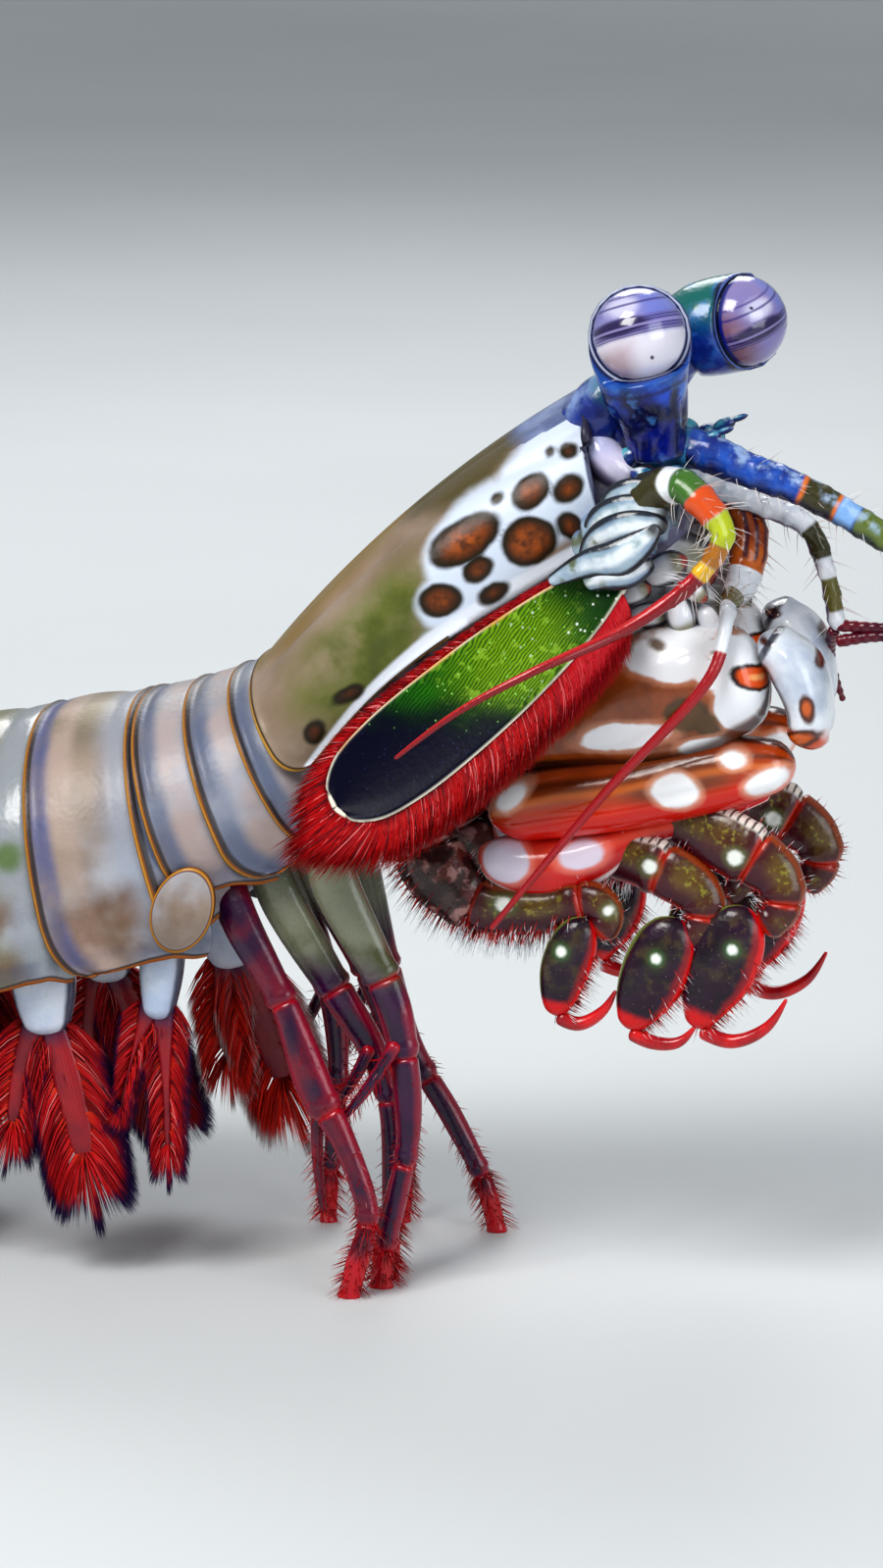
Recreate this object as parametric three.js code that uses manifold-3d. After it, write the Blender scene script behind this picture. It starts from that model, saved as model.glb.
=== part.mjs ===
// Peacock mantis shrimp, life size, standing with its front raised and its tail fan resting.
// Millimetres. +X is the way the animal faces, +Y is its left, +Z is up.
// The shapes are laid out from a working origin under the head; the finished group is then moved so that
// its origin is the middle of the underside of its bounding box.

import * as THREE from "three";
import { mergeVertices } from "three/addons/utils/BufferGeometryUtils.js";
import Module from "manifold-3d";

const wasm = await Module();
wasm.setup();

// Driving dimensions
const CLEARANCE = 0.3; // between two pieces that touch
const CARAPACE_REAR = { x: -12.7, z: 43.1 }; // middle of the carapace's rear border
const CARAPACE_LENGTH = 30.9;
const CARAPACE_RISE = { rear: 50, front: 29 }; // slope of the back, in degrees
const CARAPACE_HALF_WIDTH = { rear: 10.6, middle: 9.4, front: 6.6 };
const CARAPACE_DEPTH = { rear: 7.6, front: 9.6 };
const EYE_DIAMETER = 6.5;
const TELSON_LENGTH = 22;
const TELSON_HALF_WIDTH = 10.8;
const TELSON_FALL = 40; // slope of the tail plate, in degrees
const FLOOR_DEPTH = 8; // how far below the floor any foot is modelled before it is cut flat
const PLATE_THICKNESS = 0.9; // thinnest limb plates with their fringes

const LEFTWARD = new THREE.Vector3(0, 1, 0);
const RIGHT = -1;
const LEFT = 1;
const SIDES = [
  ["right", RIGHT],
  ["left", LEFT],
];

const FINISHES = {
  shell: { color: 0x9a948a, roughness: 0.35 },
  leopard: { color: 0xc9c2b4, roughness: 0.35 },
  blue: { color: 0x2c4f9e, roughness: 0.4 },
  cornea: { color: 0xb9b2d6, roughness: 0.1 },
  olive: { color: 0x4c5526, roughness: 0.5 },
  scale: { color: 0x2c6a1c, roughness: 0.4 },
  claw: { color: 0xb8683c, roughness: 0.3 },
  scarlet: { color: 0xc02418, roughness: 0.3 },
  plum: { color: 0x4a1730, roughness: 0.5 },
  flesh: { color: 0x8a5a55, roughness: 0.6 },
  tail: { color: 0x3f6a4c, roughness: 0.4 },
};

const radians = THREE.MathUtils.degToRad;
const mix = THREE.MathUtils.lerp;
const smooth = (t) => THREE.MathUtils.smoothstep(t, 0, 1);
const at = (x, y, z) => new THREE.Vector3(x, y, z);

// Solids

function solidOf(geometry) {
  const bare = geometry.clone();
  bare.deleteAttribute("normal");
  bare.deleteAttribute("uv");
  const merged = mergeVertices(bare, 1e-4);
  const make = (triVerts) =>
    new wasm.Manifold(
      new wasm.Mesh({
        numProp: 3,
        vertProperties: new Float32Array(merged.attributes.position.array),
        triVerts,
      }),
    );
  const faces = new Uint32Array(merged.index.array);
  const solid = make(faces);
  if (solid.volume() > 0) return solid;
  for (let i = 0; i < faces.length; i += 3) {
    const first = faces[i];
    faces[i] = faces[i + 1];
    faces[i + 1] = first;
  }
  return make(faces);
}

function geometryOf(solid) {
  const mesh = solid.getMesh();
  const points = new Float32Array(mesh.numVert * 3);
  for (let i = 0; i < mesh.numVert; i++) {
    points.set(mesh.vertProperties.subarray(i * mesh.numProp, i * mesh.numProp + 3), i * 3);
  }
  const geometry = new THREE.BufferGeometry();
  geometry.setAttribute("position", new THREE.BufferAttribute(points, 3));
  geometry.setIndex(new THREE.BufferAttribute(new Uint32Array(mesh.triVerts), 1));
  return geometry;
}

const joined = (solids) => solids.reduce((all, one) => all.add(one));

// A closed skin over rings that each hold the same number of points; a fan closes each end.
function skin(rings) {
  const count = rings[0].length;
  const points = rings.flat();
  for (const ring of [rings[0], rings.at(-1)]) {
    const middle = ring.reduce((sum, p) => sum.add(p), at(0, 0, 0));
    points.push(middle.divideScalar(count));
  }
  const tail = points.length - 2;
  const nose = points.length - 1;
  const last = (rings.length - 1) * count;
  const faces = [];
  for (let j = 0; j < count; j++) {
    const next = (j + 1) % count;
    for (let i = 0; i < rings.length - 1; i++) {
      const a = i * count + j;
      const b = i * count + next;
      faces.push(a, b, b + count, a, b + count, a + count);
    }
    faces.push(tail, next, j, nose, last + j, last + next);
  }
  const geometry = new THREE.BufferGeometry().setFromPoints(points);
  geometry.setIndex(faces);
  return solidOf(geometry);
}

// A limb: an oval section carried along a smooth line through the stations. Each station has a place and
// two half sizes: wide along the across direction, and deep at right angles to it and to the line.
function limb(stations, { across = LEFTWARD, corners = 8 } = {}) {
  const line = new THREE.CatmullRomCurve3(stations.map((s) => s.place), false, "centripetal");
  const last = stations.length - 1;
  return (grow) =>
    skin(
      stations.map(({ place, wide, deep }, i) => {
        const along = line.getTangent(i / last);
        const side = across.clone().addScaledVector(along, -across.dot(along)).normalize();
        const up = new THREE.Vector3().crossVectors(along, side);
        const slide = i === 0 ? -grow : i === last ? grow : 0;
        const middle = place.clone().addScaledVector(along, slide);
        return Array.from({ length: corners }, (_, j) => {
          const turn = ((j + 0.5) / corners) * 2 * Math.PI;
          return middle
            .clone()
            .addScaledVector(side, (wide + grow) * Math.cos(turn))
            .addScaledVector(up, (deep + grow) * Math.sin(turn));
        });
      }),
    );
}

// Stations of one side's limb, from rows of: forward, outward from the middle plane, up, half size across
// and half size in height, which is the same where it isn't given.
const stationsOn = (hand, rows, forward = 0) =>
  rows.map(([x, out, z, wide, deep = wide]) => ({ place: at(x + forward, hand * out, z), wide, deep }));

const several = (makers) => (grow) => joined(makers.map((make) => make(grow)));

// A thin rod through rows of places, thinner towards its tip.
function rod(hand, rows, { root, tip }, corners = 6) {
  const last = rows.length - 1;
  const stations = stationsOn(hand, rows.map((row, i) => [...row, mix(root, tip, i / last)]));
  return limb(stations, { corners });
}

const ball = (place, radius, rings) => (grow) => {
  const geometry = new THREE.SphereGeometry(radius + grow, rings + 4, rings);
  geometry.translate(place.x, place.y, place.z);
  return solidOf(geometry);
};

// A half-barrel section of the body, open below: its outline runs from one lower border over the back to the
// other and returns under the body. lean is how far the section's lower end is swung forward, in degrees.
const CROWN_SHARE = 0.66; // part of the depth that is the curved back, above the upright side wall
const ARCH_STEPS = 8;
const ARCH_POWER = 0.93; // below 1 squares the shoulders
const UNDERCUT = [
  [0.93, 1],
  [0.83, 0.96],
  [0.5, 0.8],
]; // the lower border and the hollow inside it, in shares of the half width and of the depth
function archRing({ x, z, lean, half, depth }) {
  const down = at(Math.sin(radians(lean)), 0, -Math.cos(radians(lean)));
  const point = (y, v) => at(x, y * half, z).addScaledVector(down, v * depth);
  const arch = Array.from({ length: ARCH_STEPS + 1 }, (_, i) => {
    const turn = (i / ARCH_STEPS) * Math.PI;
    const y = -Math.sign(Math.cos(turn)) * Math.abs(Math.cos(turn)) ** ARCH_POWER;
    return point(y, CROWN_SHARE * (1 - Math.sin(turn) ** ARCH_POWER));
  });
  const under = UNDERCUT.map(([y, v]) => point(y, v));
  const back = UNDERCUT.toReversed().map(([y, v]) => point(-y, v));
  return [...arch, ...under, ...back];
}

// A barrel from a row of sections, grown outward and lengthened at both ends by grow.
const barrel = (sections) => (grow) => {
  const last = sections.length - 1;
  const rings = sections.map((section, i) => {
    const slide = i === 0 ? grow : i === last ? -grow : 0;
    const lean = radians(section.lean);
    return archRing({
      ...section,
      x: section.x + slide * section.ahead.x - grow * Math.sin(lean),
      z: section.z + slide * section.ahead.z + grow * Math.cos(lean),
      half: section.half + grow,
      depth: section.depth + 2 * grow,
    });
  });
  return skin(rings);
};

// The back behind the carapace, ring by ring. long: length along the back; fall: its slope down to the rear;
// lean: how far the lower end of the ring's rear border is swung forward; depth: from the back to the lower
// border; half: half width. The fall and the lean are in degrees.
const RINGS = [
  { name: "thorax_5", long: 2.4, fall: 22, lean: 29, depth: 12.4, half: 9.9 },
  { name: "thorax_6", long: 3.4, fall: 19, lean: 22, depth: 14.2, half: 10.6 },
  { name: "thorax_7", long: 2.0, fall: 14, lean: 20, depth: 13.4, half: 10.8 },
  { name: "thorax_8", long: 1.6, fall: 13, lean: 16, depth: 16.8, half: 11.1 },
  { name: "abdomen_1", long: 7.8, fall: 11, lean: 10, depth: 17.8, half: 11.8 },
  { name: "abdomen_2", long: 9.0, fall: 13.5, lean: 15, depth: 17.6, half: 12.1 },
  { name: "abdomen_3", long: 9.8, fall: 21, lean: 23, depth: 16.6, half: 12.3 },
  { name: "abdomen_4", long: 10.2, fall: 30, lean: 32, depth: 15.0, half: 12.3 },
  { name: "abdomen_5", long: 10.4, fall: 38, lean: 39, depth: 12.8, half: 11.9 },
  { name: "abdomen_6", long: 8.4, fall: 42, lean: 42, depth: 9.6, half: 10.9 },
];
const REAR_FLARE = 0.25; // each ring's rear border stands out over the next ring
const SHOULDER = 0.6; // part of a ring's own depth in its front border, the rest being its neighbour's

function bodyRings() {
  let from = { x: CARAPACE_REAR.x, z: CARAPACE_REAR.z, lean: 30 };
  return RINGS.map((ring, i) => {
    const fall = radians(ring.fall);
    const ahead = at(Math.cos(fall), 0, Math.sin(fall));
    const before = RINGS[Math.max(i - 1, 0)];
    const shallow = mix(Math.min(before.depth, ring.depth), ring.depth, SHOULDER);
    const narrow = Math.min(before.half, ring.half);
    const to = {
      x: from.x - ring.long * ahead.x,
      z: from.z - ring.long * ahead.z,
      lean: ring.lean,
    };
    const start = from;
    const section = (share) => ({
      x: mix(start.x, to.x, share),
      z: mix(start.z, to.z, share),
      lean: mix(start.lean, to.lean, share),
      half: mix(narrow, ring.half + REAR_FLARE, share),
      depth: mix(shallow, ring.depth, share),
      ahead,
    });
    const gap = CLEARANCE / 2 / ring.long;
    from = to;
    return { ...ring, from: start, to, sections: [gap, 0.5, 1 - gap].map(section) };
  });
}
const BODY = bodyRings();
const ringNamed = (name) => BODY.find((ring) => ring.name === name);

// A place on a ring: share of its length from the front, out from the middle plane, and v below the back.
function placeOn(ring, share, out, v) {
  const lean = radians(mix(ring.from.lean, ring.to.lean, share));
  const x = mix(ring.from.x, ring.to.x, share) + v * Math.sin(lean);
  const z = mix(ring.from.z, ring.to.z, share) - v * Math.cos(lean);
  return at(x, out, z);
}

// Carapace, shallower at its rear where its lower corners are rounded, with the small rostral plate in front
const CARAPACE_STEPS = 6;
const CARAPACE_LEAN = { rear: 31, front: 15 };
function carapace() {
  const { rear, middle, front } = CARAPACE_HALF_WIDTH;
  const step = CARAPACE_LENGTH / CARAPACE_STEPS;
  const sections = [];
  let { x, z } = CARAPACE_REAR;
  for (let i = 0; i <= CARAPACE_STEPS; i++) {
    const t = i / CARAPACE_STEPS;
    const rise = radians(mix(CARAPACE_RISE.rear, CARAPACE_RISE.front, t));
    sections.push({
      x,
      z,
      lean: mix(CARAPACE_LEAN.rear, CARAPACE_LEAN.front, t),
      half: t < 0.5 ? mix(rear, middle, smooth(2 * t)) : mix(middle, front, smooth(2 * t - 1)),
      depth: mix(CARAPACE_DEPTH.rear, CARAPACE_DEPTH.front, smooth(Math.min(1, 4 * t))),
      ahead: at(-Math.cos(rise), 0, -Math.sin(rise)),
    });
    x += step * Math.cos(rise);
    z += step * Math.sin(rise);
  }
  const tip = sections.at(-1);
  const rostrum = limb([
    { place: at(tip.x - 1.6, 0, tip.z - 1.4), wide: 3.2, deep: 0.6 },
    { place: at(tip.x + 1.0, 0, tip.z - 0.4), wide: 2.6, deep: 0.6 },
    { place: at(tip.x + 3.0, 0, tip.z - 0.3), wide: 0.8, deep: 0.4 },
  ]);
  return several([barrel(sections), rostrum]);
}

// Head and the fore-part of the trunk under the carapace
const HEAD = [
  [-7.0, 0, 38.0, 7.4, 5.6],
  [-1.5, 0, 42.4, 7.8, 7.4],
  [5.2, 0, 48.6, 7.0, 7.6],
  [11.4, 0, 54.2, 5.9, 6.2],
  [15.4, 0, 57.2, 4.6, 4.4],
  [17.2, 0, 58.4, 3.2, 2.6],
];
const head = () => limb(stationsOn(LEFT, HEAD), { corners: 10 });

// Lip and jaws in the middle under the head, with a short feeler on each side
const LIP = [
  [13.0, 0, 50.0, 3.6, 2.6],
  [17.2, 0, 50.6, 3.2, 2.6],
  [19.6, 0, 50.4, 2.0, 1.4],
];
const JAW_FEELER = [
  [16.4, 2.4, 50.0],
  [19.4, 2.8, 48.8],
  [20.2, 2.6, 47.4],
];
const mouthparts = () =>
  several([
    limb(stationsOn(LEFT, LIP)),
    ...SIDES.map(([, hand]) => rod(hand, JAW_FEELER, { root: 1.2, tip: 0.5 }, 5)),
  ]);

// Underside of the trunk, between the lower borders of the rings
const UNDERSIDE = [
  { ring: "thorax_5", share: 0, v: 12.2, wide: 6.4, deep: 2.0 },
  { ring: "thorax_7", share: 0.5, v: 13.8, wide: 6.4, deep: 1.8 },
  { ring: "abdomen_1", share: 0.4, v: 16.2, wide: 6.0, deep: 1.2 },
];
const underside = () =>
  limb(
    UNDERSIDE.map(({ ring, share, v, ...sizes }) => {
      const place = placeOn(ringNamed(ring), share, 0, v);
      return { place, ...sizes };
    }),
  );

// Eyes: a ball in a cup that tops its stalk. Both are turned their own way.
const EYES = {
  right: [14.8, 5.0, 67.4],
  left: [20.0, 6.0, 67.0],
};
const EYE_STALKS = {
  right: [
    [15.9, 2.4, 59.4, 1.9],
    [15.7, 3.8, 61.8, 2.1],
    [15.1, 4.8, 64.2, 2.9],
    [14.9, 5.0, 66.4, 3.35],
  ],
  left: [
    [14.6, 2.2, 59.4, 1.8],
    [14.2, 4.0, 62.4, 1.9],
    [15.2, 5.2, 65.2, 2.6],
    [17.2, 5.7, 66.3, 3.2],
    [18.9, 5.9, 66.8, 3.35],
  ],
};
function eye(side, hand) {
  const [x, out, z] = EYES[side];
  return ball(at(x, hand * out, z), EYE_DIAMETER / 2, 8);
}
const eyeStalk = (side, hand) => limb(stationsOn(hand, EYE_STALKS[side]));

// First feelers: a jointed stem that ends in three whips
const ANTENNULE_STEMS = {
  right: [
    [14.8, 2.0, 58.6, 1.5],
    [18.0, 2.8, 59.4, 1.5],
    [22.0, 3.0, 58.1, 1.3],
    [26.2, 3.0, 56.6, 1.15],
    [31.2, 3.0, 53.9, 1.05],
    [35.2, 3.0, 51.2, 0.95],
  ],
  left: [
    [14.8, 2.0, 57.2, 1.4],
    [17.6, 2.6, 56.4, 1.35],
    [20.8, 3.0, 55.0, 1.2],
    [25.2, 3.0, 53.3, 0.95],
    [26.6, 3.0, 50.4, 0.85],
    [27.5, 3.0, 46.0, 0.75],
  ],
};
const ANTENNULE_WHIPS = {
  right: [
    [[35.0, 3.2, 51.4], [41.0, 4.6, 49.2], [47.0, 6.0, 46.0]],
    [[35.0, 2.8, 51.2], [41.5, 1.8, 49.8], [47.6, 0.6, 49.4]],
    [[35.0, 3.0, 51.0], [39.0, 3.6, 46.6], [41.2, 4.0, 41.8]],
  ],
  left: [
    [[27.3, 3.0, 46.4], [31.5, 3.2, 46.3], [38.5, 3.8, 46.9], [45.0, 5.4, 45.4]],
    [[27.4, 3.0, 45.2], [31.5, 3.0, 45.7], [38.0, 2.6, 44.2], [43.6, 2.0, 40.8]],
    [[27.2, 3.4, 46.0], [26.6, 6.0, 43.6], [27.2, 8.2, 40.0]],
  ],
};
const WHIP = { root: 0.5, tip: 0.3 };
const antennule = (side, hand) =>
  several([
    limb(stationsOn(hand, ANTENNULE_STEMS[side]), { corners: 6 }),
    ...ANTENNULE_WHIPS[side].map((rows) => rod(hand, rows, WHIP, 4)),
  ]);

// Second feelers: a stout root, a bent stem and a long whip, the left one laid over the right claw
const ANTENNAE = {
  right: [
    [14.0, 6.6, 53.4, 2.6],
    [16.0, 7.8, 56.6, 2.0],
    [18.3, 9.2, 58.0, 1.25],
    [20.1, 10.0, 56.9, 1.2],
    [21.6, 10.2, 54.9, 1.0],
    [21.0, 10.4, 53.0, 0.9],
    [19.2, 11.0, 51.2, 0.8],
    [15.4, 12.6, 48.5, 0.75],
    [9.6, 15.8, 45.9, 0.5],
    [4.8, 16.6, 43.2, 0.38],
    [0.2, 16.2, 39.6, 0.3],
  ],
  left: [
    [14.0, 6.6, 53.4, 2.6],
    [17.0, 6.8, 55.6, 1.9],
    [20.2, 5.4, 55.0, 1.2],
    [21.8, 4.0, 53.1, 1.0],
    [21.2, 2.6, 50.8, 0.95],
    [20.8, -0.4, 49.6, 0.7],
    [21.0, -4.6, 49.3, 0.55],
    [21.5, -8.0, 48.6, 0.5],
    [20.9, -9.9, 45.2, 0.5],
    [13.6, -10.6, 36.6, 0.42],
    [5.6, -10.2, 26.6, 0.3],
  ],
};
const antenna = (side, hand) => limb(stationsOn(hand, ANTENNAE[side]), { corners: 5 });

// The broad scale of each antenna, with its fringe: a thin blade that lies along the flank
const SCALE_LENGTH = 30.5;
const SCALE_HALF_WIDTH = 6.2;
const SCALE_OUTLINE = [
  [0, 0.3],
  [0.12, 0.62],
  [0.32, 0.94],
  [0.58, 1],
  [0.8, 0.86],
  [0.93, 0.56],
  [1, 0.24],
]; // share of the length, share of the half width
function antennalScale(side, hand) {
  const root = at(15.6, hand * 9.6, 51.2);
  const along = at(-0.75, hand * 0.13, -0.65).normalize();
  const face = at(0, hand * 0.95, 0.31);
  const across = new THREE.Vector3().crossVectors(along, face).normalize();
  const stations = SCALE_OUTLINE.map(([share, width]) => ({
    place: root.clone().addScaledVector(along, SCALE_LENGTH * share),
    wide: SCALE_HALF_WIDTH * width,
    deep: PLATE_THICKNESS / 2,
  }));
  return limb(stations, { across });
}

// Raptorial claws, folded: upper arm, wrist, palm and club
const CLAW_SET_BACK = { right: 0, left: 1.5 };
const CLAW = {
  merus: [
    [5.0, 5.4, 37.9, 1.0, 0.9],
    [10.0, 5.6, 40.3, 2.6, 2.7],
    [15.5, 5.7, 42.2, 3.2, 4.4],
    [20.2, 5.7, 43.6, 3.3, 4.1],
    [24.0, 5.6, 44.8, 2.6, 2.4],
  ],
  carpus: [
    [22.9, 5.6, 47.0, 1.6, 1.0],
    [25.2, 5.6, 45.4, 2.9, 2.3],
    [26.5, 5.6, 42.0, 2.9, 1.9],
    [26.4, 5.6, 39.4, 2.0, 1.6],
  ],
  propodus: [
    [26.0, 5.6, 38.2, 1.8, 1.4],
    [21.5, 5.6, 37.5, 2.5, 2.5],
    [14.0, 5.6, 35.7, 2.7, 2.6],
    [7.6, 5.6, 34.5, 2.4, 2.4],
    [4.6, 5.6, 33.4, 1.2, 1.3],
  ],
  dactyl: [
    [3.9, 5.6, 31.4, 1.3, 0.9],
    [5.6, 5.6, 30.6, 2.1, 1.8],
    [8.8, 5.6, 30.1, 2.3, 2.2],
    [12.0, 5.6, 31.0, 1.7, 1.7],
    [15.0, 5.6, 32.5, 0.8, 0.9],
    [20.0, 5.6, 34.2, 0.5, 0.6],
    [24.2, 5.6, 36.0, 0.35, 0.35],
  ],
};
const clawPiece = (piece, side, hand) => limb(stationsOn(hand, CLAW[piece], -CLAW_SET_BACK[side]));

// Maxillipeds: an arm, an oval hand and a hooked finger. The left ones are held a little further forward.
const LEFT_REACH = { right: 0, left: 0.6 };
const FINGER = { root: 0.5, tip: 0.3 };
const MAXILLIPEDS = {
  maxilliped_3: {
    arm: [
      [8.0, 1.3, 37.6, 0.9, 1.4],
      [12.6, 1.6, 34.4, 0.9, 1.4],
      [17.2, 4.6, 34.0, 1.2, 1.5],
      [21.4, 6.2, 32.7, 1.3, 2.1],
      [25.0, 6.6, 30.4, 1.2, 1.6],
      [25.3, 6.8, 28.2, 1.1, 1.2],
      [23.9, 7.0, 26.9, 0.8, 0.9],
    ],
    palm: [
      [22.9, 7.2, 28.4, 0.6, 0.9],
      [22.3, 7.2, 26.8, 1.1, 2.1],
      [21.2, 7.2, 24.0, 1.3, 2.5],
      [20.1, 7.2, 21.4, 1.0, 1.7],
      [19.6, 7.2, 19.6, 0.6, 0.7],
    ],
    finger: [[19.8, 7.2, 19.5], [22.0, 7.2, 18.8], [24.3, 7.2, 19.8], [25.8, 7.2, 22.0]],
  },
  maxilliped_4: {
    arm: [
      [3.6, 1.4, 35.6, 0.9, 1.4],
      [7.6, 1.8, 31.4, 0.9, 1.4],
      [13.0, 4.8, 31.2, 1.1, 1.5],
      [16.9, 6.4, 30.6, 1.2, 1.8],
      [19.7, 6.8, 28.8, 1.1, 1.5],
      [19.7, 7.0, 26.7, 1.0, 1.1],
      [18.4, 7.2, 26.0, 0.7, 0.8],
    ],
    palm: [
      [18.3, 7.5, 27.4, 0.6, 0.9],
      [17.7, 7.5, 26.0, 1.1, 2.0],
      [16.6, 7.5, 23.4, 1.3, 2.35],
      [15.5, 7.5, 21.0, 1.0, 1.7],
      [14.8, 7.5, 19.4, 0.6, 0.7],
    ],
    finger: [[14.9, 7.5, 19.2], [16.6, 7.5, 18.5], [18.3, 7.5, 18.6], [19.5, 7.5, 19.8]],
  },
  maxilliped_5: {
    arm: [
      [-0.6, 4.6, 33.4, 1.7, 2.0],
      [0.6, 5.4, 30.0, 2.0, 2.3],
      [4.0, 6.2, 27.4, 1.5, 1.8],
      [8.6, 6.8, 27.4, 1.2, 1.4],
      [12.4, 7.2, 28.2, 1.1, 1.3],
      [13.4, 7.6, 27.2, 0.9, 1.0],
      [12.6, 7.8, 26.0, 0.7, 0.8],
    ],
    palm: [
      [12.0, 8.0, 27.2, 0.5, 0.7],
      [11.3, 8.0, 25.9, 1.0, 1.5],
      [10.5, 8.0, 23.8, 1.1, 1.75],
      [10.0, 8.0, 21.6, 0.9, 1.3],
      [9.8, 8.0, 20.2, 0.5, 0.6],
    ],
    finger: [[9.9, 8.0, 20.2], [11.4, 8.0, 19.7], [13.0, 8.0, 20.6], [14.0, 8.0, 22.2]],
  },
};
function maxilliped(name, side, hand) {
  const reach = (rows) => rows.map(([x, ...rest]) => [x > 10 ? x + LEFT_REACH[side] : x, ...rest]);
  const { arm, palm, finger } = MAXILLIPEDS[name];
  return several([
    limb(stationsOn(hand, reach(arm)), { corners: 5 }),
    limb(stationsOn(hand, reach(palm)), { corners: 7 }),
    rod(hand, reach(finger), FINGER, 4),
  ]);
}

// The first pair, slender cleaning legs folded beside the mouth
const CLEANING_LEG = [
  [9.0, 4.2, 44.6],
  [15.0, 3.0, 47.0],
  [18.6, 2.0, 46.6],
  [19.8, 1.4, 45.0],
];
const cleaningLeg = (hand) => rod(hand, CLEANING_LEG, { root: 0.9, tip: 0.5 });

// Walking legs: the jointed leg down to its foot, and a slender outer branch from its knee
const BRANCH = { root: 0.55, tip: 0.32 };
const WALKING_LEGS = {
  leg_6_right: {
    leg: [
      [-6.9, 6.8, 33.0, 1.1, 1.7],
      [-6.1, 7.8, 29.4, 1.1, 1.75],
      [-1.8, 8.3, 20.8, 1.0, 1.3],
      [-0.9, 8.4, 16.8, 0.9, 1.1],
      [-0.6, 8.4, 13.4, 0.85, 1.0],
      [-0.7, 8.3, 10.2, 0.75, 0.85],
      [-2.2, 8.3, 3.4, 0.75, 0.85],
      [-2.6, 8.3, -0.8, 0.6, 0.8],
    ],
    branch: [[-1.2, 9.2, 18.0], [-3.0, 9.7, 15.0], [-5.0, 9.9, 12.4]],
  },
  leg_7_right: {
    leg: [
      [-11.4, 6.0, 31.0, 1.0, 1.5],
      [-10.4, 6.6, 28.0, 1.0, 1.6],
      [-6.0, 6.2, 20.4, 0.9, 1.3],
      [-3.6, 6.0, 16.4, 0.8, 1.0],
      [-2.5, 5.6, 12.0, 0.75, 0.85],
      [-2.4, 5.6, 5.0, 0.65, 0.75],
      [-2.7, 5.6, -0.8, 0.6, 0.7],
    ],
    branch: [[-3.6, 6.8, 17.0], [-4.8, 6.8, 14.6], [-6.4, 6.8, 12.0]],
  },
  leg_8_right: {
    leg: [
      [-14.4, 7.2, 30.6, 1.0, 1.4],
      [-12.8, 8.6, 26.6, 1.0, 1.4],
      [-9.0, 9.8, 20.2, 0.9, 1.1],
      [-6.6, 10.5, 14.4, 0.9, 1.35],
      [-4.6, 10.8, 11.0, 0.8, 0.9],
      [-2.9, 11.0, 5.6, 0.7, 0.85],
      [-3.7, 11.1, 2.4, 0.7, 0.8],
      [-4.4, 11.2, -0.8, 0.6, 0.8],
    ],
    branch: [[-6.7, 9.8, 13.4], [-6.9, 9.3, 9.6], [-6.6, 8.8, 5.4]],
  },
  leg_6_left: {
    leg: [
      [-8.8, 6.8, 33.0, 1.1, 1.7],
      [-8.2, 7.6, 28.4, 1.1, 1.7],
      [-5.7, 7.6, 19.0, 1.0, 1.2],
      [-4.0, 7.5, 13.6, 0.9, 1.0],
      [-0.8, 7.3, 8.4, 0.75, 0.85],
      [1.6, 7.3, 3.6, 0.7, 0.75],
      [2.7, 7.3, -0.8, 0.6, 0.7],
    ],
    branch: [[-5.2, 8.6, 18.0], [-6.8, 9.0, 15.2], [-8.2, 9.2, 13.0]],
  },
  leg_7_left: {
    leg: [
      [-11.6, 6.4, 31.0, 1.0, 1.5],
      [-10.4, 7.4, 26.0, 1.0, 1.5],
      [-6.8, 8.0, 18.0, 0.9, 1.1],
      [-4.3, 8.1, 11.0, 0.75, 0.85],
      [-4.4, 8.3, 4.6, 0.65, 0.75],
      [-4.9, 8.4, -0.8, 0.6, 0.7],
    ],
    branch: [[-7.2, 9.0, 18.0], [-8.4, 9.4, 15.2], [-9.2, 9.6, 12.6]],
  },
  leg_8_left: {
    leg: [
      [-14.4, 7.4, 30.4, 1.0, 1.4],
      [-12.8, 8.2, 25.4, 1.0, 1.3],
      [-9.8, 8.2, 16.4, 0.8, 1.0],
      [-9.3, 7.8, 10.4, 0.65, 0.75],
      [-9.7, 7.5, 5.0, 0.6, 0.65],
      [-10.0, 7.3, -0.8, 0.55, 0.6],
    ],
    branch: [[-10.4, 9.2, 17.4], [-12.0, 9.8, 14.4], [-13.2, 10.2, 11.6]],
  },
};
function walkingLeg(name, hand) {
  const { leg, branch } = WALKING_LEGS[name];
  return several([limb(stationsOn(hand, leg), { corners: 6 }), rod(hand, branch, BRANCH, 4)]);
}

// Swimming legs under the belly: a stout root and two feathery lobes. For each side, beat is how far the
// leg is swung back and spread is the angle between its two lobes, both in degrees. fan is the half width of
// its broader lobe.
const PLEOPODS = [
  {
    ring: "abdomen_1",
    share: 0.12,
    length: 17.4,
    spread: 15,
    right: { beat: 3, fan: 1.3 },
    left: { beat: -13, fan: 3.0 },
  },
  {
    ring: "abdomen_2",
    share: 0.1,
    length: 17.0,
    spread: 22,
    right: { beat: -6, fan: 2.8 },
    left: { beat: -10, fan: 2.6 },
  },
  {
    ring: "abdomen_3",
    share: 0.2,
    length: 14.4,
    spread: 20,
    right: { beat: 16, fan: 2.6 },
    left: { beat: 8, fan: 2.6 },
  },
  {
    ring: "abdomen_4",
    share: 0.25,
    length: 12.6,
    spread: 20,
    right: { beat: 24, fan: 2.4 },
    left: { beat: 18, fan: 2.4 },
  },
  {
    ring: "abdomen_5",
    share: 0.3,
    length: 10.6,
    spread: 20,
    right: { beat: 32, fan: 2.1 },
    left: { beat: 28, fan: 2.1 },
  },
];
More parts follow.
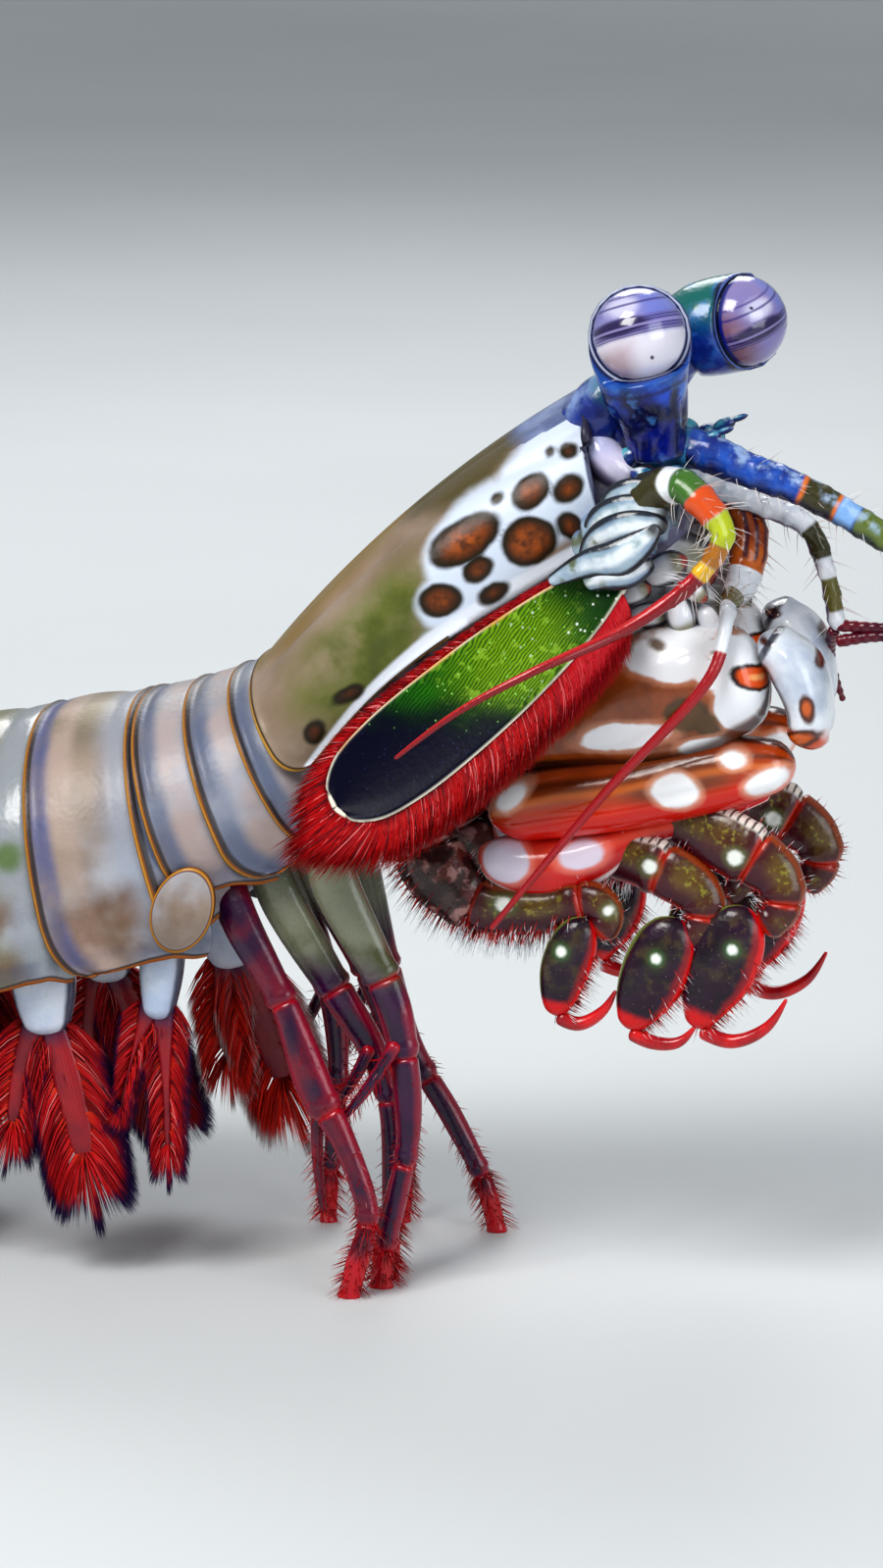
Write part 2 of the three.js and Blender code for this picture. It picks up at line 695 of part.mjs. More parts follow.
function pleopod({ ring, share, length, spread, ...sides }, side, hand) {
  const { beat, fan } = sides[side];
  const body = ringNamed(ring);
  const root = placeOn(body, share, hand * 0.6 * body.half, body.depth * 0.9);
  const station = (turn, far, wide, deep) => {
    const angle = radians(beat + turn);
    const way = at(-Math.sin(angle), hand * 0.1, -Math.cos(angle));
    return { place: root.clone().addScaledVector(way, far * length), wide, deep };
  };
  const lobe = (turn, broad, reach) =>
    limb(
      [
        station(turn / 2, 0.28, 0.7, 1.1),
        station(turn, 0.6 * reach, 0.6, broad),
        station(turn, 0.86 * reach, 0.5, 0.86 * broad),
        station(turn, reach, 0.4, 0.3 * broad),
      ],
      { corners: 6 },
    );
  return several([
    limb([station(0, 0, 1.4, 2.4), station(0, 0.36, 1.1, 1.6)], { corners: 6 }),
    lobe(-spread / 3, fan, 1),
    lobe((2 * spread) / 3, 0.6 * fan, 0.84),
  ]);
}

// Tail plate, with a keel down its middle and three pairs of teeth round its rear
const TELSON = [
  { share: 0, width: 0.86, deep: 2.4 },
  { share: 0.25, width: 1, deep: 2.3 },
  { share: 0.55, width: 0.94, deep: 1.8 },
  { share: 0.85, width: 0.6, deep: 0.9 },
  { share: 1, width: 0.34, deep: 0.5 },
];
const KEEL = [
  { share: 0.02, above: 2.2, wide: 1.3, deep: 0.9 },
  { share: 0.4, above: 2.0, wide: 1.1, deep: 0.9 },
  { share: 0.82, above: 1.0, wide: 0.5, deep: 0.5 },
];
const TEETH = [
  { share: 0.6, out: 0.86, reach: 3.6 },
  { share: 0.8, out: 0.62, reach: 3.6 },
  { share: 0.9, out: 0.3, reach: 3.4 },
];
const TOOTH = { root: { wide: 1.3, deep: 0.7 }, tip: { wide: 0.35, deep: 0.3 } };
function telson() {
  const rear = BODY.at(-1).to;
  const fall = radians(TELSON_FALL);
  const along = at(-Math.cos(fall), 0, -Math.sin(fall));
  const up = at(-Math.sin(fall), 0, Math.cos(fall));
  const start = at(rear.x, 0, rear.z).addScaledVector(up, -2.6).addScaledVector(along, CLEARANCE);
  const on = (share, out = 0, above = 0) =>
    start
      .clone()
      .addScaledVector(along, TELSON_LENGTH * share)
      .addScaledVector(LEFTWARD, TELSON_HALF_WIDTH * out)
      .addScaledVector(up, above);
  const plate = limb(
    TELSON.map(({ share, width, deep }) => ({ place: on(share), wide: TELSON_HALF_WIDTH * width, deep })),
    { corners: 12 },
  );
  const keel = limb(
    KEEL.map(({ share, above, ...sizes }) => ({ place: on(share, 0, above), ...sizes })),
    { corners: 6 },
  );
  const teeth = TEETH.flatMap(({ share, out, reach }) =>
    SIDES.map(([, hand]) => {
      const root = on(share, hand * out);
      const tip = root.clone().addScaledVector(along, reach);
      return limb([{ place: root, ...TOOTH.root }, { place: tip, ...TOOTH.tip }], { corners: 4 });
    }),
  );
  return several([plate, keel, ...teeth]);
}

// Tail fans at both sides of the tail plate
const UROPOD = {
  root: [
    [-63.6, 7.0, 12.2, 2.0, 1.6],
    [-68.0, 10.2, 9.4, 2.2, 1.6],
    [-70.6, 11.8, 8.0, 1.8, 1.2],
  ],
  outerBlade: [
    [-69.6, 12.6, 8.4, 1.8, 0.9],
    [-74.0, 15.0, 6.2, 2.6, 0.9],
    [-78.6, 17.4, 3.8, 3.2, 0.7],
    [-83.6, 19.6, 1.6, 3.0, 0.6],
    [-87.6, 21.0, 0.4, 1.0, 0.5],
  ],
  innerBlade: [
    [-70.0, 11.0, 7.4, 1.2, 0.8],
    [-75.0, 12.2, 4.8, 2.4, 0.7],
    [-80.4, 13.2, 2.0, 2.6, 0.6],
    [-84.8, 13.6, 0.3, 1.0, 0.5],
  ],
  spine: [
    [-70.0, 9.6, 7.2, 1.0, 0.7],
    [-75.4, 9.4, 3.8, 0.7, 0.6],
    [-78.6, 9.0, 2.2, 0.3, 0.3],
  ],
};
const uropod = (hand) =>
  several(Object.values(UROPOD).map((rows) => limb(stationsOn(hand, rows), { corners: 6 })));

// Assembly: each piece in turn is cut clear of those before it, and of the floor, and keeps its largest body.
const floor = (() => {
  const slab = new THREE.BoxGeometry(400, 400, FLOOR_DEPTH);
  slab.translate(0, 0, -FLOOR_DEPTH / 2);
  return solidOf(slab);
})();
const AXES = [0, 1, 2];
const apart = (a, b) => AXES.some((i) => a.min[i] > b.max[i] || b.min[i] > a.max[i]);
const larger = (a, b) => (b.volume() > a.volume() ? b : a);

const placed = [];
const animal = new THREE.Group();
animal.name = "mantis_shrimp";

function add(name, finish, make) {
  let solid = make(0).subtract(floor);
  for (const { grown, box } of placed) {
    if (!apart(solid.boundingBox(), box)) solid = solid.subtract(grown);
  }
  solid = solid.decompose().reduce(larger);
  const grown = make(CLEARANCE);
  placed.push({ grown, box: grown.boundingBox() });
  const material = new THREE.MeshStandardMaterial({ ...FINISHES[finish], metalness: 0 });
  const mesh = new THREE.Mesh(geometryOf(solid), material);
  mesh.name = name;
  animal.add(mesh);
}

add("carapace", "leopard", carapace());
for (const ring of BODY) add(ring.name, "shell", barrel(ring.sections));
for (const [side, hand] of SIDES) {
  add(`eye_${side}`, "cornea", eye(side, hand));
  for (const piece of Object.keys(CLAW)) {
    add(`claw_${piece}_${side}`, piece === "dactyl" ? "scarlet" : "claw", clawPiece(piece, side, hand));
  }
  add(`antennal_scale_${side}`, "scale", antennalScale(side, hand));
}
add("telson", "tail", telson());
add("head", "blue", head());
add("trunk_underside", "plum", underside());
for (const [side, hand] of SIDES) {
  add(`eye_stalk_${side}`, "blue", eyeStalk(side, hand));
  add(`antennule_${side}`, "blue", antennule(side, hand));
  add(`antenna_${side}`, "scarlet", antenna(side, hand));
}
add("mouthparts", "flesh", mouthparts());
for (const [side, hand] of SIDES) {
  for (const name of Object.keys(MAXILLIPEDS)) add(`${name}_${side}`, "olive", maxilliped(name, side, hand));
  add(`maxilliped_1_${side}`, "flesh", cleaningLeg(hand));
  add(`uropod_${side}`, "tail", uropod(hand));
}
for (const name of Object.keys(WALKING_LEGS)) {
  add(name, "plum", walkingLeg(name, name.endsWith("right") ? RIGHT : LEFT));
}
PLEOPODS.forEach((place, i) => {
  for (const [side, hand] of SIDES) add(`pleopod_${i + 1}_${side}`, "scarlet", pleopod(place, side, hand));
});

const bounds = new THREE.Box3().setFromObject(animal);
const middle = bounds.getCenter(at(0, 0, 0));
animal.position.set(-middle.x, -middle.y, -bounds.min.z);

export default animal;
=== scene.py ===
"""Peacock mantis shrimp, life size: shell plates, eyes, claws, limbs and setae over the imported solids.

Lengths are millimetres in the animal's working frame: +X ahead, +Y to its left, +Z up, the floor at Z = 0 and
the origin under the head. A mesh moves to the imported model's frame, in metres, when it is made.
"""

import logging
import math
from collections.abc import Callable, Sequence
from dataclasses import dataclass, field
from enum import Enum

import bpy
import numpy as np
from mathutils import Matrix, Vector


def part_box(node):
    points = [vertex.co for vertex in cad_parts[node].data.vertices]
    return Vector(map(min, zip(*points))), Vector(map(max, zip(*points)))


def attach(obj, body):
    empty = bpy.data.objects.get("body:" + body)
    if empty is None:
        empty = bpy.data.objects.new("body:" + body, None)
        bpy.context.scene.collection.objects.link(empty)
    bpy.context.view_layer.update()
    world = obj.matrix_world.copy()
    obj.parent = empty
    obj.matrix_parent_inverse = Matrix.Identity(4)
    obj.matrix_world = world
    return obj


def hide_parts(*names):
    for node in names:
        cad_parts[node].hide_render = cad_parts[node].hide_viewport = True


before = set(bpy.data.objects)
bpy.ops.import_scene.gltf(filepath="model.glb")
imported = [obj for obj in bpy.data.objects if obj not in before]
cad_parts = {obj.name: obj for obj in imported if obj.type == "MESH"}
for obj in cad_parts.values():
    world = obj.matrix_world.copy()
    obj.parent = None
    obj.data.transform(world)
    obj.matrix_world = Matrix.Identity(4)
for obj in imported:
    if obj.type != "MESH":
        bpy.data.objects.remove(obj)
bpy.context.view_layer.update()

LOG = logging.getLogger("mantis_shrimp")
Array = np.ndarray
Colour = tuple[float, float, float]
Rows = Sequence[Sequence[float]]

MM = 0.001
LEFTWARD = np.array([0.0, 1.0, 0.0])
EYE_PLACE_RIGHT = np.array([14.8, -5.0, 67.4])


def frame_shift() -> Array:
    """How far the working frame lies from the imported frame, in mm: the right eye's box tells it.

    Returns:
        The shift to add to a working place.
    """
    low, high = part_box("eye_right")
    return (np.array(low) + np.array(high)) / 2 / MM - EYE_PLACE_RIGHT


SHIFT = frame_shift()


class Side(Enum):
    """The animal's two sides, with the sign of Y on each."""

    RIGHT = -1
    LEFT = 1

    @property
    def word(self) -> str:
        """The side's name in node names."""
        return self.name.lower()


class End(Enum):
    """How the end of a grid of points is closed."""

    POLE = "every point of the last ring is the same one"
    STITCH = "the last ring is a flat loop, joined across"


def rgb(red: int, green: int, blue: int) -> Colour:
    """The linear colour of three display values from 0 to 255."""
    return tuple(((v / 255 + 0.055) / 1.055) ** 2.4 if v > 10 else v / 3295 for v in (red, green, blue))


# numbers and lines


def smooth(value: Array) -> Array:
    """The S-shaped step 3t^2 - 2t^3 of a value held between 0 and 1."""
    t = np.clip(value, 0.0, 1.0)
    return t * t * (3 - 2 * t)


def bell(value: Array, middle: float, spread: float) -> Array:
    """A bell curve of height 1: exp(-((value - middle) / spread)^2)."""
    return np.exp(-(((value - middle) / spread) ** 2))


def unit(vectors: Array) -> Array:
    """The vectors scaled to length 1 along the last axis."""
    return vectors / np.maximum(np.linalg.norm(vectors, axis=-1, keepdims=True), 1e-9)


def on_line(rows: Rows, shares: Array) -> Array:
    """Rows on a centripetal Catmull-Rom line through the given ones, at shares of its length.

    Knots are spaced by the square root of each chord. Each knot's slope is the mean of the slopes beside it,
    weighted by the other one's spacing, and cubic Hermite pieces join the knots.

    Args:
        rows: Places, with any sizes that go with them after the first three numbers.
        shares: Where to read the line, from 0 to 1 of its length.

    Returns:
        One row for each share.
    """
    given = np.asarray(rows, float)
    gap = np.sqrt(np.linalg.norm(np.diff(given[:, :3], axis=0), axis=1)).clip(1e-6)
    knots = np.concatenate([[0.0], np.cumsum(gap)])
    chord = np.diff(given, axis=0) / gap[:, None]
    slope = np.vstack([chord[:1], chord[-1:]]) if len(given) == 2 else np.empty_like(given)
    if len(given) > 2:
        before, after = gap[:-1, None], gap[1:, None]
        slope[1:-1] = (chord[:-1] * after + chord[1:] * before) / (before + after)
        slope[0] = 1.5 * chord[0] - 0.5 * slope[1]
        slope[-1] = 1.5 * chord[-1] - 0.5 * slope[-2]

    def read(places: Array) -> Array:
        """The line's rows at knot values.

        Args:
            places: The knot values.

        Returns:
            The rows.
        """
        i = np.clip(np.searchsorted(knots, places, side="right") - 1, 0, len(gap) - 1)
        t = ((places - knots[i]) / gap[i])[:, None]
        h = gap[i][:, None]
        a, b = 2 * t**3 - 3 * t**2 + 1, t**3 - 2 * t**2 + t
        c, d = 3 * t**2 - 2 * t**3, t**3 - t**2
        return a * given[i] + b * h * slope[i] + c * given[i + 1] + d * h * slope[i + 1]

    fine = np.linspace(0, knots[-1], 30 * len(given))
    far = np.linalg.norm(np.diff(read(fine)[:, :3], axis=0), axis=1)
    reach = np.concatenate([[0.0], np.cumsum(far)])
    return read(np.interp(np.asarray(shares) * reach[-1], reach, fine))


def length_of(rows: Rows) -> float:
    """The length in mm of the smooth line through the rows."""
    places = on_line(rows, np.linspace(0, 1, 80))[:, :3]
    return float(np.linalg.norm(np.diff(places, axis=0), axis=1).sum())


def frames_on(places: Array, across: Array) -> tuple[Array, Array, Array]:
    """Three directions at each place of a line: along it, to its side, and up from it.

    Args:
        places: Places along the line.
        across: The direction that the side keeps nearest to, or one for each place.

    Returns:
        Unit vectors along, side and up.
    """
    along = unit(np.gradient(places, axis=0))
    across = np.broadcast_to(across, along.shape)
    side = unit(across - along * (across * along).sum(-1, keepdims=True))
    return along, side, np.cross(along, side)


def carried_side(places: Array, start: Array) -> Array:
    """A side direction carried along a line without twist: at each step the part along the line is taken off.

    Args:
        places: Places along the line.
        start: The side at the first place.

    Returns:
        A side for each place.
    """
    along = unit(np.gradient(places, axis=0))
    sides = [start]
    for way in along:
        sides.append(unit(sides[-1] - way * (sides[-1] @ way)))
    return np.array(sides[1:])


def oval_field(points: Array, ovals: Rows, shift: float = 0.0) -> Array:
    """Depth in mm inside the nearest of several ovals drawn on the animal's side view: (1 - k) times the
    oval's smaller half size, where k is 1 on its outline and 0 at its middle.

    Args:
        points: Places.
        ovals: For each: x, z, half length, half height, and the turn of its length up from +X in degrees.
        shift: How far ahead of the rows the ovals lie.

    Returns:
        The field, positive inside.
    """
    best = np.full(points.shape[:-1], -50.0)
    for x, z, long, tall, turn in ovals:
        c, s = math.cos(math.radians(turn)), math.sin(math.radians(turn))
        dx, dz = points[..., 0] - x - shift, points[..., 2] - z
        k = np.hypot((dx * c + dz * s) / long, (dz * c - dx * s) / tall)
        best = np.maximum(best, (1 - k) * min(long, tall))
    return best


# grids of points and the meshes made of them


@dataclass
class Patch:
    """A closed skin over a grid of points, whose columns run round it, with fields that materials read.

    Attributes:
        points: Places in mm, rows by columns by 3.
        fields: Values at each point.
        ends: How the first and last rows are closed.
    """

    points: Array
    fields: dict[str, Array] = field(default_factory=dict)
    ends: tuple[End, End] = (End.POLE, End.POLE)

    def faces(self) -> Array:
        """Corner indices of the skin's faces, facing out; the last corner of a triangle is -1.

        Returns:
            A faces by 4 array.
        """
        rows, cols = self.points.shape[:2]
        index = np.arange(rows * cols).reshape(rows, cols)
        for end, row in zip(self.ends, (0, -1)):
            if end is End.POLE:
                index[row, :] = index[row, 0]
        right = np.roll(index, -1, axis=1)
        quads = np.stack([index[:-1], right[:-1], right[1:], index[1:]], -1).reshape(-1, 4)
        half = cols // 2
        for end, row, order in zip(self.ends, (0, -1), (1, -1)):
            if end is End.STITCH:
                j = np.arange(half - 1)
                cap = np.stack(
                    [index[row, j], index[row, cols - 1 - j], index[row, cols - 2 - j], index[row, j + 1]],
                    -1,
                )
                quads = np.vstack([quads, cap[:, ::order]])
        top = quads[:, 0] == quads[:, 1]
        quads[top] = np.stack([quads[top, 0], quads[top, 2], quads[top, 3], np.full(top.sum(), -1)], -1)
        low = (quads[:, 2] == quads[:, 3]) & ~top
        quads[low, 3] = -1
        corners = self.points.reshape(-1, 3)
        a, b, c = (corners[quads[:, k]] for k in range(3))
        d = np.where(quads[:, 3:] < 0, a, corners[quads[:, 3]])
        volume = (np.cross(b, c) * a).sum() + (np.cross(c, d) * a).sum()
        if volume < 0:
            flat = quads[:, 3] < 0
            quads[flat, :3] = quads[flat, 2::-1]
            quads[~flat] = quads[~flat, ::-1]
        return quads

    def normals(self) -> Array:
        """Unit normals of the grid, from the cross product of its two directions."""
        return unit(np.cross(np.gradient(self.points, axis=1), np.gradient(self.points, axis=0)))


def mesh_object(name: str, points: Array, faces: Array, fields: dict[str, Array]) -> bpy.types.Object:
    """A smooth-shaded mesh object at the origin.

    Args:
        name: The object's name.
        points: Places in mm in the working frame.
        faces: Corner indices, where -1 marks a triangle's missing corner.
        fields: Values at each point, kept as attributes.

    Returns:
        The new object.
    """
    real = faces >= 0
    used, corner = np.unique(faces[real], return_inverse=True)
    mesh = bpy.data.meshes.new(name)
    mesh.vertices.add(len(used))
    mesh.vertices.foreach_set("co", ((points[used] + SHIFT) * MM).astype(np.float32).ravel())
    mesh.loops.add(len(corner))
    mesh.loops.foreach_set("vertex_index", corner.astype(np.int32))
    sizes = real.sum(1)
    mesh.polygons.add(len(sizes))
    mesh.polygons.foreach_set("loop_start", np.concatenate([[0], np.cumsum(sizes)[:-1]]).astype(np.int32))
    mesh.polygons.foreach_set("use_smooth", np.ones(len(sizes), bool))
    for word, values in fields.items():
        layer = mesh.attributes.new(word, "FLOAT", "POINT")
        layer.data.foreach_set("value", values[used].astype(np.float32))
    mesh.update(calc_edges=True)
    mesh.validate()
    made = bpy.data.objects.new(name, mesh)
    bpy.context.scene.collection.objects.link(made)
    return made


@dataclass
class Piece:
    """One visible piece: patches joined in one mesh, with a finish and the nodes that it stands for."""

    name: str
    slot: str
    finish: "Finish"
    stands_for: tuple[str, ...] = ()
    patches: list[Patch] = field(default_factory=list)

    def build(self) -> bpy.types.Object:
        """Makes the mesh, dresses it and lets it ride on the animal's one body.

        Returns:
            The finished object.
        """
        words = sorted({word for patch in self.patches for word in patch.fields})
        points, faces, start = [], [], 0
        values: dict[str, list[Array]] = {word: [] for word in words}
        for patch in self.patches:
            found = patch.faces()
            faces.append(np.where(found >= 0, found + start, -1))
            points.append(patch.points.reshape(-1, 3))
            start += len(points[-1])
            shape = patch.points.shape[:2]
            for word in words:
                values[word].append(np.broadcast_to(patch.fields.get(word, 0.0), shape).ravel())
        fields = {word: np.concatenate(parts) for word, parts in values.items()}
        places = np.vstack(points)
        places[:, 2] = np.maximum(places[:, 2], 0.0)
        made = mesh_object(self.name, places, np.vstack(faces), fields)
        finish_piece(made, self.slot, self.finish, self.stands_for)
        return made


def finish_piece(
    made: bpy.types.Object, slot: str, finish: "Finish", stands_for: Sequence[str] = (),
) -> None:
    """Gives an object its material and body, and hides the solid nodes that it replaces.

    Args:
        made: The object.
        slot: The record's material slot; not used.
        finish: Its finish.
        stands_for: The solid nodes that it replaces.
    """
    made.data.materials.append(finish.material())
    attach(made, "root")
    if stands_for:
        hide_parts(*stands_for)
    LOG.info("%s: %d faces", made.name, len(made.data.polygons))


def capped_shares(length: float, caps: tuple[float, float], rings: int) -> tuple[Array, Array]:
    """Where a limb's rings lie and how far its ends draw in: quarter circles over both caps.

    Args:
        length: The limb's length in mm.
        caps: How long each end's rounding is, in mm.
        rings: How many rings lie between the roundings.

    Returns:
        Shares of the length, and the part of the full size at each.
    """
    turn = np.linspace(0, math.pi / 2, 6)
    first, last = (min(cap, 0.45 * length) for cap in caps)
    low = first * (1 - np.cos(turn))
    high = length - last * (1 - np.cos(turn))[::-1]
    middle = np.linspace(first, length - last, rings + 2)[1:-1]
    size = np.concatenate([np.sin(turn), np.ones(rings), np.sin(turn)[::-1]])
    return np.concatenate([low, middle, high]) / length, size


Swell = Callable[[Array, Array, Array], Array]


def limb(
    rows: Rows,
    sides: int = 24,
    rings: int = 24,
    caps: tuple[float, float] = (1.0, 1.0),
    across: Array | None = LEFTWARD,
    power: float = 2.0,
    swell: Swell | None = None,
    hand: int = 1,
) -> Patch:
    """A limb: ovals carried along a smooth line. A point is the line's place plus side times wide times
    cos(turn) plus up times deep times sin(turn), with both raised to 2 / power, plus a swell outward.

    Args:
        rows: Forward, outward from the middle plane, up, half size across and half size in height.
        sides: Points round the limb.
        rings: Rings along it between its rounded ends.
        caps: How long each end's rounding is, in mm.
        across: The direction of the half size across; None carries one along without twist.
        power: 2 for an oval, more for a boxy section.
        swell: From share, mm along and turn to mm outward.
        hand: -1 for the right side.

    Returns:
        The limb's patch, with fields along, back, side, top and share.
    """
    given = [[x, hand * out, z, wide, deep[0] if deep else wide] for x, out, z, wide, *deep in rows]
    length = length_of(given)
    shares, size = capped_shares(length, caps, rings)
    line = on_line(given, shares)
    places = line[:, :3]
    if across is None:
        across = carried_side(places, LEFTWARD)
    _, side, up = frames_on(places, across)
    turn = np.linspace(0, 2 * math.pi, sides, endpoint=False)
    c, s = np.cos(turn), np.sin(turn)
    c, s = (np.sign(v) * np.abs(v) ** (2 / power) for v in (c, s))
    wide, deep = ((line[:, k] * size)[:, None, None] for k in (3, 4))
    out = side[:, None] * c[None, :, None] * wide + up[:, None] * s[None, :, None] * deep
    along = shares * length
    if swell is not None:
        lift = swell(shares[:, None], along[:, None], turn[None, :]) * size[:, None]
        out = out + unit(out) * lift[..., None]
    shape = out.shape[:2]
    fields = {
        "along": np.broadcast_to(along[:, None], shape),
        "back": np.broadcast_to((length - along)[:, None], shape),
        "share": np.broadcast_to(shares[:, None], shape),
        "side": np.broadcast_to(c[None, :] * hand, shape),
        "top": np.broadcast_to(s[None, :], shape),
    }
    return Patch(places[:, None] + out, fields)


def jointed(
    rows: Rows, cuts: Sequence[float], hand: int, sides: int = 32, power: float = 2.2,
) -> list[Patch]:
    """A limb in several podomeres, each a limb of its own with a fuller middle, a collar before its far end
    and rounded ends that sit in its neighbours.

    Args:
        rows: Forward, outward, up, half size across and half size in height.
        cuts: Shares of the length where the joints lie.
        hand: -1 for the right side.
        sides: Points round the limb.
        power: The section's squareness.

    Returns:
        The podomeres' patches; their field ends is the distance from the nearer joint.
    """
    length = length_of(rows)
    edges = [0.0, *cuts, 1.0]
    made = []
    for low, high in zip(edges[:-1], edges[1:]):
        lap = 0.25 / length
        station = on_line(rows, np.linspace(max(low - lap, 0), min(high + lap, 1), 7))
        long = (high - low) * length

        def fuller(share: Array, along: Array, turn: Array) -> Array:
            """The fuller middle and the collar."""
            return 0.1 * np.sin(share * math.pi) - 0.12 + 0.15 * bell(along, long - 0.5, 0.35)

        part = limb(
            station, sides, max(16, int(long * 3.2)), (0.5, 0.5), power=power, swell=fuller, hand=hand,
        )
        part.fields["ends"] = np.minimum(part.fields["along"], part.fields["back"])
        made.append(part)
    return made


def shell(outer: Array, thickness: Array | float, fields: dict[str, Array]) -> Patch:
    """A thin curved plate: an outer face, the same face moved in along its normals, and the edges between.

    Args:
        outer: The outer face's points, rows from front to rear and columns across the animal.
        thickness: The plate's thickness in mm at each point.
        fields: Values on the outer face, repeated inside, where the field inside is 1.

    Returns:
        The closed patch.
    """
    normals = Patch(outer).normals()
    middle = outer.reshape(-1, 3).mean(0)
    if ((outer - middle) * normals).sum() < 0:
        normals = -normals
    inner = outer - normals * np.broadcast_to(thickness, outer.shape[:2])[..., None]
    loop = np.concatenate([outer, inner[:, ::-1]], axis=1)
    values = {word: np.concatenate([v, v[:, ::-1]], axis=1) for word, v in fields.items()}
    values["inside"] = np.concatenate([np.zeros(outer.shape[:2]), np.ones(outer.shape[:2])], axis=1)
    return Patch(loop, values, (End.STITCH, End.STITCH))


# setae


@dataclass
class Setae:
    """Bristles as one mesh of thin three-sided blades, each bent along its length.

    Attributes:
        name: The piece's name.
        finish: Its finish, which reads the fields tip, shade and zone.
        slot: The record's material slot.
        rings: How many rings of three points each bristle has.
    """

    name: str
    finish: "Finish"
    slot: str
    rings: int = 3
    roots: list[Array] = field(default_factory=list)
    ways: list[Array] = field(default_factory=list)
    bends: list[Array] = field(default_factory=list)
    widths: list[Array] = field(default_factory=list)
    zones: list[Array] = field(default_factory=list)
    places: list[Array] = field(default_factory=list)

    def add(
        self, roots: Array, ways: Array, bends: Array, width: float, zone: Array | float, places: Array,
    ) -> None:
        """Adds bristles.

        Args:
            roots: Where each starts, in mm.
            ways: Its straight reach from the root, in mm.
            bends: How far its tip is moved aside, in mm.
            width: Half its thickness at the root.
            zone: A value that the finish reads, such as the share along the plate.
            places: Where each root lies on the flattened skin, from 0 to 1 both ways.
        """
        count = len(roots)
        self.roots.append(roots)
        self.ways.append(ways)
        self.bends.append(bends)
        self.widths.append(np.full(count, width))
        self.zones.append(np.broadcast_to(zone, (count,)))
        self.places.append(places)

    def build(self) -> bpy.types.Object:
        """Makes the mesh. A bristle's middle is root + way t + bend t^2, and its half width falls as
        (1 - t)^0.6 to a point.

        Returns:
            The finished object.
        """
        roots, ways, bends, places = (
            np.vstack(v) for v in (self.roots, self.ways, self.bends, self.places)
        )
        widths, zones = np.concatenate(self.widths), np.concatenate(self.zones)
        count, rings = len(roots), self.rings
        t = np.linspace(0, 1, rings + 1)
        line = roots[:, None] + ways[:, None] * t[:, None] + bends[:, None] * (t**2)[:, None]
        along = unit(ways)
        first = unit(np.cross(along, np.array([0.31, 0.17, 0.93])))
        second = np.cross(along, first)
        turn = np.arange(3) * 2 * math.pi / 3
        ring = first[:, None] * np.cos(turn)[:, None] + second[:, None] * np.sin(turn)[:, None]
        size = widths[:, None] * (1 - t[None, :-1]) ** 0.6
        body = line[:, :-1, None] + ring[:, None] * size[:, :, None, None]
        points = np.concatenate([body.reshape(count, -1, 3), line[:, -1:]], axis=1)
        points[..., 2] = np.maximum(points[..., 2], 0.02)
        each = 3 * rings + 1
        ringed = np.arange(3 * rings).reshape(rings, 3)
        turned = np.roll(ringed, -1, axis=1)
        quads = np.stack([ringed[:-1], turned[:-1], turned[1:], ringed[1:]], -1).reshape(-1, 4)
        tip = np.stack([ringed[-1], turned[-1], np.full(3, each - 1), np.full(3, -1)], -1)
        foot = np.array([[0, 2, 1, -1]])
        template = np.vstack([quads, tip, foot])
        faces = template[None] + (np.arange(count) * each)[:, None, None]
        faces = np.where(template[None] < 0, -1, faces).reshape(-1, 4)
        reach = np.concatenate([np.repeat(t[:-1], 3), [1.0]])
        shade = np.random.default_rng(count).random(count)
        fields = {
            "tip": np.tile(reach, count),
            "shade": np.repeat(shade, each),
            "zone": np.repeat(zones, each),
        }
        made = mesh_object(self.name, points.reshape(-1, 3), faces, fields)
        patch = 0.003
        around = np.concatenate([np.tile([0.0, 0.5, 1.0], rings), [0.5]])
        flat = places[:, None] * (1 - patch) + patch * np.stack([around, reach], -1)[None]
        corner = np.empty(len(made.data.loops), np.int32)
        made.data.loops.foreach_get("vertex_index", corner)
        layer = made.data.uv_layers.new(name="OFBake")
        layer.data.foreach_set("uv", flat.reshape(-1, 2)[corner].astype(np.float32).ravel())
        finish_piece(made, self.slot, self.finish)
        return made


# finishes


Socket = bpy.types.NodeSocket


def new_group(
    name: str, inputs: dict[str, float], output: str,
) -> tuple[bpy.types.NodeTree, dict, Callable, Callable]:
    """An empty shader node group with number inputs and one number output.

    Args:
        name: The group's name.
        inputs: Input names with their default values.
        output: The output's name.

    Returns:
        The group, its input sockets by name, a maker of nodes, and a function that ends the group.
    """
    tree = bpy.data.node_groups.new(name, "ShaderNodeTree")
    for word, value in inputs.items():
        socket = tree.interface.new_socket(name=word, in_out="INPUT", socket_type="NodeSocketFloat")
        socket.default_value = value
    tree.interface.new_socket(name=output, in_out="OUTPUT", socket_type="NodeSocketFloat")
    start, stop = tree.nodes.new("NodeGroupInput"), tree.nodes.new("NodeGroupOutput")

    def node(kind: str, *given: Socket | float, **settings: object) -> bpy.types.Node:
        """A node whose first inputs are linked or set in order.

        Args:
            kind: The node's type.
            *given: A socket or a number for each input, or None to leave it.
            **settings: The node's own settings.

        Returns:
            The node.
        """
        made = tree.nodes.new(kind)
        for word, value in settings.items():
            setattr(made, word, value)
        for socket, value in zip(made.inputs, given):
            if value is None:
                continue
            if isinstance(value, bpy.types.NodeSocket):
                tree.links.new(value, socket)
            else:
                socket.default_value = value
        return made

    def end(socket: Socket) -> None:
        """Links the group's output."""
        tree.links.new(socket, stop.inputs[0])

    return tree, {word: start.outputs[word] for word in inputs}, node, end


def maths(node: Callable, operation: str, first: Socket | float, second: Socket | float) -> Socket:
    """A sum, product or other operation on two numbers."""
    return node("ShaderNodeMath", first, second, operation=operation).outputs[0]


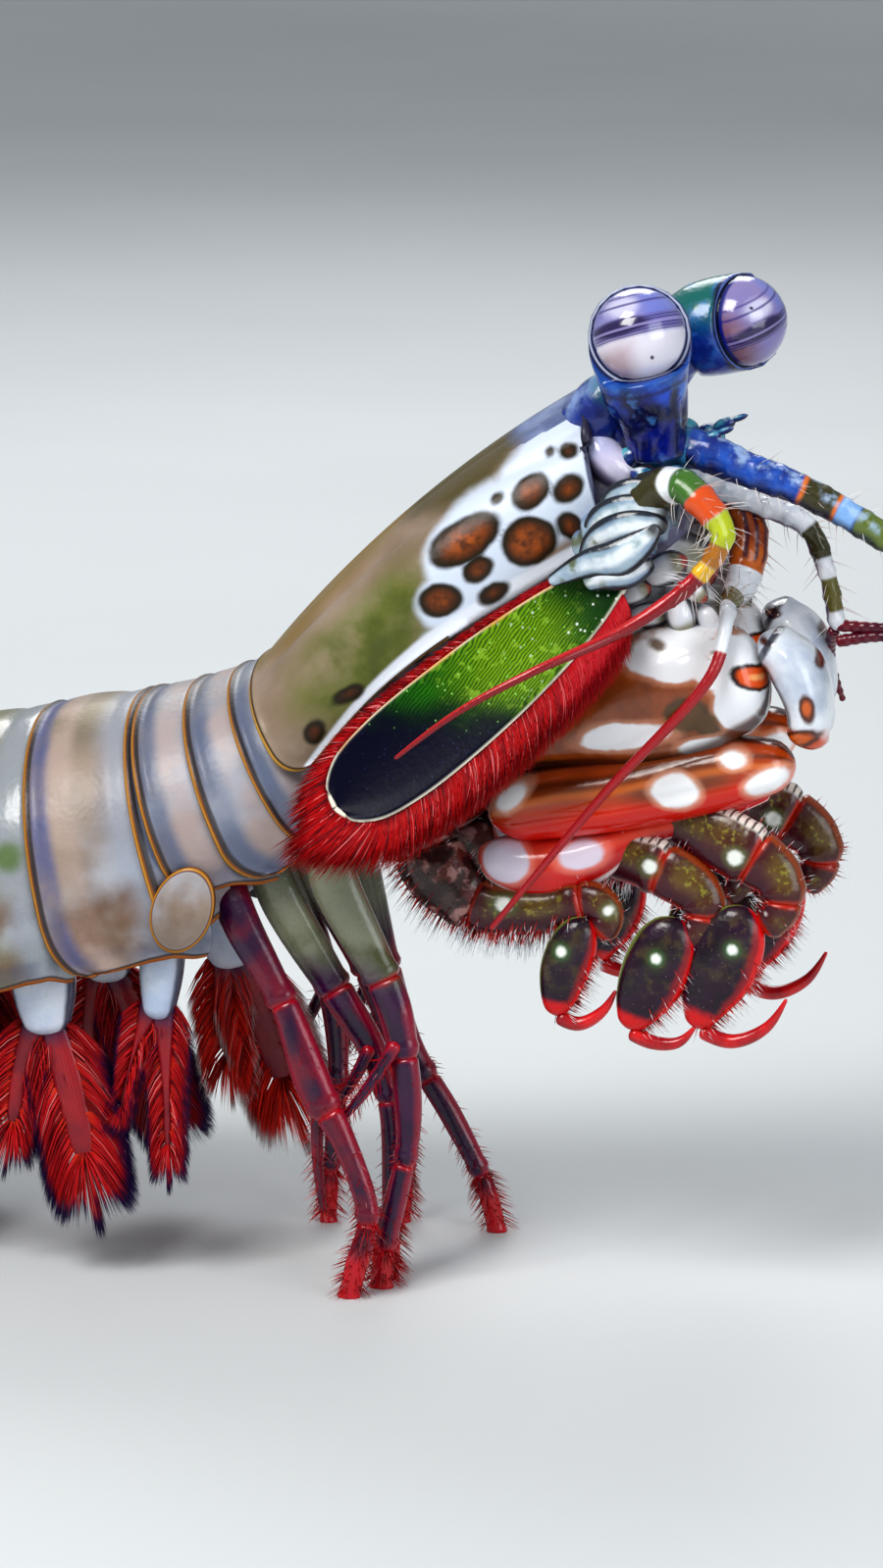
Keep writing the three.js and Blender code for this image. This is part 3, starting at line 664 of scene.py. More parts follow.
def step_between(node: Callable, value: Socket, low: Socket, high: Socket) -> Socket:
    """A smooth step of a value from 0 at low to 1 at high."""
    made = node("ShaderNodeMapRange", value, low, high, interpolation_type="SMOOTHSTEP")
    return made.outputs[0]


def noise_from(node: Callable, scale: Socket, detail: float = 3.0) -> Socket:
    """Noise from 0 to 1 at a place on the object, about scale features in a metre."""
    place = node("ShaderNodeTexCoord").outputs["Object"]
    return node("ShaderNodeTexNoise", place, None, scale, detail).outputs[0]


def band_group() -> bpy.types.NodeTree:
    """A mask that is 1 where a field lies between two levels, with a soft and wavering edge.

    Returns:
        The group.
    """
    given = {"Field": 0.0, "Above": -1000.0, "Below": 1000.0, "Edge": 0.1, "Wobble": 0.0, "Scale": 400.0}
    tree, take, node, end = new_group("Band Between Levels", given, "Mask")
    wave = maths(node, "SUBTRACT", noise_from(node, take["Scale"]), 0.5)
    wave = maths(node, "MULTIPLY", wave, take["Wobble"])
    value = maths(node, "ADD", wave, take["Field"])
    edges = []
    for word in ("Above", "Below"):
        low = maths(node, "SUBTRACT", take[word], take["Edge"])
        high = maths(node, "ADD", take[word], take["Edge"])
        edges.append(step_between(node, value, low, high))
    outside = maths(node, "SUBTRACT", 1.0, edges[1])
    end(maths(node, "MULTIPLY", edges[0], outside))
    return tree


def mottle_group() -> bpy.types.NodeTree:
    """A mask of soft blotches: 1 where noise is above a share.

    Returns:
        The group.
    """
    tree, take, node, end = new_group("Blotches", {"Scale": 300.0, "Share": 0.5, "Soft": 0.08}, "Mask")
    low = maths(node, "SUBTRACT", take["Share"], take["Soft"])
    high = maths(node, "ADD", take["Share"], take["Soft"])
    end(step_between(node, noise_from(node, take["Scale"], 4.0), low, high))
    return tree


def dots_group() -> bpy.types.NodeTree:
    """A mask of scattered dots: 1 within a radius of the middles of random cells.

    Returns:
        The group.
    """
    tree, take, node, end = new_group(
        "Scattered Dots", {"Scale": 900.0, "Radius": 0.25, "Soft": 0.06}, "Mask",
    )
    place = node("ShaderNodeTexCoord").outputs["Object"]
    cell = node("ShaderNodeTexVoronoi", place, None, take["Scale"]).outputs["Distance"]
    low = maths(node, "ADD", take["Radius"], take["Soft"])
    high = maths(node, "SUBTRACT", take["Radius"], take["Soft"])
    end(step_between(node, cell, low, high))
    return tree


def stripes_group() -> bpy.types.NodeTree:
    """A mask of stripes across a field: 1 within a share of each spacing, wavering with noise.

    Returns:
        The group.
    """
    given = {"Field": 0.0, "Spacing": 1.0, "Share": 0.5, "Soft": 0.1, "Wobble": 0.0, "Scale": 400.0}
    tree, take, node, end = new_group("Stripes", given, "Mask")
    wave = maths(node, "SUBTRACT", noise_from(node, take["Scale"]), 0.5)
    wave = maths(node, "MULTIPLY", wave, take["Wobble"])
    value = maths(node, "ADD", take["Field"], wave)
    value = maths(node, "DIVIDE", value, take["Spacing"])
    value = maths(node, "PINGPONG", value, 0.5)
    value = maths(node, "MULTIPLY", value, 2.0)
    low = maths(node, "ADD", take["Share"], take["Soft"])
    high = maths(node, "SUBTRACT", take["Share"], take["Soft"])
    end(step_between(node, value, low, high))
    return tree


def grain_group() -> bpy.types.NodeTree:
    """A height of low swells with fine pits, for relief and for uneven gloss.

    Returns:
        The group.
    """
    tree, take, node, end = new_group(
        "Shell Grain", {"Scale": 500.0, "Fine": 2400.0, "Pits": 0.4}, "Height",
    )
    broad = noise_from(node, take["Scale"])
    place = node("ShaderNodeTexCoord").outputs["Object"]
    cell = node("ShaderNodeTexVoronoi", place, None, take["Fine"]).outputs["Distance"]
    cell = maths(node, "MULTIPLY", cell, take["Pits"])
    end(maths(node, "ADD", broad, cell))
    return tree


@dataclass(frozen=True)
class Dots:
    """Dots scattered over the surface."""

    scale: float = 900.0
    radius: float = 0.25
    soft: float = 0.06


@dataclass(frozen=True)
class Blotches:
    """Soft blotches over the surface."""

    scale: float = 300.0
    share: float = 0.5
    soft: float = 0.08


@dataclass(frozen=True)
class Stripes:
    """Stripes across a field."""

    field: str
    spacing: float
    share: float = 0.5
    soft: float = 0.15
    wobble: float = 0.0
    scale: float = 400.0


Pattern = Dots | Blotches | Stripes


@dataclass(frozen=True)
class Layer:
    """A colour laid over those before it where a field lies between two levels, all over if it names none.

    Attributes:
        colour: The colour.
        field: The field's name.
        above: The lower level, in the field's unit.
        below: The upper level.
        edge: Half the width of the soft edge.
        wobble: How far noise moves the edge.
        scale: The noise's features in a metre.
        strength: How much of the colour is laid on.
        pattern: What breaks it up.
    """

    colour: Colour
    field: str = ""
    above: float = -1000.0
    below: float = 1000.0
    edge: float = 0.1
    wobble: float = 0.0
    scale: float = 400.0
    strength: float = 1.0
    pattern: Pattern | None = None


GROUP_MAKERS: dict[str, Callable[[], bpy.types.NodeTree]] = {
    "band": band_group,
    "Blotches": mottle_group,
    "Dots": dots_group,
    "Stripes": stripes_group,
    "grain": grain_group,
}
GROUPS: dict[str, bpy.types.NodeTree] = {}
MATERIALS: dict[str, bpy.types.Material] = {}


class Palette:
    """Lays colours, gloss and relief in a new material's node tree."""

    def __init__(self, name: str) -> None:
        """Starts a material that holds only its shader.

        Args:
            name: The material's name.
        """
        self.material = bpy.data.materials.new(name)
        self.material.use_nodes = True
        self.tree = self.material.node_tree
        self.shader = self.tree.nodes["Principled BSDF"]
        self.read: dict[str, Socket] = {}

    def link(self, start: Socket, stop: Socket) -> None:
        """Links two sockets."""
        self.tree.links.new(start, stop)

    def field(self, name: str) -> Socket:
        """A field of the mesh as a number.

        Args:
            name: The field's name.

        Returns:
            The socket that gives it.
        """
        if name not in self.read:
            node = self.tree.nodes.new("ShaderNodeAttribute")
            node.attribute_name = name
            self.read[name] = node.outputs["Fac"]
        return self.read[name]

    def group(self, kind: str, **given: Socket | float) -> Socket:
        """The output of a shared group.

        Args:
            kind: The group's key in GROUP_MAKERS.
            **given: Its inputs by name in lower case, each a socket or a number.

        Returns:
            The group's output.
        """
        if kind not in GROUPS:
            GROUPS[kind] = GROUP_MAKERS[kind]()
        node = self.tree.nodes.new("ShaderNodeGroup")
        node.node_tree = GROUPS[kind]
        for word, value in given.items():
            socket = node.inputs[word.capitalize()]
            if isinstance(value, bpy.types.NodeSocket):
                self.link(value, socket)
            else:
                socket.default_value = value
        return node.outputs[0]

    def product(self, first: Socket, second: Socket | float) -> Socket:
        """The product of two numbers.

        Args:
            first: The first, as a socket.
            second: The second, as a socket or a number.

        Returns:
            The product's socket.
        """
        node = self.tree.nodes.new("ShaderNodeMath")
        node.operation = "MULTIPLY"
        self.link(first, node.inputs[0])
        if isinstance(second, bpy.types.NodeSocket):
            self.link(second, node.inputs[1])
        else:
            node.inputs[1].default_value = second
        return node.outputs[0]

    def pattern_mask(self, pattern: Pattern) -> Socket:
        """The mask of a pattern.

        Args:
            pattern: The pattern.

        Returns:
            Its socket.
        """
        given = dict(vars(pattern))
        if isinstance(pattern, Stripes):
            given["field"] = self.field(pattern.field)
        return self.group(type(pattern).__name__, **given)

    def mask(self, layer: Layer) -> Socket | float:
        """Where a layer shows: the product of its band, its pattern and its strength.

        Args:
            layer: The layer.

        Returns:
            The mask's socket, or a plain share.
        """
        masks = []
        if layer.field:
            masks.append(
                self.group(
                    "band",
                    field=self.field(layer.field),
                    above=layer.above,
                    below=layer.below,
                    edge=layer.edge,
                    wobble=layer.wobble,
                    scale=layer.scale,
                )
            )
        if layer.pattern is not None:
            masks.append(self.pattern_mask(layer.pattern))
        if not masks:
            return layer.strength
        found = masks[0]
        for other in masks[1:]:
            found = self.product(found, other)
        return self.product(found, layer.strength) if layer.strength < 1 else found

    def lay(self, colour: Socket | Colour, layer: Layer) -> Socket:
        """A colour with a layer laid over it.

        Args:
            colour: The colour below.
            layer: The layer.

        Returns:
            The new colour's socket.
        """
        node = self.tree.nodes.new("ShaderNodeMix")
        node.data_type = "RGBA"
        factor, first, second = node.inputs[0], node.inputs[6], node.inputs[7]
        mask = self.mask(layer)
        if isinstance(mask, float):
            factor.default_value = mask
        else:
            self.link(mask, factor)
        if isinstance(colour, bpy.types.NodeSocket):
            self.link(colour, first)
        else:
            first.default_value = (*colour, 1.0)
        second.default_value = (*layer.colour, 1.0)
        return node.outputs[2]

    def relief(self, depth: float, scale: float, fine: float) -> None:
        """Fine relief from the shared grain.

        Args:
            depth: Its depth in mm.
            scale: Features of the swells in a metre.
            fine: Pits in a metre.
        """
        bump = self.tree.nodes.new("ShaderNodeBump")
        bump.inputs["Strength"].default_value = 1.0
        bump.inputs["Distance"].default_value = depth * MM
        self.link(self.group("grain", scale=scale, fine=fine), bump.inputs["Height"])
        self.link(bump.outputs[0], self.shader.inputs["Normal"])

    def gloss(self, roughness: float, spread: float) -> None:
        """Roughness that wanders round a value.

        Args:
            roughness: The value.
            spread: How far it wanders.
        """
        node = self.tree.nodes.new("ShaderNodeMapRange")
        self.link(self.group("grain", scale=350.0, fine=1800.0), node.inputs["Value"])
        node.inputs["From Max"].default_value = 1.3
        node.inputs["To Min"].default_value = max(0.02, roughness - spread)
        node.inputs["To Max"].default_value = roughness + spread
        self.link(node.outputs[0], self.shader.inputs["Roughness"])


@dataclass(frozen=True)
class Finish:
    """A finish: a base colour, blotches of a second one, layers over them, gloss and relief.

    Attributes:
        name: The material's name.
        base: Main colour.
        tint: Colour of the blotches.
        tint_scale: The blotches' features in a metre.
        layers: Colours laid over these, in order.
        roughness: Mean roughness.
        coat: Weight of the clear coat, as of wet shell.
        relief: Depth of the fine relief in mm.
        relief_scale: Its features in a metre.
        relief_fine: Its pits in a metre.
        shine: The specular level.
    """

    name: str
    base: Colour
    tint: Colour
    tint_scale: float = 260.0
    layers: tuple[Layer, ...] = ()
    roughness: float = 0.34
    coat: float = 0.35
    relief: float = 0.05
    relief_scale: float = 500.0
    relief_fine: float = 2600.0
    shine: float = 0.4

    def material(self) -> bpy.types.Material:
        """The finish's material, made on first use.

        Returns:
            The material.
        """
        if self.name not in MATERIALS:
            palette = Palette(self.name)
            colour = palette.lay(self.base, Layer(self.tint, pattern=Blotches(self.tint_scale, 0.5, 0.2)))
            for layer in self.layers:
                colour = palette.lay(colour, layer)
            palette.link(colour, palette.shader.inputs["Base Color"])
            palette.gloss(self.roughness, 0.1)
            palette.relief(self.relief, self.relief_scale, self.relief_fine)
            palette.shader.inputs["Specular IOR Level"].default_value = self.shine
            palette.shader.inputs["Coat Weight"].default_value = self.coat
            palette.shader.inputs["Coat Roughness"].default_value = 0.12
            MATERIALS[self.name] = palette.material
        return MATERIALS[self.name]


# finishes of the animal; a table of ovals holds rows as oval_field reads them

WHITE = rgb(236, 240, 244)
CREAM = rgb(214, 208, 198)
OLIVE = rgb(104, 98, 44)
OLIVE_DARK = rgb(58, 54, 22)
ORANGE = rgb(216, 112, 20)
RED = rgb(196, 20, 24)
CRIMSON = rgb(142, 12, 30)
MAROON = rgb(72, 8, 24)
TEAL = rgb(22, 118, 130)

WHITE_FIELD = (
    (9.6, 57.4, 5.6, 3.7, 42), (5.0, 53.2, 4.7, 3.5, 44), (2.5, 49.3, 2.2, 2.0, 40),
    (12.0, 59.0, 2.4, 4.6, -10),
)
LEOPARD_SPOTS = (
    (3.5, 53.5, 2.75, 1.55, 32),
    (7.7, 53.3, 2.0, 1.75, 10),
    (1.9, 49.4, 1.5, 1.2, 15),
    (4.4, 51.5, 1.25, 0.95, 35),
    (7.7, 56.8, 1.45, 1.15, 45),
    (10.4, 57.0, 1.3, 1.05, 40),
    (10.5, 54.4, 0.95, 1.15, 20),
    (5.5, 49.9, 1.25, 0.75, 35),
    (5.4, 56.2, 0.55, 0.4, 40),
    (10.1, 59.4, 0.75, 0.55, 0),
    (8.7, 59.3, 0.5, 0.4, 60),
    (-6.8, 39.9, 0.8, 1.05, -20),
    (-4.4, 42.7, 1.2, 0.6, 30),
)
LEOPARD = Finish(
    "leopard shell", rgb(160, 140, 126), rgb(130, 112, 92), 150.0,
    (
        Layer(rgb(128, 104, 44), "crest", 0.0, 60.0, 1.3, 1.6, 200.0, 0.8),
        Layer(rgb(76, 68, 30), "crown", 0.0, 60.0, 1.2, 2.6, 180.0, 0.9),
        Layer(rgb(98, 106, 34), "flank", 0.0, 60.0, 1.5, 2.8, 190.0, 0.95, Blotches(210.0, 0.38, 0.2)),
        Layer(rgb(62, 72, 26), "flank", 0.8, 60.0, 0.9, 3.0, 300.0, 0.6, Blotches(420.0, 0.5, 0.14)),
        Layer(rgb(84, 102, 146), "brow", 0.0, 60.0, 1.1, 1.8, 200.0, 0.9),
        Layer(rgb(150, 164, 198), "brow", 0.5, 60.0, 0.9, 1.6, 400.0, 0.55, Blotches(320.0, 0.52, 0.1)),
        Layer(rgb(206, 216, 232), "field", 0.0, 60.0, 0.45, 1.2, 300.0),
        Layer(rgb(226, 232, 242), "low", -1.0, 1.25, 0.18, 0.25, 200.0, 0.97),
        Layer(rgb(34, 26, 8), "spots", 0.1, 60.0, 0.18, 1.0, 300.0),
        Layer(rgb(92, 44, 10), "spots", 0.56, 60.0, 0.36, 0.9, 300.0, 0.92),
        Layer(rgb(168, 84, 20), "spots", 0.85, 60.0, 0.5, 0.8, 300.0, 0.8, Blotches(1300.0, 0.5, 0.14)),
        Layer(rgb(70, 52, 30), "rim", -0.1, 0.4, 0.06),
        Layer(rgb(206, 156, 66), "rim", -0.4, 0.24, 0.06),
        Layer(rgb(54, 58, 92), "front", -1.0, 0.3, 0.12, 0.2, 300.0, 0.9),
        Layer(rgb(52, 50, 70), "inside", 0.5, 2.0, 0.2),
    ),
    roughness=0.38, coat=0.05, relief=0.03, shine=0.32,
)


def body_finish(name: str, blue: Colour, brown: float) -> Finish:
    """The finish of a body ring: tan-grey, blue towards its front border and brown low on its flank.

    Args:
        name: The finish's name.
        blue: The colour of the band along the rear border.
        brown: Strength of the brown.

    Returns:
        The finish.
    """
    return Finish(
        name, rgb(156, 138, 124), rgb(120, 110, 102), 130.0,
        (
            Layer(rgb(118, 106, 66), "top", 0.6, 2.0, 0.5, 0.8, 160.0, 0.6, Blotches(140.0, 0.45, 0.16)),
            Layer(rgb(178, 184, 196), "low", 3.0, 9.5, 2.4, 4.0, 120.0, 0.7, Blotches(150.0, 0.5, 0.1)),
            Layer(rgb(150, 158, 174), "front", -3.0, 1.9, 1.0, 1.6, 160.0, 0.7),
            Layer(
                rgb(112, 82, 58), "patch", 0.0, 60.0, 1.2, 2.4, 200.0, brown, Blotches(260.0, 0.42, 0.16),
            ),
            Layer(blue, "rear", 0.3, 1.7, 0.4, 0.7, 160.0, 0.9, Blotches(170.0, 0.42, 0.2)),
            Layer(rgb(182, 160, 152), "rear", 1.7, 3.4, 0.5, 0.8, 200.0, 0.6, Blotches(200.0, 0.45, 0.15)),
            Layer(rgb(62, 70, 100), "low", 0.2, 1.8, 0.5, 1.2, 220.0, 0.5, Blotches(260.0, 0.5, 0.12)),
            # A near-black line just before the rear rim: painted shadow beside the rolled bead.
            Layer(rgb(36, 26, 24), "rear", -1.0, 0.5, 0.08, 0.12, 200.0, 0.9),
            Layer(rgb(128, 72, 16), "rear", -1.0, 0.24, 0.06, 0.12, 300.0),
            # A thin yellow streak on the brown-gold rear rim: a painted highlight along the rolled bead.
            Layer(rgb(206, 150, 50), "rear", 0.03, 0.13, 0.05, 0.12, 260.0, 0.75),
            # A near-black line just above the lower border's orange rim: painted shadow beside the rim.
            Layer(rgb(44, 28, 24), "low", -1.0, 0.42, 0.08, 0.1, 300.0, 0.9),
            Layer(rgb(176, 98, 24), "low", -1.0, 0.24, 0.06, 0.1, 300.0, 0.9),
            Layer(rgb(84, 76, 80), "inside", 0.5, 2.0, 0.2),
        ),
        roughness=0.4, coat=0.07, relief=0.035, relief_scale=420.0,
    )


THORAX = body_finish("thorax shell", rgb(92, 102, 128), 0.5)
ABDOMEN = body_finish("abdomen shell", rgb(80, 88, 132), 0.9)
REAR_ABDOMEN = Finish(
    "rear abdomen shell", rgb(146, 136, 104), rgb(104, 106, 58), 160.0,
    ABDOMEN.layers + (Layer(rgb(84, 108, 44), "eyespot", 0.0, 60.0, 0.5, 0.9, 300.0, 0.85),),
    roughness=0.26, coat=0.5, relief=0.035, relief_scale=420.0,
)
TAIL = Finish(
    "tail shell", rgb(98, 112, 42), rgb(150, 132, 62), 220.0,
    (
        Layer(rgb(188, 176, 132), "carina", 0.0, 9.0, 0.25, 0.4, 300.0, 0.8),
        Layer(rgb(36, 62, 24), "mid", 3.0, 7.5, 0.8, 1.2, 300.0, 0.7, Blotches(420.0, 0.45, 0.12)),
        Layer(RED, "rim", -1.0, 1.5, 0.3, 0.5, 300.0),
        Layer(ORANGE, "rim", -1.0, 0.75, 0.2, 0.3, 300.0),
        Layer(CREAM, "tip", 0.7, 2.0, 0.1),
    ),
    roughness=0.3, coat=0.45, relief=0.05,
)
FLESH = Finish(
    "underside flesh", rgb(188, 178, 178), rgb(140, 130, 146), 220.0,
    (
        Layer(rgb(96, 100, 132), "front", -1.0, 9.0, 2.0, 2.0, 300.0, 0.8),
        # Darker bands in the troughs of the underside folds: painted shade in the creases.
        Layer(rgb(62, 52, 70), "fold", 0.55, 2.0, 0.2, 0.2, 300.0, 0.6),
    ),
    roughness=0.46, coat=0.15, relief=0.09, relief_scale=700.0,
)
BLUE_HEAD = Finish(
    "blue head skin", rgb(24, 56, 150), rgb(8, 18, 84), 420.0,
    (
        # Pale blue blotches on the upward faces: a painted highlight.
        Layer(rgb(150, 176, 222), "top", 0.6, 2.0, 0.25, 0.5, 500.0, 0.7, Blotches(700.0, 0.5, 0.1)),
        Layer(TEAL, "share", 0.75, 2.0, 0.1, 0.2, 400.0, 0.5),
    ),
    roughness=0.24, coat=0.6, relief=0.05, relief_scale=800.0,
)
PEARL = Finish(
    "pearl bulb", rgb(206, 200, 226), rgb(238, 236, 246), 400.0,
    (
        Layer(rgb(150, 158, 206), "share", -1.0, 0.42, 0.12, 0.2, 500.0, 0.7),
        # Dark purple on the bulb's underside: painted shade.
        Layer(rgb(64, 44, 92), "top", -2.0, -0.3, 0.3, 0.4, 500.0, 0.85),
        Layer(rgb(30, 20, 52), "share", -1.0, 0.17, 0.06, 0.1, 500.0, 0.92),
        Layer(rgb(112, 84, 120), "share", 0.8, 2.0, 0.1, 0.1, 500.0, 0.7),
    ),
    roughness=0.14, coat=0.8, relief=0.02,
)
STALK = Finish(
    "eye stalk skin", rgb(10, 34, 146), rgb(5, 14, 84), 420.0,
    (
        # Bright blue blotches: painted highlights on the stalk.
        Layer(rgb(28, 84, 206), "top", -1.3, 2.0, 0.3, 0.6, 500.0, 0.8, Blotches(300.0, 0.52, 0.1)),
        # Near-black blotches on the lower stalk: painted shade.
        Layer(rgb(3, 6, 44), "share", 0.0, 0.62, 0.12, 0.2, 300.0, 0.85, Blotches(340.0, 0.53, 0.08)),
        # Near-black stripes on the lower stalk: painted shade in its folds.
        Layer(
            rgb(2, 4, 36), "share", 0.0, 0.55, 0.12, strength=0.8,
            pattern=Stripes("side", 0.62, 0.26, 0.25, 0.5, 330.0),
        ),
        # Pale blue patches on the lower stalk: painted highlights.
        Layer(rgb(90, 150, 226), "share", 0.0, 0.5, 0.2, 0.2, 500.0, 0.5, Blotches(620.0, 0.63, 0.05)),
        # A dark band below the cup: painted shade in the crease there.
        Layer(rgb(3, 8, 60), "rim", 1.5, 2.2, 0.25, 0.5, 500.0, 0.7),
        Layer(rgb(22, 92, 176), "rim", 0.45, 1.2, 0.3, 0.5, 500.0, 0.6),
        Layer(rgb(6, 10, 60), "rim", -9.0, 0.44, 0.1, 0.1, 500.0, 0.9),
        Layer(rgb(206, 214, 240), "rim", 0.1, 0.24, 0.05, 0.05, 500.0, 0.7),
    ),
    roughness=0.24, coat=0.5, relief=0.06, relief_scale=600.0,
)
TEAL_STALK = Finish(
    "teal eye stalk skin", rgb(14, 54, 150), rgb(8, 24, 96), 420.0,
    (
        Layer(rgb(10, 104, 96), "top", 0.25, 2.0, 0.35, 0.5, 500.0, 0.92),
        Layer(rgb(60, 120, 200), "share", 0.5, 0.9, 0.1, 0.2, 500.0, 0.5, Blotches(640.0, 0.58, 0.08)),
        Layer(rgb(4, 6, 40), "rim", -9.0, 0.4, 0.12, 0.1, 500.0),
        Layer(rgb(96, 120, 190), "rim", 0.1, 0.24, 0.05, 0.05, 500.0, 0.7),
    ),
    roughness=0.24, coat=0.5, relief=0.05, relief_scale=600.0,
)


def cornea_finish(side: Side) -> Finish:
    """The finish of an eye: lilac facets, a dark striped band across the middle and small dark pupils.

    Args:
        side: Which eye; the photographed right one is whiter below its band.

    Returns:
        The finish.
    """
    right = side is Side.RIGHT
    low = rgb(224, 220, 230) if right else rgb(132, 122, 178)
    warm = (
        Layer(rgb(172, 142, 152), "low_left", 0.0, 9.0, 1.0, 0.5, 500.0, 0.8)
        if right
        else Layer(rgb(136, 84, 70), "left", 0.0, 9.0, 0.8, 0.5, 500.0, 0.7)
    )
    return Finish(
        f"{side.word} cornea",
        rgb(150, 146, 196) if right else rgb(132, 124, 176),
        rgb(120, 118, 180) if right else rgb(142, 128, 176),
        420.0,
        (
            Layer(rgb(206, 204, 228), "brow", 0.0, 9.0, 0.5, 0.5, 600.0, 0.85),
            Layer(low, "band", -9.0, -0.62, 0.3, 0.4, 500.0, 0.92),
            warm,
            Layer(rgb(112, 126, 206), "right", 0.0, 9.0, 0.6, 0.4, 500.0, 0.7),
            Layer(rgb(96, 84, 150), "band", -0.62, 0.6, 0.2, 0.2, 400.0, 0.7),
            Layer(rgb(34, 20, 74), "core", 0.0, 9.0, 0.4, 0.5, 700.0, 0.92),
            Layer(
                rgb(28, 18, 62), "band", -0.7, 0.5, 0.06, strength=0.8,
                pattern=Stripes("band", 0.2, 0.3, 0.25, 0.08, 500.0),
            ),
            Layer(rgb(172, 162, 216), "band", -0.1, 0.06, 0.04, 0.06, 400.0, 0.6),
            Layer(rgb(58, 46, 120), "band", 1.5, 1.66, 0.06, 0.12, 500.0, 0.8),
            Layer(rgb(70, 56, 130), "band", 2.1, 2.24, 0.05, 0.1, 500.0, 0.7),
            Layer(rgb(26, 20, 60), "pupil", 0.0, 9.0, 0.07),
            Layer(rgb(24, 34, 120), "edge", -9.0, 0.46, 0.12),
            Layer(rgb(4, 6, 36), "edge", -9.0, 0.2, 0.08),
        ),
        roughness=0.1, coat=0.8, relief=0.01, relief_scale=1500.0, relief_fine=9000.0,
    )


# the body's plan, with the solids' own sizes

CARAPACE_REAR = (-12.7, 43.1)
CARAPACE_LENGTH = 30.9
SHOULDER_AT = 0.72


def arch(across: Array, half: Array, depth: Array) -> tuple[Array, Array]:
    """A body ring's section. From the back to the shoulder it is a quarter oval, out = half sin^0.93 and
    down = 0.66 depth (1 - cos^0.93); below the shoulder a skirt drops to the whole depth and draws in by 7%.

    Args:
        across: From -1 at the right lower border over 0 on the back to 1 at the left one.
        half: Half width in mm.
        depth: Depth in mm.

    Returns:
        Y, and how far down the point lies.
    """
    a = np.abs(across)
    turn = np.clip(a / SHOULDER_AT, 0, 1) * math.pi / 2
    skirt = np.clip((a - SHOULDER_AT) / (1 - SHOULDER_AT), 0, 1)
    out = half * (np.sin(turn) ** 0.93 - 0.07 * skirt**1.5)
    down = depth * (0.66 * (1 - np.maximum(np.cos(turn), 0) ** 0.93) + 0.34 * skirt)
    return np.sign(across) * out, down


@dataclass(frozen=True)
class Ring:
    """One ring of the trunk: its back's front and rear places, and its sizes at both.

    Attributes:
        name: The node's name.
        front: x, z, lean in degrees, half width and depth at the front border.
        rear: The same at the rear border.
    """

    name: str
    front: Array
    rear: Array

    def sizes(self, share: Array) -> Array:
        """Sizes at shares of the ring's length from its front, one row each."""
        t = np.asarray(share, float)[..., None]
        return self.front * (1 - t) + self.rear * t

    def place(self, share: float, out: float, down: float) -> Array:
        """A place in the ring.

        Args:
            share: The share of its length from the front.
            out: How far to the animal's left.
            down: How far down from the back.

        Returns:
            The place in mm.
        """
        x, z, lean, _, _ = self.sizes(share)
        tilt = math.radians(lean)
        return np.array([x + down * math.sin(tilt), out, z - down * math.cos(tilt)])

    @property
    def length(self) -> float:
        """The length of the back in mm."""
        return float(np.hypot(*(self.front - self.rear)[:2]))


RING_SIZES = {
    "thorax_5": (2.4, 22, 29, 12.4, 9.9),
    "thorax_6": (3.4, 19, 22, 14.2, 10.6),
    "thorax_7": (2.0, 14, 20, 13.4, 10.8),
    "thorax_8": (1.6, 13, 16, 16.8, 11.1),
    "abdomen_1": (7.8, 11, 10, 17.8, 11.8),
    "abdomen_2": (9.0, 13.5, 15, 17.6, 12.1),
    "abdomen_3": (9.8, 21, 23, 16.6, 12.3),
    "abdomen_4": (10.2, 30, 32, 15.0, 12.3),
    "abdomen_5": (10.4, 38, 39, 12.8, 11.9),
    "abdomen_6": (8.4, 42, 42, 9.6, 10.9),
}


def body_plan() -> dict[str, Ring]:
    """The trunk's rings from front to rear, each starting where the last one ends.

    Returns:
        The rings by name.
    """
    plan: dict[str, Ring] = {}
    x, z, lean = *CARAPACE_REAR, 30.0
    depth_before, half_before = 12.4, 9.9
    for name, (long, fall, own_lean, depth, half) in RING_SIZES.items():
        shallow = 0.4 * min(depth_before, depth) + 0.6 * depth
        front = np.array([x, z, lean, min(half_before, half), shallow])
        x, z = x - long * math.cos(math.radians(fall)), z - long * math.sin(math.radians(fall))
        lean, depth_before, half_before = own_lean, depth, half
        plan[name] = Ring(name, front, np.array([x, z, lean, half + 0.25, depth]))
    return plan


PLAN = body_plan()


def arched_surface(line: Array, across: Array) -> Array:
    """The points of a plate bent over the back: at each row of the line, the arch hangs from the back's place
    along the direction that leans from straight down.

    Args:
        line: For each point: x, z, lean in degrees, half width and depth.
        across: Each point's place across, from -1 to 1.

    Returns:
        The points.
    """
    y, down = arch(across, line[..., 3], line[..., 4])
    tilt = np.radians(line[..., 2])
    return np.stack([line[..., 0] + down * np.sin(tilt), y, line[..., 1] - down * np.cos(tilt)], -1)


def arc_from(points: Array) -> Array:
    """Length along each row of a grid from its first point, in mm."""
    step = np.linalg.norm(np.diff(points, axis=1), axis=-1)
    return np.concatenate([np.zeros((len(points), 1)), np.cumsum(step, axis=1)], axis=1)


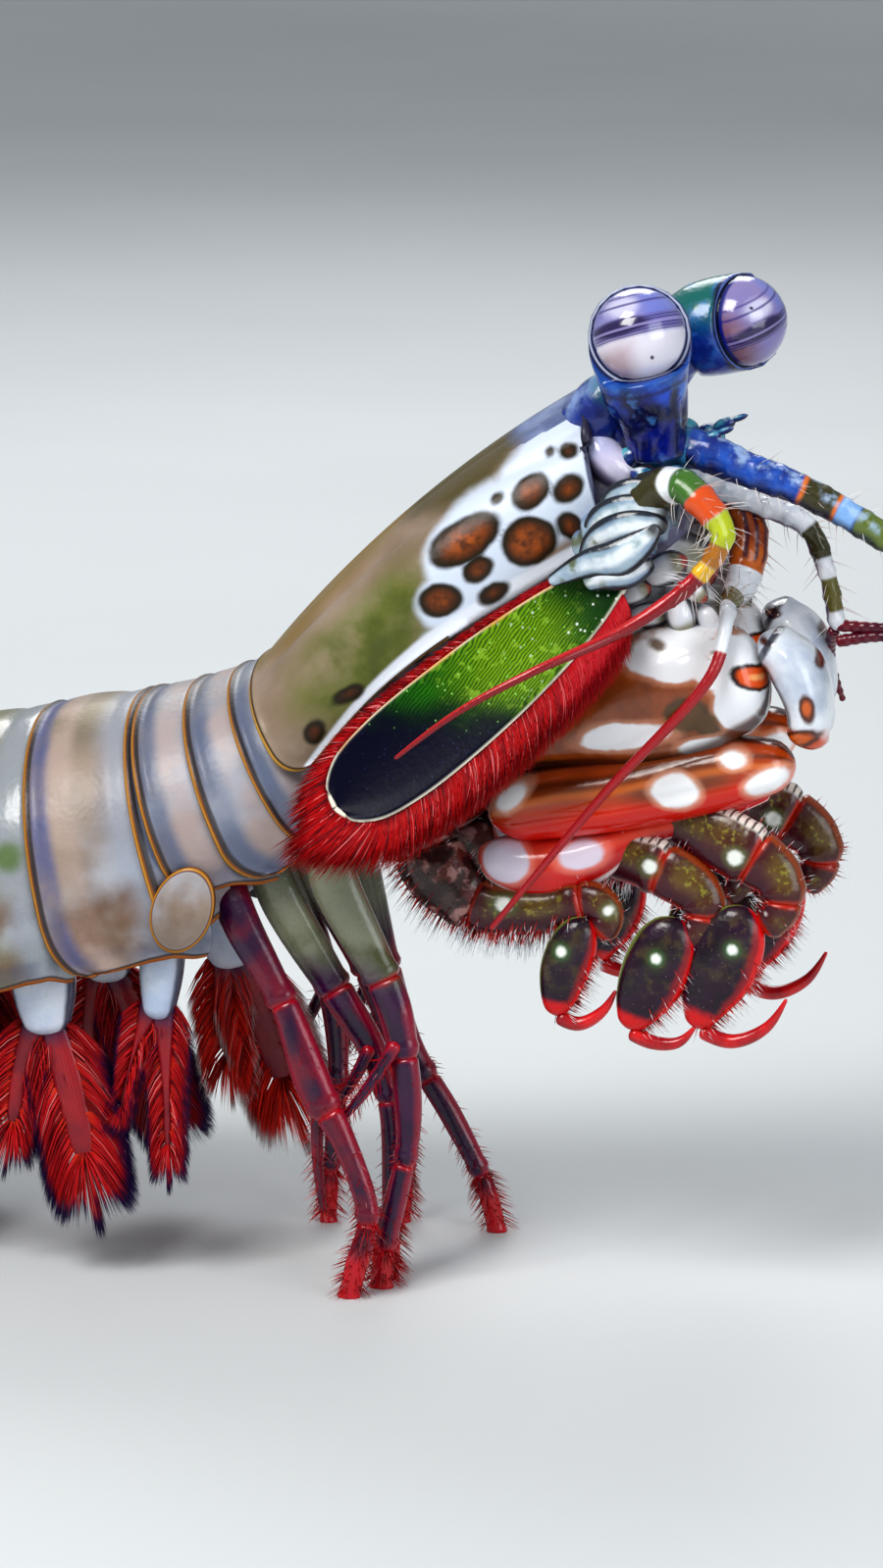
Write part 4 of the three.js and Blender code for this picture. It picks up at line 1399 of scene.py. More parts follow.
@dataclass
class Carapace:
    """The head shield: one arched plate from the neck to the eyes with a rolled rear rim and two soft
    grooves, and the small rostral plate hinged on its front."""

    rows: int = 110
    columns: int = 141
    thickness: float = 0.45
    corner: float = 2.7

    def line(self, share: Array) -> Array:
        """The back's line: x, z, lean, half width and depth at shares of the length from the rear.

        Args:
            share: From 0 at the rear border to 1 at the front.

        Returns:
            Sizes, one row for each share.
        """
        t = np.linspace(0, 1, 7)
        rise = np.radians(50 - 21 * t)
        step = CARAPACE_LENGTH / 6
        x = CARAPACE_REAR[0] + np.concatenate([[0.0], np.cumsum(step * np.cos(rise[:-1]))])
        z = CARAPACE_REAR[1] + np.concatenate([[0.0], np.cumsum(step * np.sin(rise[:-1]))])
        back = on_line(np.stack([x, np.zeros(7), z], -1), share.ravel()).reshape(*share.shape, 3)
        half = np.where(
            share < 0.5, 10.6 - 1.2 * smooth(2 * share), 9.4 - 2.8 * smooth(2 * share - 1)
        )
        depth = 8.4 + 1.8 * smooth(1.55 * (share - 0.25))
        return np.stack([back[..., 0], back[..., 2], 31 - 16 * share, half, depth], -1)

    def build(self) -> list[bpy.types.Object]:
        """Makes the shield and the rostral plate.

        Returns:
            Both objects.
        """
        across = np.linspace(-1, 1, self.columns)[None, :]
        u = np.linspace(0, 1, self.rows)[:, None]
        edge = np.clip((np.abs(across) - 0.74) / 0.26, 0, 1)
        first = self.corner / CARAPACE_LENGTH * (1 - np.sqrt(1 - edge**2))
        last = 0.035 * (1 - np.sqrt(1 - edge**2)) + 0.03 * bell(across, 0, 0.35) - 0.03
        share = first + (1 - first - last) * u
        across = np.broadcast_to(across, share.shape)
        points = arched_surface(self.line(share), across)
        reach = arc_from(points)
        middle = reach[:, self.columns // 2][:, None]
        low = np.minimum(reach, reach[:, -1:] - reach)
        mid = np.abs(reach - middle)
        rim = np.minimum(share * CARAPACE_LENGTH - first * CARAPACE_LENGTH, low)
        normals = -Patch(points).normals()
        normals *= np.sign(normals[:, self.columns // 2, 2].mean())
        groove = -0.30 * bell(mid, 6.6, 0.7) * smooth(share * 6)
        groove = groove - 0.16 * bell(mid, 2.6, 0.5) * smooth(share * 5)
        rolled = 0.22 * bell(rim, 0.25, 0.3) * (share < 0.6) + 0.13 * bell(low, 0.4, 0.4)
        swell = 0.25 * bell(mid, 9.5, 2.2) * smooth(share * 3)
        points = points + normals * (groove + rolled + swell)[..., None]
        ahead = (1 - share) * CARAPACE_LENGTH
        fields = {
            "front": ahead,
            "low": low,
            "rim": np.where(share < 0.55, rim, 5.0),
            "field": np.maximum(
                oval_field(points, WHITE_FIELD), 1.1 - low - 0.1 * np.maximum(ahead - 16, 0),
            ),
            "spots": oval_field(points, LEOPARD_SPOTS),
            "crown": 5.2 * (1 - np.hypot(mid / 7.6, (ahead - 9.6) / 6.0)),
            "flank": oval_field(points, ((-3.4, 45.4, 5.6, 3.1, 46), (-1.0, 49.0, 2.6, 1.8, 46))),
            "crest": 6.0 * (1 - np.hypot(mid / 6.6, (share * CARAPACE_LENGTH - 6.5) / 10.0)),
            "brow": 6.2 - np.hypot(ahead, 0.75 * mid),
        }
        fields["field"] = np.where(mid < 4.6, -1.0, fields["field"])
        thin = self.thickness * (0.45 + 0.55 * smooth(np.minimum(low, share * 30) / 1.5))
        plate = shell(points, thin, fields)
        shield = Piece("carapace_shield", "leopard_shell", LEOPARD, ("carapace",), [plate]).build()
        tip_x, tip_z = self.line(np.array([1.0]))[0, :2]
        rows = (
            (tip_x - 1.4, 0, tip_z - 2.2, 3.8, 0.7),
            (tip_x - 0.2, 0, tip_z - 1.3, 4.0, 0.9),
            (tip_x + 1.0, 0, tip_z - 0.3, 3.2, 0.9),
            (tip_x + 2.3, 0, tip_z + 0.9, 1.6, 0.6),
            (tip_x + 3.1, 0, tip_z + 1.9, 0.4, 0.3),
        )
        rostrum = limb(rows, 28, 16, (0.6, 0.5), power=2.2)
        plate = Piece("rostral_plate", "leopard_shell", BLUE_HEAD, (), [rostrum]).build()
        return [shield, plate]


# how far a ring's rear border lies behind its place in the plan, how much its rear lower corner rounds off,
# and how far its keels lie from the middle of the back
RING_TRIMS = {"thorax_5": -0.6, "thorax_6": -0.75, "thorax_7": 0.8, "thorax_8": -0.2, "abdomen_1": -1.0}
RING_CORNERS = {"thorax_5": 1.0, "thorax_6": 1.9, "thorax_7": 1.1, "thorax_8": 0.6}
KEELS = (0.0, 3.0, 5.8, 8.6)
LOW_KEELS = (7.5, 10.5)


@dataclass
class BodyRings:
    """The overlapping rings of the thorax and abdomen: arched plates whose rolled rear rims cover the next
    ring's front, with keels on the last ones."""

    rows: int = 38
    columns: int = 101
    thickness: float = 0.4
    under: float = 2.4
    corner: float = 2.0

    def keels(self, name: str, mid: Array, share: Array) -> Array:
        """The height in mm of a ring's keels: bell ridges at fixed distances from the middle of the back.

        Args:
            name: The ring's name.
            mid: Distance from the middle in mm.
            share: Share of the ring's length.

        Returns:
            The height at each point.
        """
        if name == "abdomen_6":
            grown = smooth(share * 3) * (0.55 + 0.45 * share)
            return 0.6 * grown * sum(bell(mid, at, 0.42) for at in KEELS)
        if name == "abdomen_5":
            return 0.28 * smooth(share * 2) * sum(bell(mid, at, 0.5) for at in LOW_KEELS)
        return 0 * mid

    def plate(self, ring: Ring, covered: float) -> Patch:
        """One ring's plate.

        Args:
            ring: The ring.
            covered: How far behind its own front, in mm, the ring before reaches over it.

        Returns:
            Its closed patch with fields front, rear, low, top, patch and eyespot.
        """
        across = np.linspace(-1, 1, self.columns)[None, :]
        u = np.linspace(0, 1, self.rows)[:, None]
        edge = np.clip((np.abs(across) - 0.8) / 0.2, 0, 1)
        corner = RING_CORNERS.get(ring.name, self.corner)
        round_off = corner * (1 - np.sqrt(1 - edge**2)) / ring.length
        hidden = (self.under - max(covered, -1.0)) / ring.length
        rear_end = 1 + (0.3 + RING_TRIMS.get(ring.name, 0.0)) / ring.length
        share = -hidden + round_off * 0.5 + (rear_end + hidden - 1.5 * round_off) * u
        across = np.broadcast_to(across, share.shape)
        sizes = ring.sizes(share)
        sink = smooth((covered + 0.5 - share * ring.length) / 1.5)
        sizes[..., 3] -= 0.75 * sink
        sizes[..., 4] -= 0.2 * sink
        tilt = np.radians(sizes[..., 2])
        sizes[..., 0] += 0.75 * sink * np.sin(tilt)
        sizes[..., 1] -= 0.75 * sink * np.cos(tilt)
        points = arched_surface(sizes, across)
        reach = arc_from(points)
        low = np.minimum(reach, reach[:, -1:] - reach)
        mid = np.abs(reach - reach[:, self.columns // 2][:, None])
        front = share * ring.length
        rear = (rear_end - share) * ring.length - round_off * ring.length
        normals = -Patch(points).normals()
        normals *= np.sign(normals[:, self.columns // 2, 2].mean())
        lift = 0.12 * bell(rear, 0.22, 0.24) - 0.12 * bell(rear, 0.75, 0.3) + 0.1 * bell(low, 0.3, 0.3)
        lift = lift + self.keels(ring.name, mid, share)
        if ring.length > 5:
            lift = lift - 0.1 * bell(front, 1.4, 0.5) + 0.22 * bell(front, 4.0, 2.0)
            lift = lift - 0.14 * bell(low, 4.6, 0.8)
        points = points + normals * lift[..., None]
        fields = {
            "front": front,
            "rear": rear,
            "low": low,
            "top": 1.4 - mid / 8,
            "patch": np.minimum(2.6 - np.abs(low - 3.4), 2.6 - np.abs(front - 0.45 * ring.length)),
            "eyespot": oval_field(points, ((-28.4, 30.4, 1.1, 0.95, 0), (-37.5, 26.5, 1.0, 0.9, 0))),
        }
        thin = self.thickness * (0.5 + 0.5 * smooth(np.minimum(low, np.maximum(rear, 0)) / 1.2))
        return shell(points, thin, fields)

    def lappet(self, side: Side) -> Patch:
        """The oval side plate of the last thoracic ring: a low dome over an oval, rim = 1 - radius.

        Args:
            side: The animal's side.

        Returns:
            The plate's patch.
        """
        ring = PLAN["thorax_8"]
        radius = np.linspace(1, 0, 14)[:, None]
        turn = np.linspace(0, 2 * math.pi, 48, endpoint=False)[None, :]
        half_long, half_tall = 2.25, 3.1
        out, down = half_long * radius * np.cos(turn), half_tall * radius * np.sin(turn)
        x0, _, z0 = ring.place(0.3, 0, 14.1)
        x = x0 + out + 0.2 * down
        z = z0 + down
        y = side.value * (11.35 + 0.5 * (1 - radius**2) + 0.06 * np.minimum(down, 0) + 0 * turn)
        outer = np.stack([x, y, z], -1)
        inner = outer - np.array([0, side.value * 0.4, 0])
        points = np.concatenate([inner[::-1], outer])
        edge = np.concatenate([(1 - radius)[::-1], 1 - radius]) * 2.6 + 0 * np.cos(turn)
        far = 5.0 + 0 * edge
        fields = {
            "rear": np.where(edge < 0.4, edge, 5.0),
            "low": far,
            "front": far,
            "patch": edge - 0.6,
            "top": 0 * far,
        }
        return Patch(points, fields)

    def build(self) -> list[bpy.types.Object]:
        """Makes every ring.

        Returns:
            The objects from front to rear.
        """
        made, covered = [], 0.0
        for name, ring in PLAN.items():
            patches = [self.plate(ring, covered)]
            covered = RING_TRIMS.get(name, 0.0)
            if name == "thorax_8":
                patches += [self.lappet(side) for side in Side]
            finish = ABDOMEN if name == "abdomen_1" else REAR_ABDOMEN
            if name.startswith("thorax"):
                finish = THORAX
            made.append(Piece(f"{name}_ring", "body_shell", finish, (name,), patches).build())
        return made


@dataclass
class Trunk:
    """The soft body inside the plates, from the head to the tail, as one skin."""

    head: Rows = (
        (17.0, 0, 58.0, 3.0, 2.6),
        (15.4, 0, 57.2, 4.4, 4.2),
        (11.4, 0, 54.2, 5.7, 5.6),
        (5.2, 0, 48.8, 6.8, 6.6),
        (-1.5, 0, 42.8, 7.4, 6.8),
        (-7.0, 0, 38.2, 7.8, 6.0),
    )
    narrow: float = 0.84
    filled: float = 0.47
    fold_rate: float = 2.2

    def build(self) -> bpy.types.Object:
        """Makes the skin: ovals along the body's middle with a fold at each ring.

        Returns:
            The object.
        """
        rows = list(self.head)
        for ring in PLAN.values():
            x, _, z = ring.place(0.5, 0, 0.53 * float(ring.sizes(0.5)[4]))
            _, _, _, half, depth = ring.sizes(0.5)
            rows.append([x, 0, z, self.narrow * half, self.filled * depth])

        def folds(share: Array, along: Array, turn: Array) -> Array:
            """Low folds across the underside."""
            return 0.16 * np.cos(along * self.fold_rate) * (np.sin(turn) < 0)

        skin = limb(rows, 60, 150, (2.0, 2.0), power=2.5, swell=folds)
        skin.fields["front"] = skin.fields["along"]
        # The field fold is 1 in the troughs of the folds, where the flesh finish paints shade.
        skin.fields["fold"] = 0.5 - 0.5 * np.cos(skin.fields["along"] * self.fold_rate)
        return Piece("body_skin", "underside", FLESH, ("head", "trunk_underside"), [skin]).build()


@dataclass
class TailFan:
    """The telson with its keels and teeth, and the swimming blades of the tail on both sides."""

    fall: float = 40.0
    length: float = 22.0
    half: float = 10.8
    outline: Rows = (
        (0, 0.86, 2.4), (0.25, 1.0, 2.3), (0.55, 0.94, 1.8), (0.85, 0.62, 1.0), (1.0, 0.3, 0.5),
    )
    teeth: Rows = ((0.62, 0.86, 3.4), (0.8, 0.6, 3.4), (0.9, 0.28, 3.2))
    keel_places: tuple[float, ...] = (0.0, 0.2, 0.4, 0.62)
    bristles: int = 520

    def frame(self) -> tuple[Array, Array, Array]:
        """How the telson lies.

        Returns:
            Its start, its direction to the rear and its upward direction.
        """
        tilt = math.radians(self.fall)
        back = np.array([-math.cos(tilt), 0.0, -math.sin(tilt)])
        up = np.array([-math.sin(tilt), 0.0, math.cos(tilt)])
        x, z = PLAN["abdomen_6"].rear[:2]
        return np.array([x, 0, z]) - up * 2.6 + back * 0.3, back, up

    def telson(self) -> list[Patch]:
        """The telson's plate with its ridges, the middle keel, and the teeth on its border.

        Returns:
            The patches.
        """
        start, back, up = self.frame()
        rows = np.array(
            [
                [*(start + back * share * self.length), wide * self.half, deep]
                for share, wide, deep in self.outline
            ]
        )

        def ridges(share: Array, along: Array, turn: Array) -> Array:
            """Ridges on top at fixed shares of the width."""
            out = np.cos(turn)
            above = np.maximum(np.sin(turn), 0) ** 0.5
            tall = sum(bell(np.abs(out), at, 0.045) for at in self.keel_places)
            return 0.75 * above * tall * smooth(share * 8) * smooth((1 - share) * 5)

        plate = limb(rows, 128, 60, (0.6, 0.8), power=2.3, swell=ridges)
        out = np.abs(plate.points[..., 1])
        plate.fields["mid"] = out
        plate.fields["rim"] = np.minimum((1 - np.abs(plate.fields["side"]) ** 2) * 4, plate.fields["back"])
        plate.fields["carina"] = plate.fields["top"] * 6 - 5.4 - (out > 1.2) * 9
        keel_rows = [
            [*(start + back * s * self.length + up * v), w, d]
            for s, v, w, d in ((0.03, 2.1, 1.2, 0.9), (0.4, 1.9, 1.1, 0.9), (0.8, 1.0, 0.5, 0.5))
        ]
        keel = limb(keel_rows, 20, 30, (1.2, 1.2))
        keel.fields.update(
            {
                "mid": 9 + 0 * keel.fields["top"],
                "rim": 9 + 0 * keel.fields["top"],
                "carina": 2 + 0 * keel.fields["top"],
            }
        )
        patches = [plate, keel]
        for share, out, reach in self.teeth:
            for hand in (-1, 1):
                root = start + back * (share * self.length - 1.0) + LEFTWARD * hand * out * self.half * 0.92
                tip = root + back * (reach + 1.0) + LEFTWARD * hand * 0.6
                middle = (root + tip) / 2 + LEFTWARD * hand * 0.25
                tooth = limb(
                    [[*root, 1.5, 0.9], [*middle, 0.95, 0.7], [*tip, 0.18, 0.18]], 16, 12, (0.6, 0.2),
                )
                tooth.fields.update(
                    {"rim": 1.4 - 1.4 * tooth.fields["share"], "mid": 9 + 0 * tooth.fields["top"]}
                )
                tooth.fields["tip"] = tooth.fields["share"]
                patches.append(tooth)
        return patches

    def uropod(self, side: Side) -> list[Patch]:
        """One side's blades: the stem, the outer blade, the inner blade and the long spine.

        Args:
            side: The animal's side.

        Returns:
            The patches.
        """
        stem = ((-63.6, 7, 12.2, 2, 1.6), (-68, 10.2, 9.4, 2.2, 1.6), (-70.6, 11.8, 8, 1.8, 1.2))
        outer = (
            (-69.6, 12.6, 8.4, 1.8, 0.9),
            (-74, 15, 6.2, 2.6, 0.8),
            (-78.6, 17.4, 3.8, 3.2, 0.6),
            (-83.6, 19.6, 1.7, 2.9, 0.45),
            (-87.4, 21, 0.5, 1.2, 0.3),
        )
        inner = (
            (-70, 11, 7.4, 1.2, 0.8), (-75, 12.2, 4.8, 2.4, 0.6), (-80.4, 13.2, 2, 2.6, 0.5),
            (-84.6, 13.6, 0.5, 1.1, 0.3),
        )
        spine = ((-70, 9.6, 7.2, 1, 0.7), (-75.4, 9.4, 3.8, 0.7, 0.6), (-78.6, 9, 2.2, 0.25, 0.25))
        patches = []
        for rows, caps in (
            (stem, (1.4, 1.2)), (outer, (1.2, 1.6)), (inner, (1.0, 1.5)), (spine, (0.8, 0.3)),
        ):
            made = limb(rows, 36, 46, caps, hand=side.value, power=2.2)
            made.fields["rim"] = (1 - np.abs(made.fields["side"])) * 6 + 0.2
            made.fields["mid"] = 5 * made.fields["share"]
            patches.append(made)
        return patches

    def build(self) -> list[bpy.types.Object]:
        """Makes the telson and both uropods with their fringes.

        Returns:
            The objects.
        """
        made = [Piece("telson_plate", "tail_shell", TAIL, ("telson",), self.telson()).build()]
        for side in Side:
            patches = self.uropod(side)
            name = f"uropod_{side.word}"
            made.append(Piece(f"{name}_blades", "tail_shell", TAIL, (name,), patches).build())
            fringe = Setae(f"{name}_fringe", RED_FRINGE, "tail_shell")
            for k, blade in enumerate(patches[1:3]):
                count = self.bristles
                rng = np.random.default_rng(60 + k)
                share = np.sqrt(rng.uniform(0.04, 1.0, count))
                column = np.where(rng.random(count) < 0.5, 0, blade.points.shape[1] // 2)
                row = (share * (len(blade.points) - 1)).astype(int)
                roots = blade.points[row, column]
                middle = blade.points[row].mean(1)
                aside = unit(roots - middle)
                along = unit(blade.points[-1, 0] - blade.points[0, 0])
                way = unit(aside + along * (0.7 + share[:, None])) * rng.uniform(1.5, 2.5, count)[:, None]
                bend = np.tile([0.0, 0.0, -0.35], (count, 1))
                way[:, 2] = np.maximum(way[:, 2], 0.35 - roots[:, 2])
                bend[:, 2] = np.maximum(bend[:, 2], 0.1 - roots[:, 2] - way[:, 2])
                fringe.add(
                    roots,
                    way,
                    bend,
                    0.06,
                    0.3 + 0.7 * share,
                    np.stack([share, 0.25 + 0.5 * (column > 0)], -1),
                )
            made.append(fringe.build())
        return made


# the head

EYE_RADIUS = 3.25


@dataclass
class Eye:
    """A stalked eye: a slightly flattened globe on the stalk's cup, crossed by a grooved band."""

    side: Side
    centre: tuple[float, float, float]
    axis: tuple[float, float, float]
    band_up: tuple[float, float, float]
    band_offset: float
    pupils: Rows
    stalk: Rows
    finish: Finish

    def ways(self) -> tuple[Array, Array, Array]:
        """How the eye lies.

        Returns:
            Its centre, its looking direction and the normal of its band's plane.
        """
        axis = unit(np.array(self.axis))
        up = np.array(self.band_up)
        return np.array(self.centre), axis, unit(up - axis * (up @ axis))

    def globe(self) -> Patch:
        """The globe: points at the eye's radius from the centre by polar angle from the looking direction,
        with a shallow groove along both edges of the band.

        Returns:
            The patch, whose fields are in mm across the eye as it looks at one.
        """
        centre, axis, up = self.ways()
        side = np.cross(up, axis)
        polar = np.linspace(0, math.pi, 90)[:, None]
        turn = np.linspace(0, 2 * math.pi, 120, endpoint=False)[None, :]
        way = (
            axis * np.cos(polar)[..., None]
            + side * (np.sin(polar) * np.cos(turn))[..., None]
            + up * (np.sin(polar) * np.sin(turn))[..., None]
        )
        height, right, ahead = way @ up * EYE_RADIUS, way @ side * EYE_RADIUS, way @ axis * EYE_RADIUS
        band = height - self.band_offset
        radius = EYE_RADIUS * (1 - 0.02 * smooth(ahead / EYE_RADIUS - 0.3))
        radius = radius - 0.035 * bell(np.abs(band), 0.72, 0.09) + 0.02 * bell(band, 0, 0.4)
        points = centre + way * radius[..., None]
        pupil = np.full(band.shape, -9.0)
        for x, y, size in self.pupils:
            pupil = np.maximum(pupil, size - np.hypot(right - x, height - y))
        fields = {
            "band": band,
            "core": 1.55 - np.hypot((right + 1.2) * 0.8, band * 2.6 - 0.4),
            "low_left": np.minimum(-0.8 * right - 0.5, -band - 1.0) - 0.3 * np.abs(right + 1.6),
            "left": -right - 2.1 - 0.2 * band,
            "right": np.minimum(right - 0.6, band + 0.5),
            "brow": 1.1 - np.hypot(right + 0.8, (band - 1.5) * 1.6),
            "pupil": pupil,
            "edge": EYE_RADIUS * (1.42 - np.arccos(np.clip(way @ axis, -1, 1))),
        }
        return Patch(points, fields)

    def stem(self) -> Patch:
        """The stalk and its cup: a limb that ends in a dome round the globe, cut off flat where the cornea
        stands out of it, with the cut running down the front of the stalk.

        Returns:
            The patch; its field rim is the distance from the cornea's border.
        """
        centre, axis, up = self.ways()

        def folds(share: Array, along: Array, turn: Array) -> Array:
            """Lengthwise folds low on the stalk and a soft bulge under the cup."""
            crumple = np.abs(np.sin(2.5 * turn + 5 * share)) ** 0.6
            crumple = crumple + 0.5 * np.abs(np.sin(4 * turn - 9 * share)) ** 0.7
            return 0.34 * (crumple - 0.8) * (1 - smooth((share - 0.3) * 4)) + 0.1 * bell(share, 0.62, 0.1)

        made = limb(self.stalk, 60, 60, (0.6, 3.2), swell=folds, hand=self.side.value)
        away = made.points - centre
        ahead = away @ axis
        under = np.maximum(-(away @ up) - 2.7, 0)
        cut = 0.5 + 1.9 * under
        made.points = made.points - axis * (np.maximum(ahead - cut, 0))[..., None]
        gap = np.linalg.norm(made.points - centre, axis=-1) - EYE_RADIUS
        made.fields["rim"] = np.maximum(gap, cut - ahead)
        made.fields["top"] = (made.points - centre) @ np.array([0, 0, 1]) / 3.4 + 0.2
        return made

    def build(self) -> list[bpy.types.Object]:
        """Makes the globe and the stalk.

        Returns:
            Both objects.
        """
        name = self.side.word
        eye = Piece(
            f"cornea_{name}", "eye", cornea_finish(self.side), (f"eye_{name}",), [self.globe()],
        ).build()
        stalk = Piece(
            f"stalk_{name}", "blue_flesh", self.finish, (f"eye_stalk_{name}",), [self.stem()],
        ).build()
        return [eye, stalk]


RIGHT_EYE = Eye(
    Side.RIGHT,
    (14.8, -5.0, 67.4),
    (0.18, -0.93, 0.24),
    (-0.25, 0.0, 1.0),
    0.42,
    ((-0.6, 1.3, 0.11), (0.4, -1.95, 0.13)),
    (
        (15.6, 3.0, 59.0, 2.3), (15.5, 3.9, 61.6, 2.35), (15.1, 4.7, 64.0, 2.95), (14.9, 5.0, 66.4, 3.42),
        (14.8, 5.0, 70.9, 3.4),
    ),
    STALK,
)
LEFT_EYE = Eye(
    Side.LEFT,
    (20.0, 6.0, 67.0),
    (0.85, -0.5, 0.16),
    (-0.42, -0.2, 1.0),
    -0.3,
    ((-1.3, 1.5, 0.12),),
    (
        (14.6, 2.2, 59.4, 1.8), (14.2, 4.0, 62.4, 1.9), (15.2, 5.2, 65.2, 2.6), (17.2, 5.7, 66.3, 3.2),
        (20.0, 6.0, 67.0, 3.42), (23.3, 6.1, 67.5, 3.4),
    ),
    TEAL_STALK,
)


def setae_on(
    patch: Patch, rng: np.random.Generator, count: int, keep: Callable[[Patch], Array],
) -> tuple[Array, ...]:
    """Random roots on a limb's surface.

    Args:
        patch: The limb.
        rng: The random numbers.
        count: How many roots.
        keep: From the patch to each point's weight.

    Returns:
        Roots, outward directions, directions along the limb and places on the unwrap.
    """
    weight = np.broadcast_to(keep(patch), patch.points.shape[:2]).clip(0).ravel()
    pick = rng.choice(weight.size, count, p=weight / weight.sum())
    middle = patch.points.mean(1, keepdims=True)
    out = unit(patch.points - middle).reshape(-1, 3)[pick]
    along = unit(np.gradient(middle[:, 0], axis=0))[pick // patch.points.shape[1]]
    place = np.stack(
        [patch.fields["share"].ravel()[pick], (pick % patch.points.shape[1]) / patch.points.shape[1]], -1,
    )
    return patch.points.reshape(-1, 3)[pick], out, along, place


def between_shares(low: float, high: float) -> Callable[[Patch], Array]:
    """A weight that is 1 between two shares of a limb's length.

    Args:
        low: The lower share.
        high: The upper share.

    Returns:
        From a patch to each point's weight.
    """

    def weigh(patch: Patch) -> Array:
        """The weight."""
        return ((patch.fields["share"] > low) & (patch.fields["share"] < high)).astype(float)

    return weigh


def underneath(patch: Patch) -> Array:
    """A weight that grows towards a limb's underside."""
    return np.maximum(-patch.fields["top"], 0) ** 2


def above_and_below(patch: Patch) -> Array:
    """A weight that is high on a limb's back and underside."""
    return np.abs(patch.fields["top"]) ** 4


def palm_front(patch: Patch) -> Array:
    """A weight that is high on the front border of a palm, beyond its joint."""
    return np.maximum(patch.fields["side2"], 0) ** 4 * (patch.fields["share"] > 0.3)


def off_the_floor(patch: Patch) -> Array:
    """A weight of 1 where a foot is clear of the floor."""
    return (patch.fields["high"] > 0.5) * 1.0


def towards_end(patch: Patch) -> Array:
    """A weight that grows with the share of the length."""
    return patch.fields["share"] + 0.0


def towards_end_sharply(patch: Patch) -> Array:
    """A weight that grows with the square of the share of the length."""
    return patch.fields["share"] ** 2


def lobe_border(patch: Patch) -> Array:
    """A weight that is high on the border and at the end of a swimming leg's lobe."""
    share = patch.fields["share"]
    return np.abs(patch.fields["top"]) ** 12 * (0.25 + share) + 0.5 * (share > 0.94)


def fringe_finish(
    name: str, root: Colour, middle: Colour, tip: Colour, tip_from: float, zone: Colour,
) -> Finish:
    """The finish of a fringe: colours along each bristle, another near the plate's start, and streaks.

    Args:
        name: The finish's name.
        root: Colour at the root.
        middle: Colour of the middle.
        tip: Colour of the tip.
        tip_from: Where the tip's colour starts.
        zone: Colour where the field zone is low.

    Returns:
        The finish.
    """
    layers = (
        Layer(middle, "tip", 0.12, 9.0, 0.15),
        Layer(MAROON, "shade", 0.72, 9.0, 0.08, strength=0.75),
        Layer(rgb(240, 150, 150), "shade", -1.0, 0.07, 0.02, strength=0.6),
        Layer(zone, "zone", -1.0, 0.28, 0.08, strength=0.75),
        Layer(tip, "tip", tip_from, 9.0, 0.08),
    )
    return Finish(name, root, middle, 700.0, layers, 0.5, 0.0, 0.0, shine=0.18)


RED_FRINGE = fringe_finish(
    "red fringe", rgb(110, 2, 14), rgb(180, 4, 12), rgb(210, 30, 28), 0.9, rgb(190, 24, 40),
)
WHITE_TIPPED = fringe_finish(
    "white tipped bristles", CRIMSON, rgb(214, 70, 64), WHITE, 0.45, rgb(220, 180, 180),
)
PURPLE_TIPPED = fringe_finish(
    "purple tipped fringe", rgb(226, 70, 44), rgb(196, 26, 34), rgb(40, 20, 84), 0.78, CRIMSON,
)
FLAME_FAN = fringe_finish(
    "white tipped fan", rgb(214, 40, 26), rgb(238, 50, 34), rgb(240, 220, 220), 0.84, rgb(220, 40, 30),
)
PALE_SETAE = Finish("pale setae", WHITE, rgb(226, 196, 190), 500.0, (), 0.5, 0.0, 0.0, shine=0.2)


def banded(
    name: str,
    base: Colour,
    tint: Colour,
    *bands: tuple[float, float, Colour],
    more: tuple[Layer, ...] = (),
) -> Finish:
    """A finish with bands of colour along a limb.

    Args:
        name: The finish's name.
        base: The main colour.
        tint: Its blotches.
        *bands: Where each band starts and ends along the limb in mm, and its colour.
        more: Layers over the bands.

    Returns:
        The finish.
    """
    layers = tuple(Layer(colour, "along", low, high, 0.14, 0.3, 600.0) for low, high, colour in bands)
    return Finish(name, base, tint, 520.0, layers + more, 0.26, 0.5, 0.05, 900.0)


